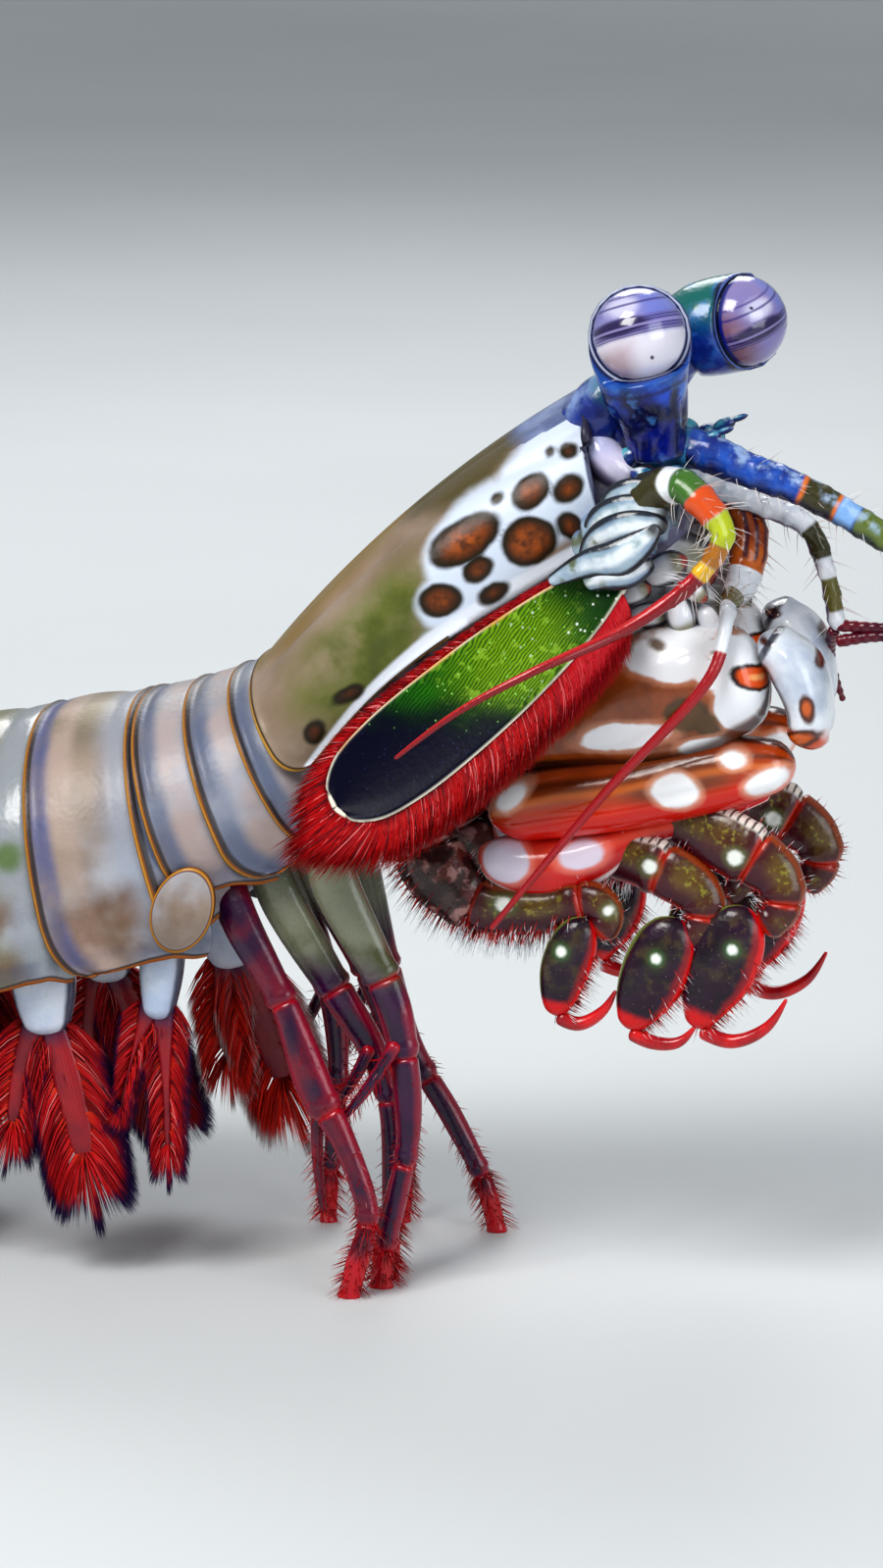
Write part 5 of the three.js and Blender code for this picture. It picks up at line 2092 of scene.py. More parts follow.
@dataclass
class Feelers:
    """The two antennules with their three whips each, and the two antennae that curl over the claws."""

    stems: dict[Side, Rows]
    whips: dict[Side, Sequence[Rows]]
    long: dict[Side, Rows]
    stem_finish: dict[Side, Finish]
    whip_finish: dict[Side, Finish]
    long_finish: dict[Side, Finish]

    def build(self, side: Side) -> list[bpy.types.Object]:
        """Makes one side's feelers.

        Args:
            side: The animal's side.

        Returns:
            The objects.
        """

        def knobs(share: Array, along: Array, turn: Array) -> Array:
            """Rings of low knobs where the joints are."""
            joint = np.cos(along * 1.9) ** 8
            return 0.1 * joint + 0.05 * np.sin(4 * turn + along) * np.cos(along * 2.7)

        word = side.word
        stem = limb(self.stems[side], 32, 90, (0.8, 0.7), swell=knobs, hand=side.value)
        whips = []
        ring_rate = 9

        def ringed(share: Array, along: Array, turn: Array) -> Array:
            """The fine rings of a whip."""
            return 0.03 * np.cos(along * ring_rate)

        def jointed_root(share: Array, along: Array, turn: Array) -> Array:
            """Low rings and facets on the thick part of the long feeler."""
            return 0.1 * (share < 0.45) * (np.cos(along * 2.1) ** 6 + 0.5 * np.sin(3 * turn))

        for rows in self.whips[side]:
            thick = np.linspace(0.46, 0.2, len(rows))
            rows = [[*row, size] for row, size in zip(rows, thick)]
            whips.append(limb(rows, 12, 110, (0.3, 0.2), None, swell=ringed, hand=side.value))
        feeler = limb(self.long[side], 30, 150, (1.2, 0.3), None, swell=jointed_root, hand=side.value)
        # The field edge rises towards the feeler's upper and lower sides beyond its base; the right antenna's
        # finish paints shade there.
        feeler.fields["edge"] = np.abs(feeler.fields["top"]) - (feeler.fields["along"] < 15.3)
        bristles = Setae(f"antenna_bristles_{word}", PALE_SETAE, "antenna")
        rng = np.random.default_rng(5 + side.value)
        for patch, low, high, count in ((feeler, 0.16, 0.42, 90), (stem, 0.3, 1.0, 46)):
            root, out, ahead, place = setae_on(patch, rng, count, between_shares(low, high))
            way = unit(out + 0.5 * ahead) * rng.uniform(0.8, 2.2, count)[:, None]
            bristles.add(root, way, 0.2 * ahead, 0.035, 1.0, place)
        return [
            Piece(
                f"antennule_stem_{word}",
                "antennule",
                self.stem_finish[side],
                (f"antennule_{word}",),
                [stem],
            ).build(),
            Piece(f"antennule_whips_{word}", "antennule", self.whip_finish[side], (), whips).build(),
            Piece(
                f"antenna_feeler_{word}", "antenna", self.long_finish[side], (f"antenna_{word}",), [feeler],
            ).build(),
            bristles.build(),
        ]


OLIVE_GREEN = rgb(96, 112, 44)
BLUE_STEM = banded(
    "blue antennule",
    rgb(40, 92, 190),
    rgb(14, 34, 116),
    (-1.0, 3.6, rgb(60, 130, 176)),
    (11.8, 14.4, OLIVE_DARK),
    (11.6, 11.9, ORANGE),
    (14.2, 14.5, ORANGE),
    (14.5, 15.9, rgb(126, 170, 224)),
    (16.0, 40.0, OLIVE_GREEN),
    more=(
        # Pale blotches on the upper side: a painted highlight.
        Layer(rgb(176, 202, 236), "top", 0.3, 2.0, 0.3, 0.8, 700.0, 0.6, Blotches(900.0, 0.55, 0.08)),
        # Navy on the underside: painted shade.
        Layer(rgb(8, 14, 60), "top", -2.0, -0.45, 0.3, 0.8, 500.0, 0.75),
    ),
)
WHITE_STEM = banded(
    "white antennule",
    rgb(240, 242, 246),
    rgb(206, 212, 224),
    (11.4, 13.8, OLIVE_DARK),
    (15.2, 17.6, OLIVE),
    (19.2, 30.0, rgb(128, 40, 30)),
    # Dark purple on the underside: painted shade.
    more=(Layer(rgb(70, 40, 96), "top", -2.0, -0.7, 0.14, 0.2, 500.0, 0.9),),
)
RIGHT_LONG = banded(
    "right antenna",
    rgb(176, 188, 210),
    rgb(40, 52, 84),
    (3.6, 6.4, OLIVE_DARK),
    (6.3, 7.1, WHITE),
    (7.1, 8.7, rgb(66, 112, 40)),
    (8.7, 10.6, rgb(214, 84, 26)),
    (10.6, 12.6, rgb(184, 196, 30)),
    (12.6, 14.2, rgb(176, 112, 24)),
    (14.2, 15.3, rgb(226, 178, 30)),
    (15.3, 80.0, rgb(190, 18, 26)),
    # Dark red along the upper and lower sides beyond the base: painted shade.
    more=(Layer(rgb(96, 4, 22), "edge", 0.5, 2.0, 0.3, 0.4, 500.0, 0.7),),
)
LEFT_LONG = banded(
    "left antenna",
    rgb(204, 104, 26),
    rgb(150, 62, 18),
    (-1.0, 4.0, rgb(150, 160, 190)),
    (13.4, 26.0, rgb(222, 226, 232)),
    (17.0, 21.0, OLIVE),
    (26.0, 80.0, rgb(158, 16, 28)),
    more=(
        Layer(
            rgb(64, 14, 44), "along", 5.0, 12.6, 0.3, 0.3, 500.0, 0.9,
            Stripes("side", 0.55, 0.42, 0.2, 0.2),
        ),
        Layer(
            rgb(220, 150, 40), "top", -2.0, -0.72, 0.15, 0.3, 900.0, 0.7, Stripes("along", 0.7, 0.6, 0.2),
        ),
    ),
)
FEELERS = Feelers(
    {
        Side.RIGHT: (
            (14.8, 2, 58.6, 1.5), (18, 2.8, 59.4, 1.4), (22, 3, 58.1, 1.2),
            (26.2, 3, 56.6, 1.05), (31.2, 3, 53.9, 0.95), (35.2, 3, 51.2, 0.9),
        ),
        Side.LEFT: (
            (14.8, 2, 57.2, 1.1), (17.6, 2.6, 56.4, 0.95), (20.8, 3, 55, 0.78),
            (25.2, 3, 53.3, 0.74), (26.6, 3, 50.4, 0.62), (27.5, 3, 46, 0.56),
        ),
    },
    {
        Side.RIGHT: (
            ((35, 3.2, 51.4), (41, 4.6, 49.2), (47, 6, 46)),
            ((35, 2.8, 51.2), (41.5, 1.8, 49.8), (47.6, 0.6, 49.4)),
            ((35, 3, 51), (39, 3.6, 46.6), (41.2, 4, 41.8)),
        ),
        Side.LEFT: (
            ((27.3, 3, 46.4), (31.5, 3.2, 46.3), (38.5, 3.8, 46.9), (45, 5.4, 45.4)),
            ((27.4, 3, 45.2), (31.5, 3, 45.7), (38, 2.6, 44.2), (43.6, 2, 40.8)),
            ((27.2, 3.4, 46), (26.6, 6, 43.6), (27.2, 8.2, 40)),
        ),
    },
    {
        Side.RIGHT: (
            (14, 6.6, 53.4, 2.3), (16, 7.8, 56.6, 1.8), (18.3, 9.2, 57.9, 1.15), (20.1, 10, 56.8, 1.1),
            (21.5, 10.2, 54.9, 0.82), (20.9, 10.4, 53.2, 0.68), (19.2, 11, 51.2, 0.56),
            (15.4, 12.6, 48.5, 0.44),
            (9.6, 15.8, 45.9, 0.3), (4.8, 16.6, 43.2, 0.24), (0.2, 16.2, 39.6, 0.14),
        ),
        Side.LEFT: (
            (14, 6.6, 53.4, 2.4), (17, 6.6, 55.6, 1.8), (19.8, 4.6, 54.8, 1.3), (21.2, 3.0, 52.4, 1.3),
            (21.0, 1.4, 49.6, 1.2), (20.8, -1.4, 48.9, 0.8), (21, -4.6, 48.9, 0.55), (21.5, -8, 48.4, 0.5),
            (20.9, -9.9, 45.2, 0.42), (13.6, -10.6, 36.6, 0.32), (5.6, -10.2, 26.6, 0.2),
        ),
    },
    {Side.RIGHT: BLUE_STEM, Side.LEFT: WHITE_STEM},
    {
        Side.RIGHT: banded("green whips", rgb(150, 150, 70), rgb(104, 92, 40)),
        Side.LEFT: banded("red whips", rgb(128, 14, 36), rgb(64, 8, 40)),
    },
    {Side.RIGHT: RIGHT_LONG, Side.LEFT: LEFT_LONG},
)

SCALE_BLADE = Finish(
    "antennal scale", rgb(40, 116, 8), rgb(22, 84, 8), 300.0,
    (
        Layer(rgb(132, 172, 20), "glow", 0.0, 9.0, 1.0, 0.8, 300.0, 0.7),
        Layer(rgb(8, 44, 4), strength=0.75, pattern=Stripes("ray", 0.24, 0.42, 0.25, 0.5, 900.0)),
        Layer(rgb(150, 190, 60), "glow", -0.6, 9.0, 0.8, strength=0.5, pattern=Blotches(1500.0, 0.6, 0.06)),
        Layer(rgb(12, 46, 10), "share", -1.0, 0.16, 0.1, 0.06, 300.0, 0.85),
        Layer(rgb(4, 24, 18), "deep", -0.02, 9.0, 0.08, 0.12, 420.0, 0.95),
        Layer(rgb(2, 3, 30), "deep", 0.05, 9.0, 0.08, 0.14, 420.0),
        Layer(rgb(150, 210, 110), "deep", -9.0, 0.06, 0.06, strength=0.8, pattern=Dots(1700.0, 0.12, 0.04)),
        Layer(rgb(60, 80, 150), "deep", 0.06, 9.0, 0.06, strength=0.45, pattern=Dots(2300.0, 0.1, 0.03)),
        Layer(
            rgb(220, 232, 222), "share", -1.0, 0.3, 0.15, strength=0.85, pattern=Dots(1500.0, 0.16, 0.04),
        ),
        Layer(rgb(236, 232, 214), "edge", -1.0, 0.28, 0.06),
        Layer(rgb(226, 140, 18), "trim", 0.0, 9.0, 0.1, 0.24, 220.0),
    ),
    roughness=0.46, coat=0.03, relief=0.03, relief_scale=900.0, shine=0.12,
)


@dataclass
class AntennalScale:
    """The flat oval scale of an antenna: a green to blue-black blade with a bead round it, and a fringe."""

    side: Side
    length: float = 25.4
    half: float = 3.15
    start: float = 0.8
    lifted: float = 1.35
    bristles: int = 8200
    outline: Rows = (
        (0, 0.4), (0.12, 0.7), (0.34, 0.98), (0.58, 1.1), (0.78, 1.08), (0.9, 0.92), (0.96, 0.64),
        (0.987, 0.38), (1.0, 0.03),
    )

    def ways(self) -> tuple[Array, Array, Array, Array]:
        """How the blade lies.

        Returns:
            Its root, its directions along and up its face, and the normal that faces away.
        """
        hand = self.side.value
        along = unit(np.array([-0.75, hand * 0.13, -0.65]))
        face = unit(np.array([0.0, hand * 0.95, 0.31]))
        up = unit(-hand * np.cross(along, face))
        root = np.array([15.6, hand * 9.6, 51.2]) + along * self.start + up * self.lifted
        return root, along, up, unit(np.cross(along, up) * -hand)

    def width(self, share: Array) -> Array:
        """The half width, on a smooth line through the outline.

        Args:
            share: Shares of the length.

        Returns:
            The half width in mm at each.
        """
        keys = np.array(self.outline)
        rows = on_line(
            np.column_stack([keys[:, 0] * self.length, keys[:, 1] * self.half, 0 * keys[:, 0]]),
            np.linspace(0, 1, 200),
        )
        return np.interp(share * self.length, rows[:, 0], rows[:, 1])

    def surface(self, share: Array, across: Array) -> Array:
        """Places on the face: root + along share + up across half width, bowed out by 0.55 (1 - across^2)
        and by half a mm at the middle of its length.

        Args:
            share: Shares of the length.
            across: From -1 at the lower border to 1 at the upper one.

        Returns:
            The places.
        """
        root, along, up, away = self.ways()
        w = self.width(share)
        bow = 0.55 * (1 - across**2) + 0.5 * np.sin(share * math.pi)
        return root + along * (
            share * self.length
        )[..., None] + up * (across * w)[..., None] + away * bow[..., None]

    def build(self) -> list[bpy.types.Object]:
        """Makes the blade and its fringe.

        Returns:
            Both objects.
        """
        share = np.sin(np.linspace(0, 1, 90) * math.pi / 2)[:, None] + np.zeros((1, 51))
        across = np.sin(np.linspace(-1, 1, 51) * math.pi / 2)[None, :] + np.zeros((90, 1))
        points = self.surface(share, across)
        w = self.width(share)
        edge = np.minimum((1 - np.abs(across)) * w, (1 - share) * self.length)
        edge = np.minimum(edge, share * self.length + 0.25) + 0.15 * smooth((share - 0.97) * 40)
        away = self.ways()[3]
        points = points + away * (0.16 * bell(edge, 0.12, 0.14) * smooth((1 - share) * 50))[..., None]
        fields = {
            "share": share,
            "edge": edge,
            "deep": share - 0.58 - 0.15 * across,
            "glow": 1.6 - np.hypot((share - 0.34) * 9, across * 1.3 - 0.2),
            "trim": np.minimum(0.26 - edge, 0.96 * across + 0.3 - 1.4 * smooth((share - 0.7) * 4)),
            "ray": across * w + 0.25 * share * self.length,
        }
        blade = shell(points, 0.32, fields)
        word = self.side.word
        plate = Piece(
            f"antennal_blade_{word}", "antennal_scale", SCALE_BLADE, (f"antennal_scale_{word}",), [blade],
        ).build()
        return [plate, self.fringe(word)]

    def fringe(self, word: str) -> bpy.types.Object:
        """The bristles in the blade's border: long below and at the tip, short above, swept to the tip.

        Args:
            word: The side's name.

        Returns:
            The object.
        """
        rng = np.random.default_rng(31)
        _, along, up, away = self.ways()
        made = Setae(f"antennal_fringe_{word}", RED_FRINGE, "antennal_scale")
        count = self.bristles
        turn = rng.uniform(-0.5, 1.0, count)
        lower = turn < 0.62
        share = np.where(lower, np.clip(0.02 + 0.98 * (turn + 0.5) / 1.12, 0, 1), 1 - (turn - 0.62) / 0.38)
        share = np.where(share < 0.76, share, 0.76 + 0.24 * np.sin((share - 0.76) / 0.24 * math.pi / 2))
        across = np.where(lower, -1.0, 1.0)
        tip = smooth((share - 0.86) * 7)
        roots = self.surface(share, across * (1 - 0.12 * rng.random(count)))
        reach = np.where(lower, 3.7 - 0.3 * share, 0.85 + 0.35 * share) + tip * np.where(lower, 0.5, 1.6)
        reach = reach * rng.uniform(0.7, 1.05, count) * np.where(lower, smooth(share * 6 + 0.45), 1.0)
        slant = np.where(lower, 0.1 + 0.4 * share, 0.9)[:, None] + 1.6 * tip[:, None]
        lift = away * rng.uniform(-0.14, 0.1, count)[:, None]
        stray = up * (rng.normal(0, 0.3, count) * tip)[:, None]
        way = unit(
            up * across[:, None] * (1 - 0.9 * tip[:, None]) + along * slant + lift + stray
        ) * reach[:, None]
        bend = along * (0.35 * reach * (0.4 + rng.random(count)))[:, None] - away * 0.15
        made.add(roots, way, bend, 0.07, share, np.stack([share, 0.5 + 0.45 * across], -1))
        return made.build()


# claws and mouth

CLAW_WHITE = (
    (17.8, 45.6, 3.6, 1.5, 2), (14.8, 40.2, 3.2, 1.0, 10), (21.6, 45.4, 3.0, 1.9, -10),
    (22.8, 42.8, 2.2, 2.0, 50),
    (19.8, 39.7, 1.6, 0.55, 15), (9.0, 40.6, 1.4, 0.7, 30), (25.0, 44.6, 2.2, 2.2, 0),
    (18.6, 47.0, 2.6, 0.8, 5),
)
CLAW_DARK = (
    (18.8, 41.9, 1.6, 1.2, 30), (16.6, 46.6, 1.1, 0.55, -15), (14.4, 46.4, 0.8, 0.9, 60),
    (20.3, 41.4, 1.0, 0.9, 0), (20.9, 46.2, 1.0, 0.5, 20),
)
CONDYLE = ((23.5, 44.6, 1.8, 0.9, -14),)
HAND_WHITE = (
    (18.1, 36.5, 1.6, 1.15, 0), (22.1, 38.8, 0.85, 0.6, 0), (24.4, 37.3, 1.5, 0.85, 25),
    (6.5, 35.4, 1.35, 0.62, 35),
)
HAND_DARK = ((17.6, 37.4, 4.2, 1.7, 8), (11.0, 36.2, 4.0, 0.6, 8))
# Pale ovals at both ends of the club's bulb: painted highlights.
CLUB_HIGHLIGHTS = ((6.1, 30.9, 1.7, 1.5, -10), (11.4, 31.5, 1.6, 0.95, 10))
WRIST_SPOTS = (
    (27.1, 42.6, 0.55, 1.0, 10), (27.9, 45.9, 0.5, 0.8, 20), (24.2, 46.9, 0.6, 0.3, 0),
    (26.4, 40.3, 1.6, 0.7, 20),
)
MERUS = Finish(
    "claw arm shell", rgb(158, 78, 26), rgb(116, 58, 24), 360.0,
    (
        Layer(rgb(70, 50, 18), "dark", 0.0, 60.0, 0.25, 0.9, 420.0),
        Layer(rgb(216, 152, 120), "white", -0.3, 60.0, 0.2, 1.3, 300.0, 0.5),
        Layer(rgb(238, 240, 244), "white", 0.0, 60.0, 0.12, 1.3, 300.0),
        Layer(rgb(92, 62, 26), "dark", 0.25, 60.0, 0.2, 0.9, 420.0, 0.9),
        Layer(rgb(34, 14, 10), "knuckle", 0.0, 60.0, 0.1, 0.6, 500.0),
        Layer(rgb(222, 84, 12), "knuckle", 0.22, 60.0, 0.12, 0.6, 500.0),
        Layer(rgb(250, 190, 120), "knuckle", 0.62, 60.0, 0.1, 0.6, 500.0, 0.7),
        Layer(rgb(44, 16, 10), "low", -1.0, -0.8, 0.08, 0.06, 300.0, 0.85),
    ),
    roughness=0.2, coat=0.6, relief=0.03, relief_scale=420.0,
)
CARPUS = Finish(
    "claw wrist shell", rgb(232, 236, 242), rgb(178, 188, 206), 320.0,
    (
        Layer(rgb(58, 28, 30), "low", -1.0, -0.7, 0.12, 0.14, 400.0, 0.7),
        Layer(rgb(206, 74, 14), "share", 0.84, 2.0, 0.05, 0.14, 400.0),
        Layer(rgb(78, 30, 12), "spots", 0.0, 60.0, 0.12, 0.8, 400.0),
        Layer(rgb(206, 96, 22), "spots", 0.26, 60.0, 0.15, 0.8, 400.0, 0.9),
        Layer(rgb(30, 30, 44), "seam", -1.0, 0.16, 0.06, 0.1, 400.0, 0.9),
    ),
    roughness=0.18, coat=0.65, relief=0.03, relief_scale=420.0,
)
PROPODUS = Finish(
    "claw hand shell", rgb(196, 82, 22), rgb(160, 62, 18), 180.0,
    (
        Layer(rgb(214, 16, 10), "low", -1.5, -0.2, 0.5, 0.5, 200.0, 0.92),
        Layer(rgb(104, 54, 24), "dark", 0.0, 60.0, 0.6, 0.9, 260.0, 0.85),
        Layer(rgb(72, 30, 14), "low", 0.5, 0.66, 0.08, 0.1, 200.0, 0.7),
        Layer(rgb(232, 132, 70), "low", 0.14, 0.34, 0.08, 0.16, 200.0, 0.5),
        Layer(rgb(60, 18, 10), "low", 0.92, 2.0, 0.04, 0.05, 200.0, 0.8),
        Layer(rgb(226, 168, 140), "white", -0.3, 60.0, 0.2, 0.7, 420.0, 0.6),
        Layer(rgb(242, 242, 244), "white", 0.0, 60.0, 0.16, 0.7, 420.0),
    ),
    roughness=0.2, coat=0.45, relief=0.025, relief_scale=400.0, shine=0.4,
)
DACTYL = Finish(
    "claw club", rgb(206, 16, 14), rgb(160, 8, 12), 240.0,
    (
        Layer(rgb(232, 88, 62), "low", 0.1, 0.8, 0.3, 0.4, 300.0, 0.7),
        # Pale pink and white over the club's ovals: painted highlights.
        Layer(rgb(238, 140, 124), "white", -0.35, 60.0, 0.25, 0.4, 420.0, 0.6),
        Layer(rgb(222, 212, 228), "white", 0.0, 60.0, 0.16, 0.4, 420.0),
        Layer(rgb(240, 226, 226), "low", -0.92, -0.74, 0.07, 0.06, 300.0, 0.8),
    ),
    roughness=0.18, coat=0.5, relief=0.02, relief_scale=400.0, shine=0.4,
)


def claw_ridge(share: Array, along: Array, turn: Array) -> Array:
    """The arm's ridges above and below, and the groove before its joint."""
    return 0.3 * bell(np.abs(np.sin(turn)), 1, 0.1) - 0.16 * bell(share, 0.84, 0.04)


def claw_collar(share: Array, along: Array, turn: Array) -> Array:
    """The wrist's collar and the groove before its joint."""
    return 0.22 * bell(share, 0.1, 0.06) - 0.2 * bell(share, 0.86, 0.03)


def claw_seam(share: Array, along: Array, turn: Array) -> Array:
    """The groove along the hand and the swelling at its end."""
    return -0.22 * bell(np.sin(turn), 0.16, 0.1) * smooth(share * 4) + 0.16 * bell(share, 0.9, 0.05)


def claw_waves(share: Array, along: Array, turn: Array) -> Array:
    """The club's three faint bulges."""
    return 0.06 * np.cos(3 * turn) * (share < 0.6)


@dataclass
class Claw:
    """One folded striking claw: arm, wrist, long hand and the club with its slender finger."""

    side: Side
    setback: float
    merus: Rows = (
        (5, 5.4, 37.9, 1, 0.9), (10, 5.6, 40.3, 2.6, 2.7), (15.5, 5.7, 42.2, 3.2, 4.4),
        (20.2, 5.7, 43.6, 3.3, 4.1), (24, 5.6, 44.8, 2.6, 2.4),
    )
    carpus: Rows = (
        (23.4, 5.6, 47, 1.6, 0.9), (25.8, 5.6, 45.2, 2.8, 1.8), (27.0, 5.6, 42, 2.8, 1.6),
        (26.6, 5.6, 39.4, 2, 1.5),
    )
    propodus: Rows = (
        (26, 5.6, 38.2, 1.8, 1.4), (21.5, 5.6, 37.5, 2.5, 2.5), (14, 5.6, 35.7, 2.7, 2.6),
        (7.6, 5.6, 34.5, 2.4, 2.4), (4.6, 5.6, 33.4, 1.2, 1.3),
    )
    dactyl: Rows = (
        (3.9, 5.6, 31.4, 1.3, 0.9), (5.6, 5.6, 30.6, 2.1, 1.8), (8.8, 5.6, 30.1, 2.3, 2.2),
        (12, 5.6, 31, 1.7, 1.7),
        (15, 5.6, 32.5, 0.8, 0.9), (20, 5.6, 34.2, 0.5, 0.6), (24.2, 5.6, 36, 0.3, 0.35),
    )

    def part(
        self, rows: Rows, caps: tuple[float, float], power: float, patterns: dict[str, Rows], swell: Swell,
    ) -> Patch:
        """One part of the claw with its drawn patterns.

        Args:
            rows: The limb's rows.
            caps: The roundings of its ends.
            power: The section's squareness.
            patterns: Ovals for each field.
            swell: The relief.

        Returns:
            The patch.
        """
        placed = [[x - self.setback, *rest] for x, *rest in rows]
        made = limb(placed, 72, 90, caps, power=power, swell=swell, hand=self.side.value)
        for word, ovals in patterns.items():
            made.fields[word] = oval_field(made.points, ovals, -self.setback)
        made.fields["low"] = made.fields["top"] * np.sign(np.gradient(made.points[:, 0, 0]).mean())
        made.fields["seam"] = np.abs(made.fields["share"] - 0.1) * 6
        return made

    def build(self) -> list[bpy.types.Object]:
        """Makes the claw's four parts.

        Returns:
            The objects.
        """
        word = self.side.word
        parts = (
            (
                "merus",
                self.merus,
                (1.5, 1.4),
                2.3,
                {"white": CLAW_WHITE, "dark": CLAW_DARK, "knuckle": CONDYLE},
                claw_ridge,
                MERUS,
                "claw_arm",
            ),
            (
                "carpus",
                self.carpus,
                (1.2, 1.2),
                2.4,
                {"spots": WRIST_SPOTS},
                claw_collar,
                CARPUS,
                "claw_arm",
            ),
            (
                "propodus",
                self.propodus,
                (1.4, 1.6),
                2.3,
                {"white": HAND_WHITE, "dark": HAND_DARK},
                claw_seam,
                PROPODUS,
                "claw_arm",
            ),
            ("dactyl", self.dactyl, (1.4, 0.4), 2.1, {"white": CLUB_HIGHLIGHTS}, claw_waves, DACTYL, "club"),
        )
        made = []
        for name, rows, caps, power, patterns, swell, finish, slot in parts:
            node = f"claw_{name}_{word}"
            patch = self.part(rows, caps, power, patterns, swell)
            made.append(Piece(f"{node}_shell", slot, finish, (node,), [patch]).build())
        return made


ARM = Finish(
    "grasping arm shell", rgb(84, 38, 20), rgb(52, 12, 24), 420.0,
    (
        Layer(rgb(104, 82, 30), "top", -0.1, 0.8, 0.3, 0.4, 500.0, 0.75, Blotches(340.0, 0.46, 0.14)),
        Layer(rgb(164, 160, 60), "top", -0.1, 0.7, 0.3, strength=0.5, pattern=Blotches(2600.0, 0.6, 0.06)),
        Layer(rgb(62, 8, 30), "top", -2.0, -0.3, 0.3, 0.6, 500.0, 0.95),
        Layer(rgb(176, 12, 18), "top", -2.0, -0.84, 0.1, 0.2, 500.0),
        Layer(rgb(70, 10, 24), "ends", -1.0, 1.2, 0.5, 0.7, 500.0, 0.9),
        Layer(rgb(186, 40, 18), "ends", -1.0, 0.5, 0.16, 0.4, 500.0, 0.85),
        Layer(rgb(150, 66, 22), "top", 0.86, 2.0, 0.06, 0.1, 500.0, 0.8),
        Layer(rgb(92, 38, 36), "base", 0.5, 2.0, 0.1, strength=0.9),
        Layer(rgb(186, 142, 136), "base", 0.5, 2.0, 0.1, strength=0.7, pattern=Blotches(900.0, 0.53, 0.05)),
        Layer(rgb(30, 14, 14), "base", 0.5, 2.0, 0.1, strength=0.85, pattern=Blotches(600.0, 0.46, 0.05)),
        Layer(rgb(96, 112, 66), "spot", -0.3, 9.0, 0.3, 0.3, 700.0, 0.55),
        Layer(rgb(230, 234, 228), "spot", 0.04, 9.0, 0.16, 0.4, 700.0),
        Layer(rgb(228, 222, 214), "high", 0.8, 2.0, 0.06, 0.1, 700.0, 0.9),
        Layer(
            rgb(24, 12, 14), "high", 0.8, 2.0, 0.06, strength=0.9,
            pattern=Stripes("along", 0.5, 0.3, 0.2, 0.3, 900.0),
        ),
    ),
    roughness=0.28, coat=0.35, relief=0.05, relief_scale=900.0,
)
PALM = Finish(
    "grasping palm shell", rgb(44, 12, 42), rgb(24, 8, 24), 620.0,
    (
        Layer(rgb(84, 70, 40), "spot", -2.0, 9.0, 0.8, strength=0.55, pattern=Blotches(1000.0, 0.55, 0.1)),
        Layer(rgb(70, 84, 34), "spot", -0.5, 9.0, 0.4, 0.4, 700.0, 0.3),
        Layer(rgb(150, 14, 28), "side2", 0.66, 3.0, 0.12, 0.3, 500.0, 0.9),
        Layer(rgb(220, 12, 16), "side2", 0.84, 3.0, 0.06, 0.14, 500.0),
        Layer(rgb(130, 150, 70), "side2", -3.0, -0.92, 0.06, 0.14, 500.0, 0.85),
        Layer(rgb(120, 96, 90), "side2", -0.8, 0.6, 0.2, strength=0.5, pattern=Dots(2400.0, 0.14, 0.04)),
        Layer(rgb(58, 96, 52), "spot", -0.2, 9.0, 0.2, 0.3, 700.0, 0.7),
        Layer(rgb(236, 242, 234), "spot", 0.06, 9.0, 0.15, 0.35, 700.0),
        Layer(rgb(206, 10, 16), "share", 0.85, 2.0, 0.04, 0.1, 500.0),
    ),
    roughness=0.28, coat=0.35, relief=0.05, relief_scale=900.0, shine=0.35,
)
HOOK = banded("grasping hook", rgb(212, 22, 26), rgb(150, 10, 26))
PALM_SPOTS = ((10.3, 25.0, 0.42, 0.46, 0), (16.9, 24.8, 0.42, 0.46, 0), (22.2, 25.6, 0.42, 0.44, 0))
ARM_SPOTS = (
    (6.0, 27.8, 0.7, 0.5, 0), (13.5, 27.9, 0.4, 0.4, 0), (16.2, 30.9, 0.6, 0.55, 0),
    (22.2, 31.9, 0.6, 0.55, 0),
)
ARM_CUTS = {
    "maxilliped_3": (0.3, 0.74, 0.9), "maxilliped_4": (0.3, 0.7, 0.9), "maxilliped_5": (0.14, 0.4, 0.8),
}
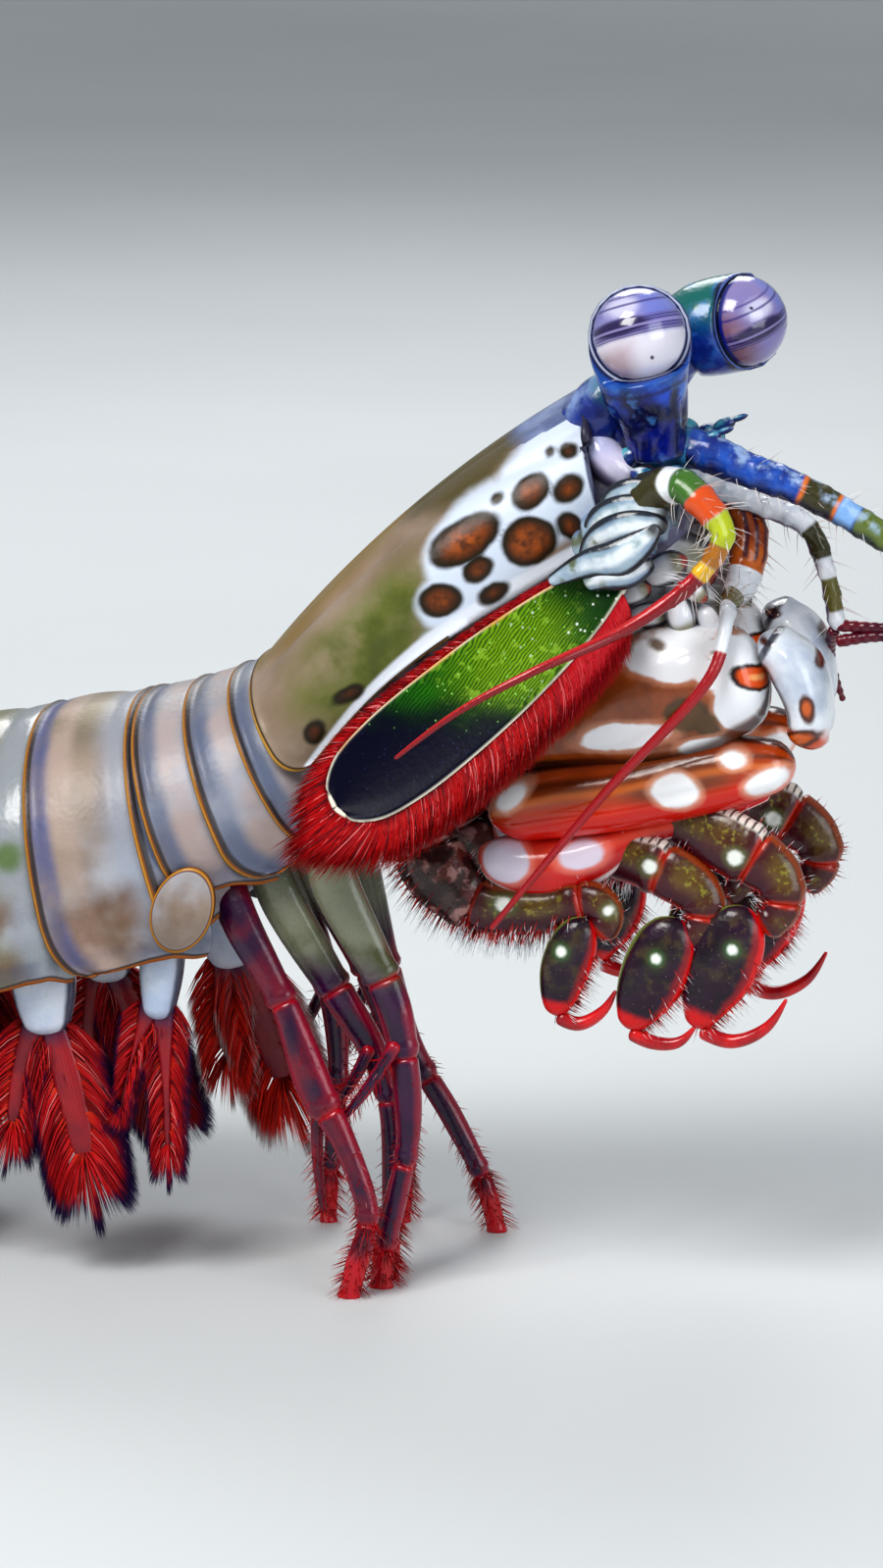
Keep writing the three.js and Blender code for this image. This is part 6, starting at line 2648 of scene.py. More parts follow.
GRASPERS = {
    "maxilliped_3": (
        (
            (8, 1.3, 37.6, 0.9, 1.4), (12.6, 1.6, 34.4, 0.9, 1.4), (17.2, 4.6, 34, 1.2, 1.5),
            (21.4, 6.2, 32.7, 1.3, 2.1),
            (25, 6.6, 30.4, 1.2, 1.6), (25.3, 6.8, 28.2, 1.1, 1.2), (23.9, 7, 26.9, 0.8, 0.9),
        ),
        (
            (22.9, 7.2, 28.4, 0.6, 0.9), (22.3, 7.2, 26.8, 1.1, 2.1), (21.2, 7.2, 24, 1.3, 2.5),
            (20.1, 7.2, 21.4, 1, 1.7), (19.6, 7.2, 19.6, 0.6, 0.7),
        ),
        ((19.8, 7.2, 19.5), (22, 7.2, 18.8), (24.3, 7.2, 19.8), (25.8, 7.2, 22)),
    ),
    "maxilliped_4": (
        (
            (3.6, 1.4, 35.6, 0.9, 1.4), (7.6, 1.8, 31.4, 0.9, 1.4), (13, 4.8, 31.2, 1.1, 1.5),
            (16.9, 6.4, 30.6, 1.2, 1.8),
            (19.7, 6.8, 28.8, 1.1, 1.5), (19.7, 7, 26.7, 1, 1.1), (18.4, 7.2, 26, 0.7, 0.8),
        ),
        (
            (18.3, 7.5, 27.4, 0.6, 0.9), (17.7, 7.5, 26, 1.1, 2), (16.6, 7.5, 23.4, 1.3, 2.35),
            (15.5, 7.5, 21, 1, 1.7), (14.8, 7.5, 19.4, 0.6, 0.7),
        ),
        ((14.9, 7.5, 19.2), (16.6, 7.5, 18.5), (18.3, 7.5, 18.6), (19.5, 7.5, 19.8)),
    ),
    "maxilliped_5": (
        (
            (-0.6, 4.6, 33.4, 1.7, 2), (0.6, 5.4, 30, 2, 2.3), (4, 6.2, 27.4, 1.5, 1.8),
            (8.6, 6.8, 27.4, 1.2, 1.4),
            (12.4, 7.2, 28.2, 1.1, 1.3), (13.4, 7.6, 27.2, 0.9, 1), (12.6, 7.8, 26, 0.7, 0.8),
        ),
        (
            (12, 8, 27.2, 0.5, 0.7), (11.3, 8, 25.9, 1, 1.5), (10.5, 8, 23.8, 1.1, 1.75),
            (10, 8, 21.6, 0.9, 1.3), (9.8, 8, 20.2, 0.5, 0.6),
        ),
        ((9.9, 8, 20.2), (11.4, 8, 19.7), (13, 8, 20.6), (14, 8, 22.2)),
    ),
}


@dataclass
class Grasper:
    """A small grasping leg beside the mouth: a jointed arm, a disc-shaped palm and a hooked finger."""

    name: str
    side: Side

    def build(self) -> list[bpy.types.Object]:
        """Makes the arm, the palm, the hook and their setae.

        Returns:
            The objects.
        """
        arm_rows, palm_rows, hook_rows = GRASPERS[self.name]
        hand, word = self.side.value, self.side.word
        ahead = 0.6 if self.side is Side.LEFT else 0.0

        def move(rows: Rows) -> Rows:
            """The rows with those in front moved ahead."""
            return [[row[0] + ahead * (row[0] > 10), *row[1:]] for row in rows]

        arms = jointed(
            [[x, y, z, w, 1.12 * d] for x, y, z, w, d in move(arm_rows)], ARM_CUTS[self.name], hand, 40,
        )
        palm = limb(move(palm_rows), 44, 50, (0.7, 0.5), hand=hand)
        hook = limb(
            [[*row, size] for row, size in zip(move(hook_rows), (0.55, 0.5, 0.38, 0.12))],
            18,
            50,
            (0.4, 0.15),
            hand=hand,
        )
        for k, arm in enumerate(arms):
            arm.fields["spot"] = oval_field(arm.points, ARM_SPOTS, ahead)
            upper = arm.fields["top"] * np.sign(np.gradient(arm.points[:, 0, 0]).mean() + 1e-6)
            arm.fields["high"] = upper * (0.15 < arm.fields["share"]) * (
                self.name != "maxilliped_5"
            ) * (k < 2)
            arm.fields["base"] = (self.name == "maxilliped_5" and k < 2) + 0 * arm.fields["top"]
        palm.fields["spot"] = oval_field(palm.points, PALM_SPOTS, ahead)
        palm.fields["side2"] = palm.fields["top"] * np.sign(
            (palm.points[20, 11, 0] - palm.points[20, 33, 0])
        )
        node = f"{self.name}_{word}"
        bristles = Setae(f"{node}_setae", WHITE_TIPPED, "maxilliped")
        rng = np.random.default_rng(len(arm_rows) + hand + int(palm_rows[0][0]))
        if self.name == "maxilliped_5":
            for arm, count in ((arms[0], 220), (arms[1], 260), (arms[2], 760)):
                root, out, _, place = setae_on(arm, rng, count, underneath)
                way = unit(out + np.array([-0.3, 0, -0.8])) * rng.uniform(0.6, 2.1, count)[:, None]
                bristles.add(root, way, rng.normal(0, 0.15, (count, 3)), 0.04, 1.0, place)
        root, out, ahead_way, place = setae_on(palm, rng, 130, palm_front)
        bristles.add(
            root,
            unit(out + 0.4 * ahead_way) * rng.uniform(0.5, 1.3, 130)[:, None],
            0.1 * out,
            0.035,
            1.0,
            place,
        )
        for arm in arms[1:]:
            root, out, _, place = setae_on(arm, rng, 60, above_and_below)
            bristles.add(
                root,
                out * rng.uniform(0.4, 1.0, 60)[:, None],
                rng.normal(0, 0.1, (60, 3)),
                0.03,
                1.0,
                place,
            )
        return [
            Piece(f"{node}_arm", "maxilliped", ARM, (node,), arms).build(),
            Piece(f"{node}_palm", "maxilliped", PALM, (), [palm]).build(),
            Piece(f"{node}_hook", "maxilliped", HOOK, (), [hook]).build(),
            bristles.build(),
        ]


MOUTH = Finish(
    "mouth shell", rgb(238, 238, 242), rgb(204, 210, 220), 420.0,
    (
        Layer(rgb(112, 104, 40), "share", 0.7, 2.0, 0.12, 0.3, 500.0, 0.8),
        # Near-black on the undersides: painted shade.
        Layer(rgb(28, 30, 44), "top", -2.0, -0.62, 0.14, 0.2, 500.0, 0.85),
        Layer(rgb(168, 32, 26), "share", 0.9, 2.0, 0.05, 0.2, 500.0, 0.8),
        Layer(rgb(36, 34, 48), "low", 0.84, 2.0, 0.07, 0.1, 500.0, 0.85),
    ),
    roughness=0.22, coat=0.6, relief=0.05, relief_scale=700.0,
)


KNOBS = Finish(
    "antennule base", rgb(34, 78, 168), rgb(12, 26, 96), 620.0,
    (
        Layer(rgb(96, 190, 200), "top", 0.2, 2.0, 0.3, 0.9, 700.0, 0.8, Blotches(700.0, 0.5, 0.1)),
        # White blotches on the upper faces: painted highlights.
        Layer(rgb(232, 240, 246), "top", 0.45, 2.0, 0.2, 0.9, 700.0, 0.9, Blotches(900.0, 0.54, 0.07)),
        # Near-black on the underside: painted shade.
        Layer(rgb(10, 8, 30), "top", -2.0, -0.35, 0.2, 0.5, 700.0, 0.85),
    ),
    roughness=0.24, coat=0.5, relief=0.08, relief_scale=900.0,
)
ROOTS = Finish(
    "antenna root shell", rgb(120, 144, 172), rgb(164, 184, 196), 420.0,
    (
        # White blotches on the upper faces: painted highlights.
        Layer(rgb(232, 238, 242), "top", -0.3, 0.4, 0.2, 0.5, 500.0, 0.9, Blotches(360.0, 0.42, 0.14)),
        Layer(rgb(96, 140, 140), "top", -0.1, 0.5, 0.2, 0.5, 500.0, 0.6, Blotches(520.0, 0.56, 0.08)),
        Layer(rgb(104, 134, 176), "side", -2.0, 0.4, 0.3, 0.3, 400.0, 0.7),
        Layer(rgb(84, 90, 40), "share", 0.05, 0.5, 0.1, strength=0.85, pattern=Blotches(420.0, 0.6, 0.05)),
        # Near-black along the bands' upper and lower borders and at the far ends: painted shade in the
        # grooves between bands.
        Layer(rgb(10, 12, 26), "low", 0.56, 2.0, 0.1, 0.3, 500.0, 0.95),
        Layer(rgb(10, 12, 26), "share", 0.9, 2.0, 0.05, 0.1, 500.0, 0.9),
    ),
    roughness=0.2, coat=0.5, relief=0.05, relief_scale=700.0,
)


@dataclass
class HeadFront:
    """What shows in front of the head shield: pearly bulbs, antenna bases, mouth plates and cleaning legs."""

    lip: Rows = ((13, 0, 50, 3.6, 2.6), (17.2, 0, 50.6, 3.2, 2.6), (19.6, 0, 50.4, 2, 1.4))
    feeler: Rows = ((16.4, 2.4, 50, 1.2), (19.4, 2.8, 48.8, 0.9), (20.2, 2.6, 47.4, 0.5))
    cleaning: Rows = ((9, 4.2, 44.6, 0.9), (15, 3, 47, 0.8), (18.6, 2, 46.6, 0.7), (19.8, 1.4, 45, 0.5))
    bulb: Rows = (
        (10.4, 3.4, 60.0, 0.8, 0.8), (11.6, 4.1, 59.4, 1.3, 1.3), (13.2, 4.3, 58.0, 1.4, 1.35),
        (14.6, 3.8, 56.8, 0.7, 0.8),
    )
    eggs: Rows = (
        (15.8, 5.4, 48.2, 1.6, 0.9, 10), (18.0, 6.2, 48.4, 1.5, 1.0, -70), (20.0, 5.4, 47.8, 1.5, 0.9, -60),
        (17.0, 6.4, 51.6, 1.7, 1.1, 30),
        (18.8, 6.0, 50.2, 1.3, 0.8, -40), (15.0, 7.0, 50.0, 1.2, 0.8, 20),
    )
    root: Rows = (
        (11.6, 6.4, 51.6, 1.2), (13.0, 7.2, 53.2, 2.2), (14.8, 7.4, 54.6, 2.2), (16.8, 7.2, 55.8, 1.5),
        (18.0, 7.0, 56.4, 0.9),
    )
    bands: Sequence[Rows] = (
        (
            (13.3, 8.4, 55.2, 0.3), (13.9, 8.8, 56.6, 0.62), (15.4, 9.0, 57.2, 0.66),
            (17.0, 9.0, 57.0, 0.55), (17.8, 8.8, 56.7, 0.25),
        ),
        (
            (12.1, 8.4, 53.4, 0.3), (13.0, 9.1, 55.2, 0.66), (14.8, 9.4, 56.0, 0.72),
            (16.6, 9.3, 56.0, 0.6), (17.6, 9.0, 55.8, 0.25),
        ),
        (
            (11.7, 8.6, 52.0, 0.3), (12.9, 9.4, 53.9, 0.66), (14.8, 9.8, 54.9, 0.74),
            (16.6, 9.6, 55.1, 0.6), (17.6, 9.2, 55.0, 0.25),
        ),
        (
            (9.6, 10.2, 51.0, 0.25), (12.3, 10.3, 52.4, 0.62), (14.4, 10.4, 52.9, 0.82),
            (16.0, 10.2, 54.0, 0.62), (17.0, 9.8, 55.2, 0.25),
        ),
        (
            (12.0, 9.8, 50.9, 0.35), (13.6, 10.2, 51.7, 0.72), (15.2, 10.0, 51.9, 0.66),
            (16.6, 9.4, 52.6, 0.3),
        ),
    )
    block: Rows = (
        (14.4, -4.6, 60.6, 1.4), (14.2, -3.0, 60.8, 2.4), (13.9, 0.0, 61.0, 2.7), (14.2, 3.0, 60.8, 2.4),
        (14.4, 4.6, 60.6, 1.4),
    )
    shoulder: Rows = (
        (10.4, 2.6, 59.6, 1.6), (11.4, 3.0, 61.2, 2.2), (12.2, 3.2, 62.6, 2.0), (13.4, 3.6, 64.0, 1.2),
    )
    knobs: Rows = (
        (14.2, 4.4, 58.9, 1.0, 0.8, 40), (16.4, 4.2, 59.6, 1.2, 0.8, -20), (18.4, 3.4, 59.2, 1.1, 0.9, -40),
        (15.4, 5.0, 57.4, 1.3, 0.8, -30),
        (17.6, 4.6, 57.6, 1.1, 0.75, -35), (19.4, 3.0, 60.2, 0.9, 0.45, 25),
        (20.4, 3.0, 60.7, 0.7, 0.22, 20),
    )

    def blob(self, x: float, y: float, z: float, long: float, wide: float, turn: float = 0.0) -> Patch:
        """An egg shape as a limb.

        Args:
            x: Its middle ahead.
            y: Its middle to the left.
            z: Its middle up.
            long: Half its length in mm.
            wide: Half its width in mm.
            turn: The turn of its length up from +X in degrees.

        Returns:
            The patch.
        """
        way = np.array([math.cos(math.radians(turn)), 0, math.sin(math.radians(turn))]) * long
        centre = np.array([x, y, z])
        rows = [
            [*(centre + way * t), wide * size]
            for t, size in ((-1, 0.55), (-0.35, 1.0), (0.35, 1.0), (1, 0.5))
        ]
        return limb(rows, 28, 22, (0.45 * long, 0.45 * long))

    def build(self) -> list[bpy.types.Object]:
        """Makes these parts on both sides.

        Returns:
            The objects.
        """

        def crumple(share: Array, along: Array, turn: Array) -> Array:
            """Crumpled soft skin."""
            return 0.16 * np.sin(5 * turn + 3 * along) * np.sin(2 * along)

        def ribs(share: Array, along: Array, turn: Array) -> Array:
            """Ribs across the antenna's root."""
            return 0.2 * np.cos(along * 5.0) - 0.1 * np.cos(2 * turn)

        mouth, bulbs, roots = [limb(self.lip, 36, 24, (1.0, 1.0))], [], []
        knobs, flesh = [], [limb(self.block, 40, 50, (1.2, 1.2), np.array([1.0, 0, 0]), swell=crumple)]
        for side in Side:
            hand = side.value
            mouth.append(limb(self.feeler, 18, 22, (0.6, 0.3), hand=hand))
            bulbs.append(limb(self.bulb, 40, 24, (0.8, 0.8), hand=hand))
            mouth += [
                self.blob(x, hand * y, z, long, wide, turn) for x, y, z, long, wide, turn in self.eggs
            ]
            knobs += [
                self.blob(x, hand * y, z, long, wide, turn) for x, y, z, long, wide, turn in self.knobs
            ]
            roots += [
                limb(
                    [[x, out - 0.2, z, 0.7 * size, 1.6 * size] for x, out, z, size in band],
                    28,
                    28,
                    (0.3, 0.25),
                    hand=hand,
                )
                for band in self.bands
            ]
            # The field low rises towards each band's upper and lower borders, where the roots' finish paints
            # shade.
            for band in roots[-len(self.bands):]:
                band.fields["low"] = np.abs(band.fields["top"]) - 0.1
            roots.append(limb(self.root, 40, 60, (0.8, 0.6), swell=ribs, hand=hand))
            roots[-1].fields["low"] = np.zeros_like(roots[-1].fields["top"])
            for plate in mouth:
                plate.fields["low"] = np.abs(plate.fields["top"])
            flesh.append(limb(self.shoulder, 32, 30, (0.9, 0.8), np.array([0, 1.0, 0]), hand=hand))
        made = [
            Piece("mouth_plates", "mouthparts", MOUTH, ("mouthparts",), mouth).build(),
            Piece("head_bulbs", "blue_flesh", PEARL, (), bulbs).build(),
            Piece("head_knobs", "blue_flesh", KNOBS, (), knobs).build(),
            Piece("head_flesh", "blue_flesh", BLUE_HEAD, (), flesh).build(),
            Piece("antenna_roots", "antenna", ROOTS, (), roots).build(),
        ]
        for side in Side:
            node = f"maxilliped_1_{side.word}"
            leg = limb(self.cleaning, 18, 50, (0.6, 0.3), None, hand=side.value)
            made.append(Piece(f"{node}_leg", "mouthparts", MOUTH, (node,), [leg]).build())
        return made


# legs; each has the rows of its limb, the rows of its branch and the shares where its joints lie

LEG = Finish(
    "walking leg shell", rgb(58, 8, 58), rgb(30, 8, 44), 420.0,
    (
        Layer(rgb(132, 136, 112), "high", 23.0, 99.0, 2.0, 3.0, 300.0, 0.85),
        Layer(rgb(62, 66, 18), "high", 19.5, 25.0, 1.2, 2.0, 300.0, 0.85, Blotches(420.0, 0.6, 0.15)),
        Layer(rgb(150, 4, 44), "edge", 0.62, 2.0, 0.3, 0.5, 400.0, 0.85),
        Layer(rgb(196, 10, 26), "ends", -9.0, 0.4, 0.3, 0.5, 500.0, 0.85),
        Layer(rgb(196, 8, 26), "high", -9.0, 3.0, 0.8, 0.8, 400.0, 0.9),
    ),
    roughness=0.28, coat=0.4, relief=0.05, relief_scale=900.0,
)
CRIMSON_LEG = Finish(
    "crimson leg shell", rgb(112, 6, 36), rgb(44, 8, 48), 360.0,
    LEG.layers[2:],
    roughness=0.28, coat=0.4, relief=0.05, relief_scale=900.0,
)
WALKING_LEGS = {
    "leg_6_right": (
        (
            (-6.9, 6.8, 33, 1.1, 1.7), (-6.1, 7.8, 29.4, 1.1, 1.75), (-1.8, 8.3, 20.8, 1, 1.3),
            (-0.9, 8.4, 16.8, 0.9, 1.1),
            (-0.6, 8.4, 13.4, 0.85, 1), (-0.7, 8.3, 10.2, 0.75, 0.85), (-2.2, 8.3, 3.4, 0.75, 0.85),
            (-2.6, 8.3, -0.8, 0.6, 0.8),
        ),
        ((-1.2, 9.2, 18), (-3, 9.7, 15), (-5, 9.9, 12.4)),
        (0.34, 0.5, 0.72, 0.9),
    ),
    "leg_7_right": (
        (
            (-11.4, 6, 31, 1, 1.5), (-10.4, 6.6, 28, 1, 1.6), (-6, 6.2, 20.4, 0.9, 1.3),
            (-3.6, 6, 16.4, 0.8, 1),
            (-2.5, 5.6, 12, 0.75, 0.85), (-2.4, 5.6, 5, 0.65, 0.75), (-2.7, 5.6, -0.8, 0.6, 0.7),
        ),
        ((-3.6, 6.8, 17), (-4.8, 6.8, 14.6), (-6.4, 6.8, 12)),
        (0.34, 0.6, 0.86),
    ),
    "leg_8_right": (
        (
            (-14.4, 7.2, 30.6, 1, 1.4), (-12.8, 8.6, 26.6, 1, 1.4), (-9, 9.8, 20.2, 0.9, 1.1),
            (-6.6, 10.5, 14.4, 0.9, 1.35),
            (-4.6, 10.8, 11, 0.8, 0.9), (-2.9, 11, 5.6, 0.7, 0.85), (-3.7, 11.1, 2.4, 0.7, 0.8),
            (-4.4, 11.2, -0.8, 0.6, 0.8),
        ),
        ((-6.7, 9.8, 13.4), (-6.9, 9.3, 9.6), (-6.6, 8.8, 5.4)),
        (0.34, 0.58, 0.82),
    ),
    "leg_6_left": (
        (
            (-8.8, 6.8, 33, 1.1, 1.7), (-8.2, 7.6, 28.4, 1.1, 1.7), (-5.7, 7.6, 19, 1, 1.2),
            (-4, 7.5, 13.6, 0.9, 1),
            (-0.8, 7.3, 8.4, 0.75, 0.85), (1.6, 7.3, 3.6, 0.7, 0.75), (2.7, 7.3, -0.8, 0.6, 0.7),
        ),
        ((-5.2, 8.6, 18), (-6.8, 9, 15.2), (-8.2, 9.2, 13)),
        (0.4, 0.64, 0.86),
    ),
    "leg_7_left": (
        (
            (-11.6, 6.4, 31, 1, 1.5), (-10.4, 7.4, 26, 1, 1.5), (-6.8, 8, 18, 0.9, 1.1),
            (-4.3, 8.1, 11, 0.75, 0.85), (-4.4, 8.3, 4.6, 0.65, 0.75), (-4.9, 8.4, -0.8, 0.6, 0.7),
        ),
        ((-7.2, 9, 18), (-8.4, 9.4, 15.2), (-9.2, 9.6, 12.6)),
        (0.4, 0.66, 0.87),
    ),
    "leg_8_left": (
        (
            (-14.4, 7.4, 30.4, 1, 1.4), (-12.8, 8.2, 25.4, 1, 1.3), (-9.8, 8.2, 16.4, 0.8, 1),
            (-9.3, 7.8, 10.4, 0.65, 0.75), (-9.7, 7.5, 5, 0.6, 0.65), (-10, 7.3, -0.8, 0.55, 0.6),
        ),
        ((-10.4, 9.2, 17.4), (-12, 9.8, 14.4), (-13.2, 10.2, 11.6)),
        (0.42, 0.66, 0.86),
    ),
}


@dataclass
class WalkingLeg:
    """A walking leg: a jointed limb on a small flat foot, a slender branch at its knee, and setae."""

    name: str
    side: Side

    def build(self) -> list[bpy.types.Object]:
        """Makes the leg, its branch and its setae.

        Returns:
            The objects.
        """
        rows, branch_rows, cuts = WALKING_LEGS[self.name]
        hand = self.side.value
        parts = jointed(rows, cuts, hand)
        branch = limb(
            [[*row, size] for row, size in zip(branch_rows, (0.5, 0.42, 0.26))],
            14,
            40,
            (0.4, 0.2),
            None,
            hand=hand,
        )
        branch.fields["ends"] = 3.0 * branch.fields["share"] + 0.2
        for patch in (*parts, branch):
            patch.points[..., 2] = np.maximum(patch.points[..., 2], 0.0)
            patch.fields["high"] = patch.points[..., 2]
            patch.fields["edge"] = np.abs(patch.fields["top"]) - 0.5 * smooth(
                (patch.points[..., 2] - 19) / 4
            )
        rng = np.random.default_rng(len(self.name) + int(rows[0][0] * -7) + hand)
        setae = Setae(f"{self.name}_setae", RED_FRINGE, "walking_leg")
        for patch, count, keep, size in (
            (parts[-1], 240, off_the_floor, 1.6),
            (parts[-2], 110, towards_end_sharply, 1.1),
            (parts[-3], 70, towards_end_sharply, 0.8),
            (branch, 130, towards_end, 1.5),
        ):
            root, out, along, place = setae_on(patch, rng, count, keep)
            way = unit(out + 0.8 * along) * (size * rng.uniform(0.4, 1.0, count))[:, None]
            way[:, 2] = np.maximum(way[:, 2], 0.12 - root[:, 2])
            setae.add(root, way, 0.0 * way, 0.035, 1.0, place)
        finish = CRIMSON_LEG if self.name == "leg_8_right" else LEG
        return [
            Piece(f"{self.name}_limb", "walking_leg", finish, (self.name,), [*parts, branch]).build(),
            setae.build(),
        ]


PADDLE = Finish(
    "swimming leg shell", rgb(176, 190, 214), rgb(214, 218, 228), 260.0,
    (
        Layer(rgb(24, 30, 66), "edge", 0.84, 2.0, 0.08, 0.12, 400.0, 0.9),
        Layer(rgb(40, 60, 120), "share", -1.0, 0.14, 0.08, 0.1, 400.0, 0.8),
        Layer(rgb(206, 206, 200), "side", 0.2, 2.0, 0.3, 0.4, 400.0, 0.5),
    ),
    roughness=0.28, coat=0.45, relief=0.05, relief_scale=600.0,
)
LOBE = Finish(
    "swimming leg lobe", rgb(160, 20, 30), rgb(110, 12, 32), 320.0,
    (
        Layer(rgb(120, 8, 30), "top", strength=0.6, pattern=Stripes("top", 0.22, 0.4, 0.2, 0.1)),
        Layer(rgb(44, 18, 66), "share", -1.0, 0.16, 0.08, 0.1, 400.0, 0.8),
    ),
    roughness=0.36, coat=0.3, relief=0.06, relief_scale=700.0,
)


@dataclass(frozen=True)
class PaddlePlan:
    """Sizes of a pair of swimming legs: where they hang, their length and spread, and each side's beat in
    degrees and broad lobe's half width."""

    ring: str
    share: float
    length: float
    spread: float
    beat: dict[Side, tuple[float, float]]


PADDLES = (
    PaddlePlan("abdomen_1", 0.12, 17.4, 15, {Side.RIGHT: (3, 0.9), Side.LEFT: (-13, 3.0)}),
    PaddlePlan("abdomen_2", 0.1, 17.0, 22, {Side.RIGHT: (-6, 2.8), Side.LEFT: (-10, 2.6)}),
    PaddlePlan("abdomen_3", 0.2, 14.4, 20, {Side.RIGHT: (16, 2.6), Side.LEFT: (8, 2.6)}),
    PaddlePlan("abdomen_4", 0.25, 12.6, 20, {Side.RIGHT: (24, 2.4), Side.LEFT: (18, 2.4)}),
    PaddlePlan("abdomen_5", 0.3, 10.6, 20, {Side.RIGHT: (32, 2.1), Side.LEFT: (28, 2.1)}),
)


@dataclass
class Paddle:
    """A swimming leg: a stout stem and two feathery lobes edged with long setae."""

    number: int
    side: Side

    def place(self, root: Array, turn: float, far: float) -> Array:
        """A place at a distance from the root in a direction turned back from straight down."""
        angle = math.radians(turn)
        return root + np.array([-math.sin(angle), self.side.value * 0.1, -math.cos(angle)]) * far

    def build(self) -> list[bpy.types.Object]:
        """Makes the stem, the lobes and their setae.

        Returns:
            The objects.
        """
        plan = PADDLES[self.number - 1]
        hand = self.side.value
        beat, fan = plan.beat[self.side]
        ring = PLAN[plan.ring]
        root = ring.place(plan.share, hand * 0.6 * ring.rear[3], 0.9 * ring.rear[4])
        far = plan.length
        rows = [
            [*self.place(root, beat, f * far), w, d]
            for f, w, d in ((0, 1.4, 2.4), (0.2, 1.5, 2.2), (0.36, 1.0, 1.4))
        ]
        if fan < 1:
            rows = [[*row[:4], 0.66 * row[4]] for row in rows]
        stem = limb(rows, 36, 40, (1.0, 0.8), power=2.6)
        stem.fields["edge"] = np.abs(stem.fields["top"])
        node = f"pleopod_{self.number}_{self.side.word}"
        lobes = []
        finish = FLAME_FAN if node == "pleopod_1_left" else PURPLE_TIPPED
        setae = Setae(f"{node}_setae", finish, "swimming_leg")
        rng = np.random.default_rng(self.number * 2 + hand)
        for turn, broad, reach in ((-plan.spread / 3, fan, 1.0), (2 * plan.spread / 3, 0.6 * fan, 0.84)):
            stations = (
                (0.28, turn / 2, 0.6, 1.0), (0.6 * reach, turn, 0.45, 0.4 * broad),
                (0.82 * reach, turn, 0.35, 0.32 * broad), (0.9 * reach, turn, 0.25, 0.15 * broad),
            )
            lobe_rows = [[*self.place(root, beat + t, f * far), w, d] for f, t, w, d in stations]
            lobe = limb(lobe_rows, 32, 50, (0.6, 0.9))
            lobes.append(lobe)
            count = 2600 if broad > 2 else 1100
            where, out, along, spot = setae_on(lobe, rng, count, lobe_border)
            size = (1.2 + 0.85 * broad) * rng.uniform(0.88, 1.02, count)
            way = unit(
                out * 0.8 + along * 0.7 + rng.normal(0, 0.03, (count, 3)) * [1, 3, 1]
            ) * size[:, None]
            bend = along * 0.6 * size[:, None] - out * 0.15
            way[:, 2] = np.maximum(way[:, 2], 0.4 - where[:, 2])
            setae.add(where, way, bend, 0.06, 0.3 + spot[:, 0], spot)
        return [
            Piece(f"{node}_stem", "swimming_leg", PADDLE, (node,), [stem]).build(),
            Piece(f"{node}_lobes", "swimming_leg", LOBE, (), lobes).build(),
            setae.build(),
        ]


# the studio


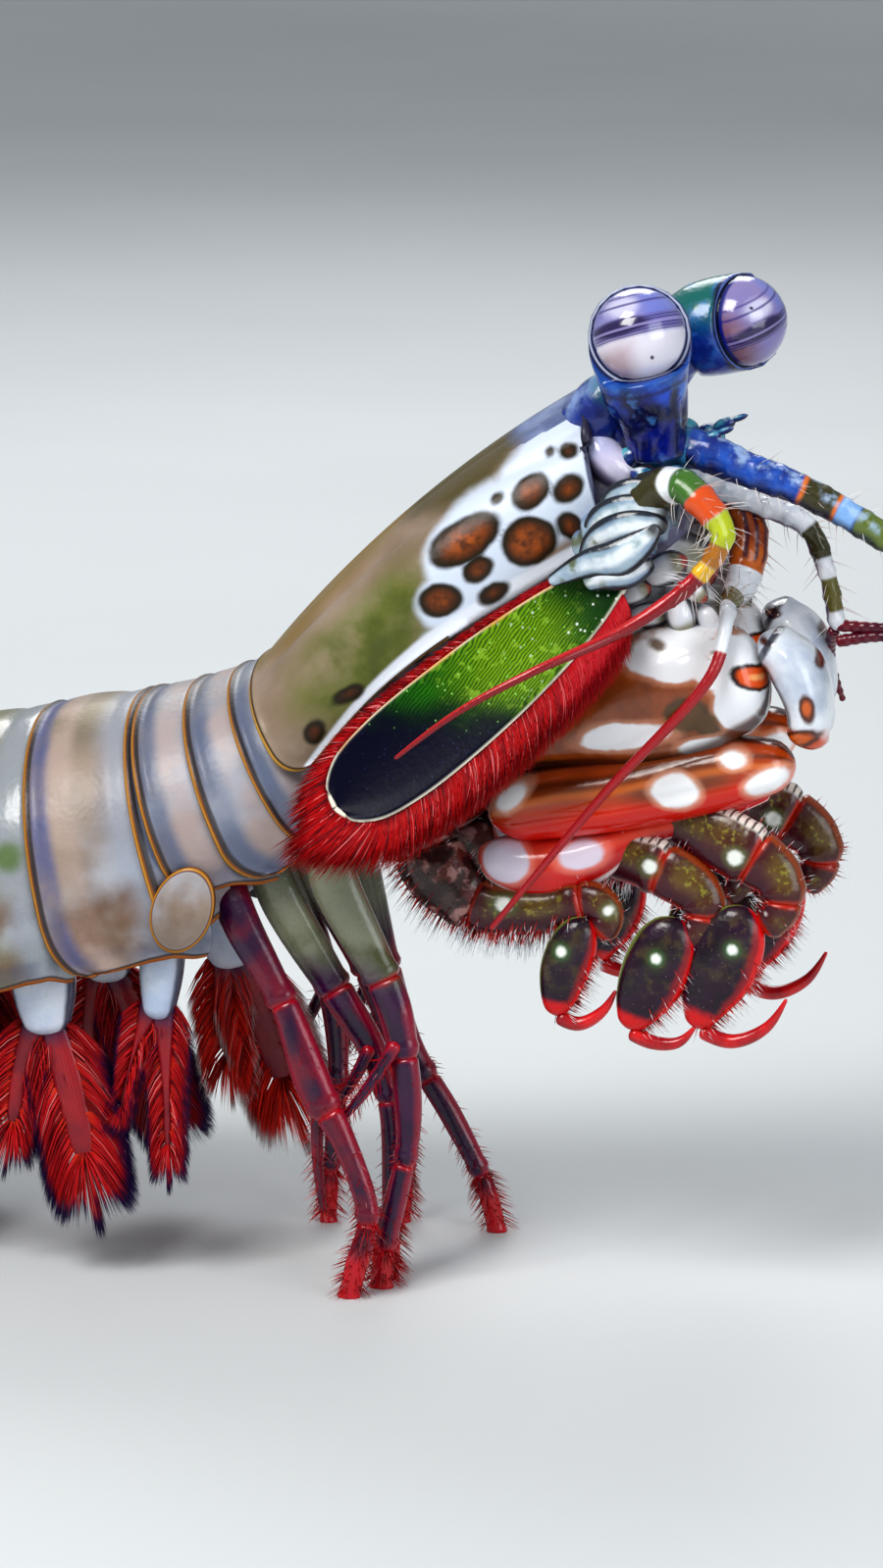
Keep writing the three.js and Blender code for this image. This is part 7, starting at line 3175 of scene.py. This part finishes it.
@dataclass
class Studio:
    """A pale floor and background, soft lights and the camera at the photograph's angle."""

    azimuth: float = 12.0
    elevation: float = 12.0
    distance: float = 450.0
    target: tuple[float, float, float] = (0.0, 0.0, 34.5)
    pixels_per_mm: float = 14.5
    frame_height: int = 1599
    sensor: float = 36.0

    def camera(self) -> bpy.types.Object:
        """The camera: it looks at the target from the given angle; its lens makes a mm at the target as many
        pixels as given, in a frame of the given height.

        Returns:
            The camera.
        """
        az, el = math.radians(self.azimuth), math.radians(self.elevation)
        back = Vector((math.sin(az) * math.cos(el), -math.cos(az) * math.cos(el), math.sin(el)))
        right = Vector((math.cos(az), math.sin(az), 0))
        up = back.cross(right)
        data = bpy.data.cameras.new("studio_camera")
        data.sensor_width = self.sensor
        data.sensor_fit = "AUTO"
        data.lens = self.pixels_per_mm * self.distance * self.sensor / self.frame_height
        data.clip_start, data.clip_end = 0.01, 20.0
        made = bpy.data.objects.new("studio_camera", data)
        bpy.context.scene.collection.objects.link(made)
        place = (Vector(self.target) + Vector(SHIFT)) * MM + back * self.distance * MM
        turn = Matrix((right, up, back)).transposed()
        made.matrix_world = Matrix.Translation(place) @ turn.to_4x4()
        bpy.context.scene.camera = made
        return made

    def floor(self) -> bpy.types.Object:
        """A pale floor that curves up far behind, with a faint mottle.

        Returns:
            The floor.
        """
        flat, curved = 28, 13
        side = flat + curved
        x = np.linspace(-1500, 1500, side)
        y = np.concatenate([np.linspace(-1500, 900, flat), np.linspace(1000, 1500, curved)])
        z = np.concatenate([np.zeros(flat), 900 * np.linspace(0.02, 1, curved) ** 1.7])
        points = np.stack(np.broadcast_arrays(x[None, :], y[:, None], z[:, None]), -1)
        index = np.arange(side * side).reshape(side, side)
        faces = np.stack(
            [index[:-1, :-1], index[:-1, 1:], index[1:, 1:], index[1:, :-1]], -1,
        ).reshape(-1, 4)
        made = mesh_object("studio_floor", points.reshape(-1, 3), faces, {})
        pale = Finish("studio paper", rgb(214, 218, 220), rgb(208, 212, 214), 6.0, (), 0.8, 0.0, 0.0)
        made.data.materials.append(pale.material())
        return made

    def light(
        self, name: str, place: tuple[float, float, float], size: float, power: float, tint: Colour,
    ) -> None:
        """A square soft light aimed at the animal.

        Args:
            name: Its name.
            place: Its place in mm from the target.
            size: Its side in mm.
            power: Its power in watts.
            tint: Its colour.
        """
        data = bpy.data.lights.new(name, "AREA")
        data.shape = "SQUARE"
        data.size = size * MM
        data.energy = power
        data.color = tint
        made = bpy.data.objects.new(name, data)
        made.location = (Vector(self.target) + Vector(SHIFT) + Vector(place)) * MM
        made.rotation_euler = Vector(place).to_track_quat("Z", "Y").to_euler()
        bpy.context.scene.collection.objects.link(made)

    def build(self) -> None:
        """Sets up the studio."""
        self.camera()
        self.floor()
        self.light("key_light", (-160, -330, 420), 260, 2.2, (1.0, 0.98, 0.95))
        self.light("fill_light", (420, -300, 160), 320, 0.9, (0.92, 0.96, 1.0))
        self.light("back_light", (-100, 420, 360), 300, 1.0, (1.0, 1.0, 1.0))
        world = bpy.data.worlds.new("studio_air")
        world.use_nodes = True
        world.node_tree.nodes["Background"].inputs[0].default_value = (0.86, 0.9, 0.93, 1)
        world.node_tree.nodes["Background"].inputs[1].default_value = 0.38
        bpy.context.scene.world = world
        bpy.context.scene.view_settings.view_transform = "Standard"
        bpy.context.scene.view_settings.look = "Medium High Contrast"


def main() -> None:
    """Builds the animal and the studio."""
    logging.basicConfig(level=logging.INFO, format="%(message)s")
    Studio().build()
    Carapace().build()
    BodyRings().build()
    Trunk().build()
    TailFan().build()
    RIGHT_EYE.build()
    LEFT_EYE.build()
    HeadFront().build()
    for side, setback in ((Side.RIGHT, 0.0), (Side.LEFT, 1.5)):
        FEELERS.build(side)
        AntennalScale(side).build()
        Claw(side, setback).build()
        for name in GRASPERS:
            Grasper(name, side).build()
        for number in range(1, 6):
            Paddle(number, side).build()
    for name in WALKING_LEGS:
        WalkingLeg(name, Side.RIGHT if name.endswith("right") else Side.LEFT).build()
    LOG.info("boxes written")


if __name__ == "__main__":
    main()
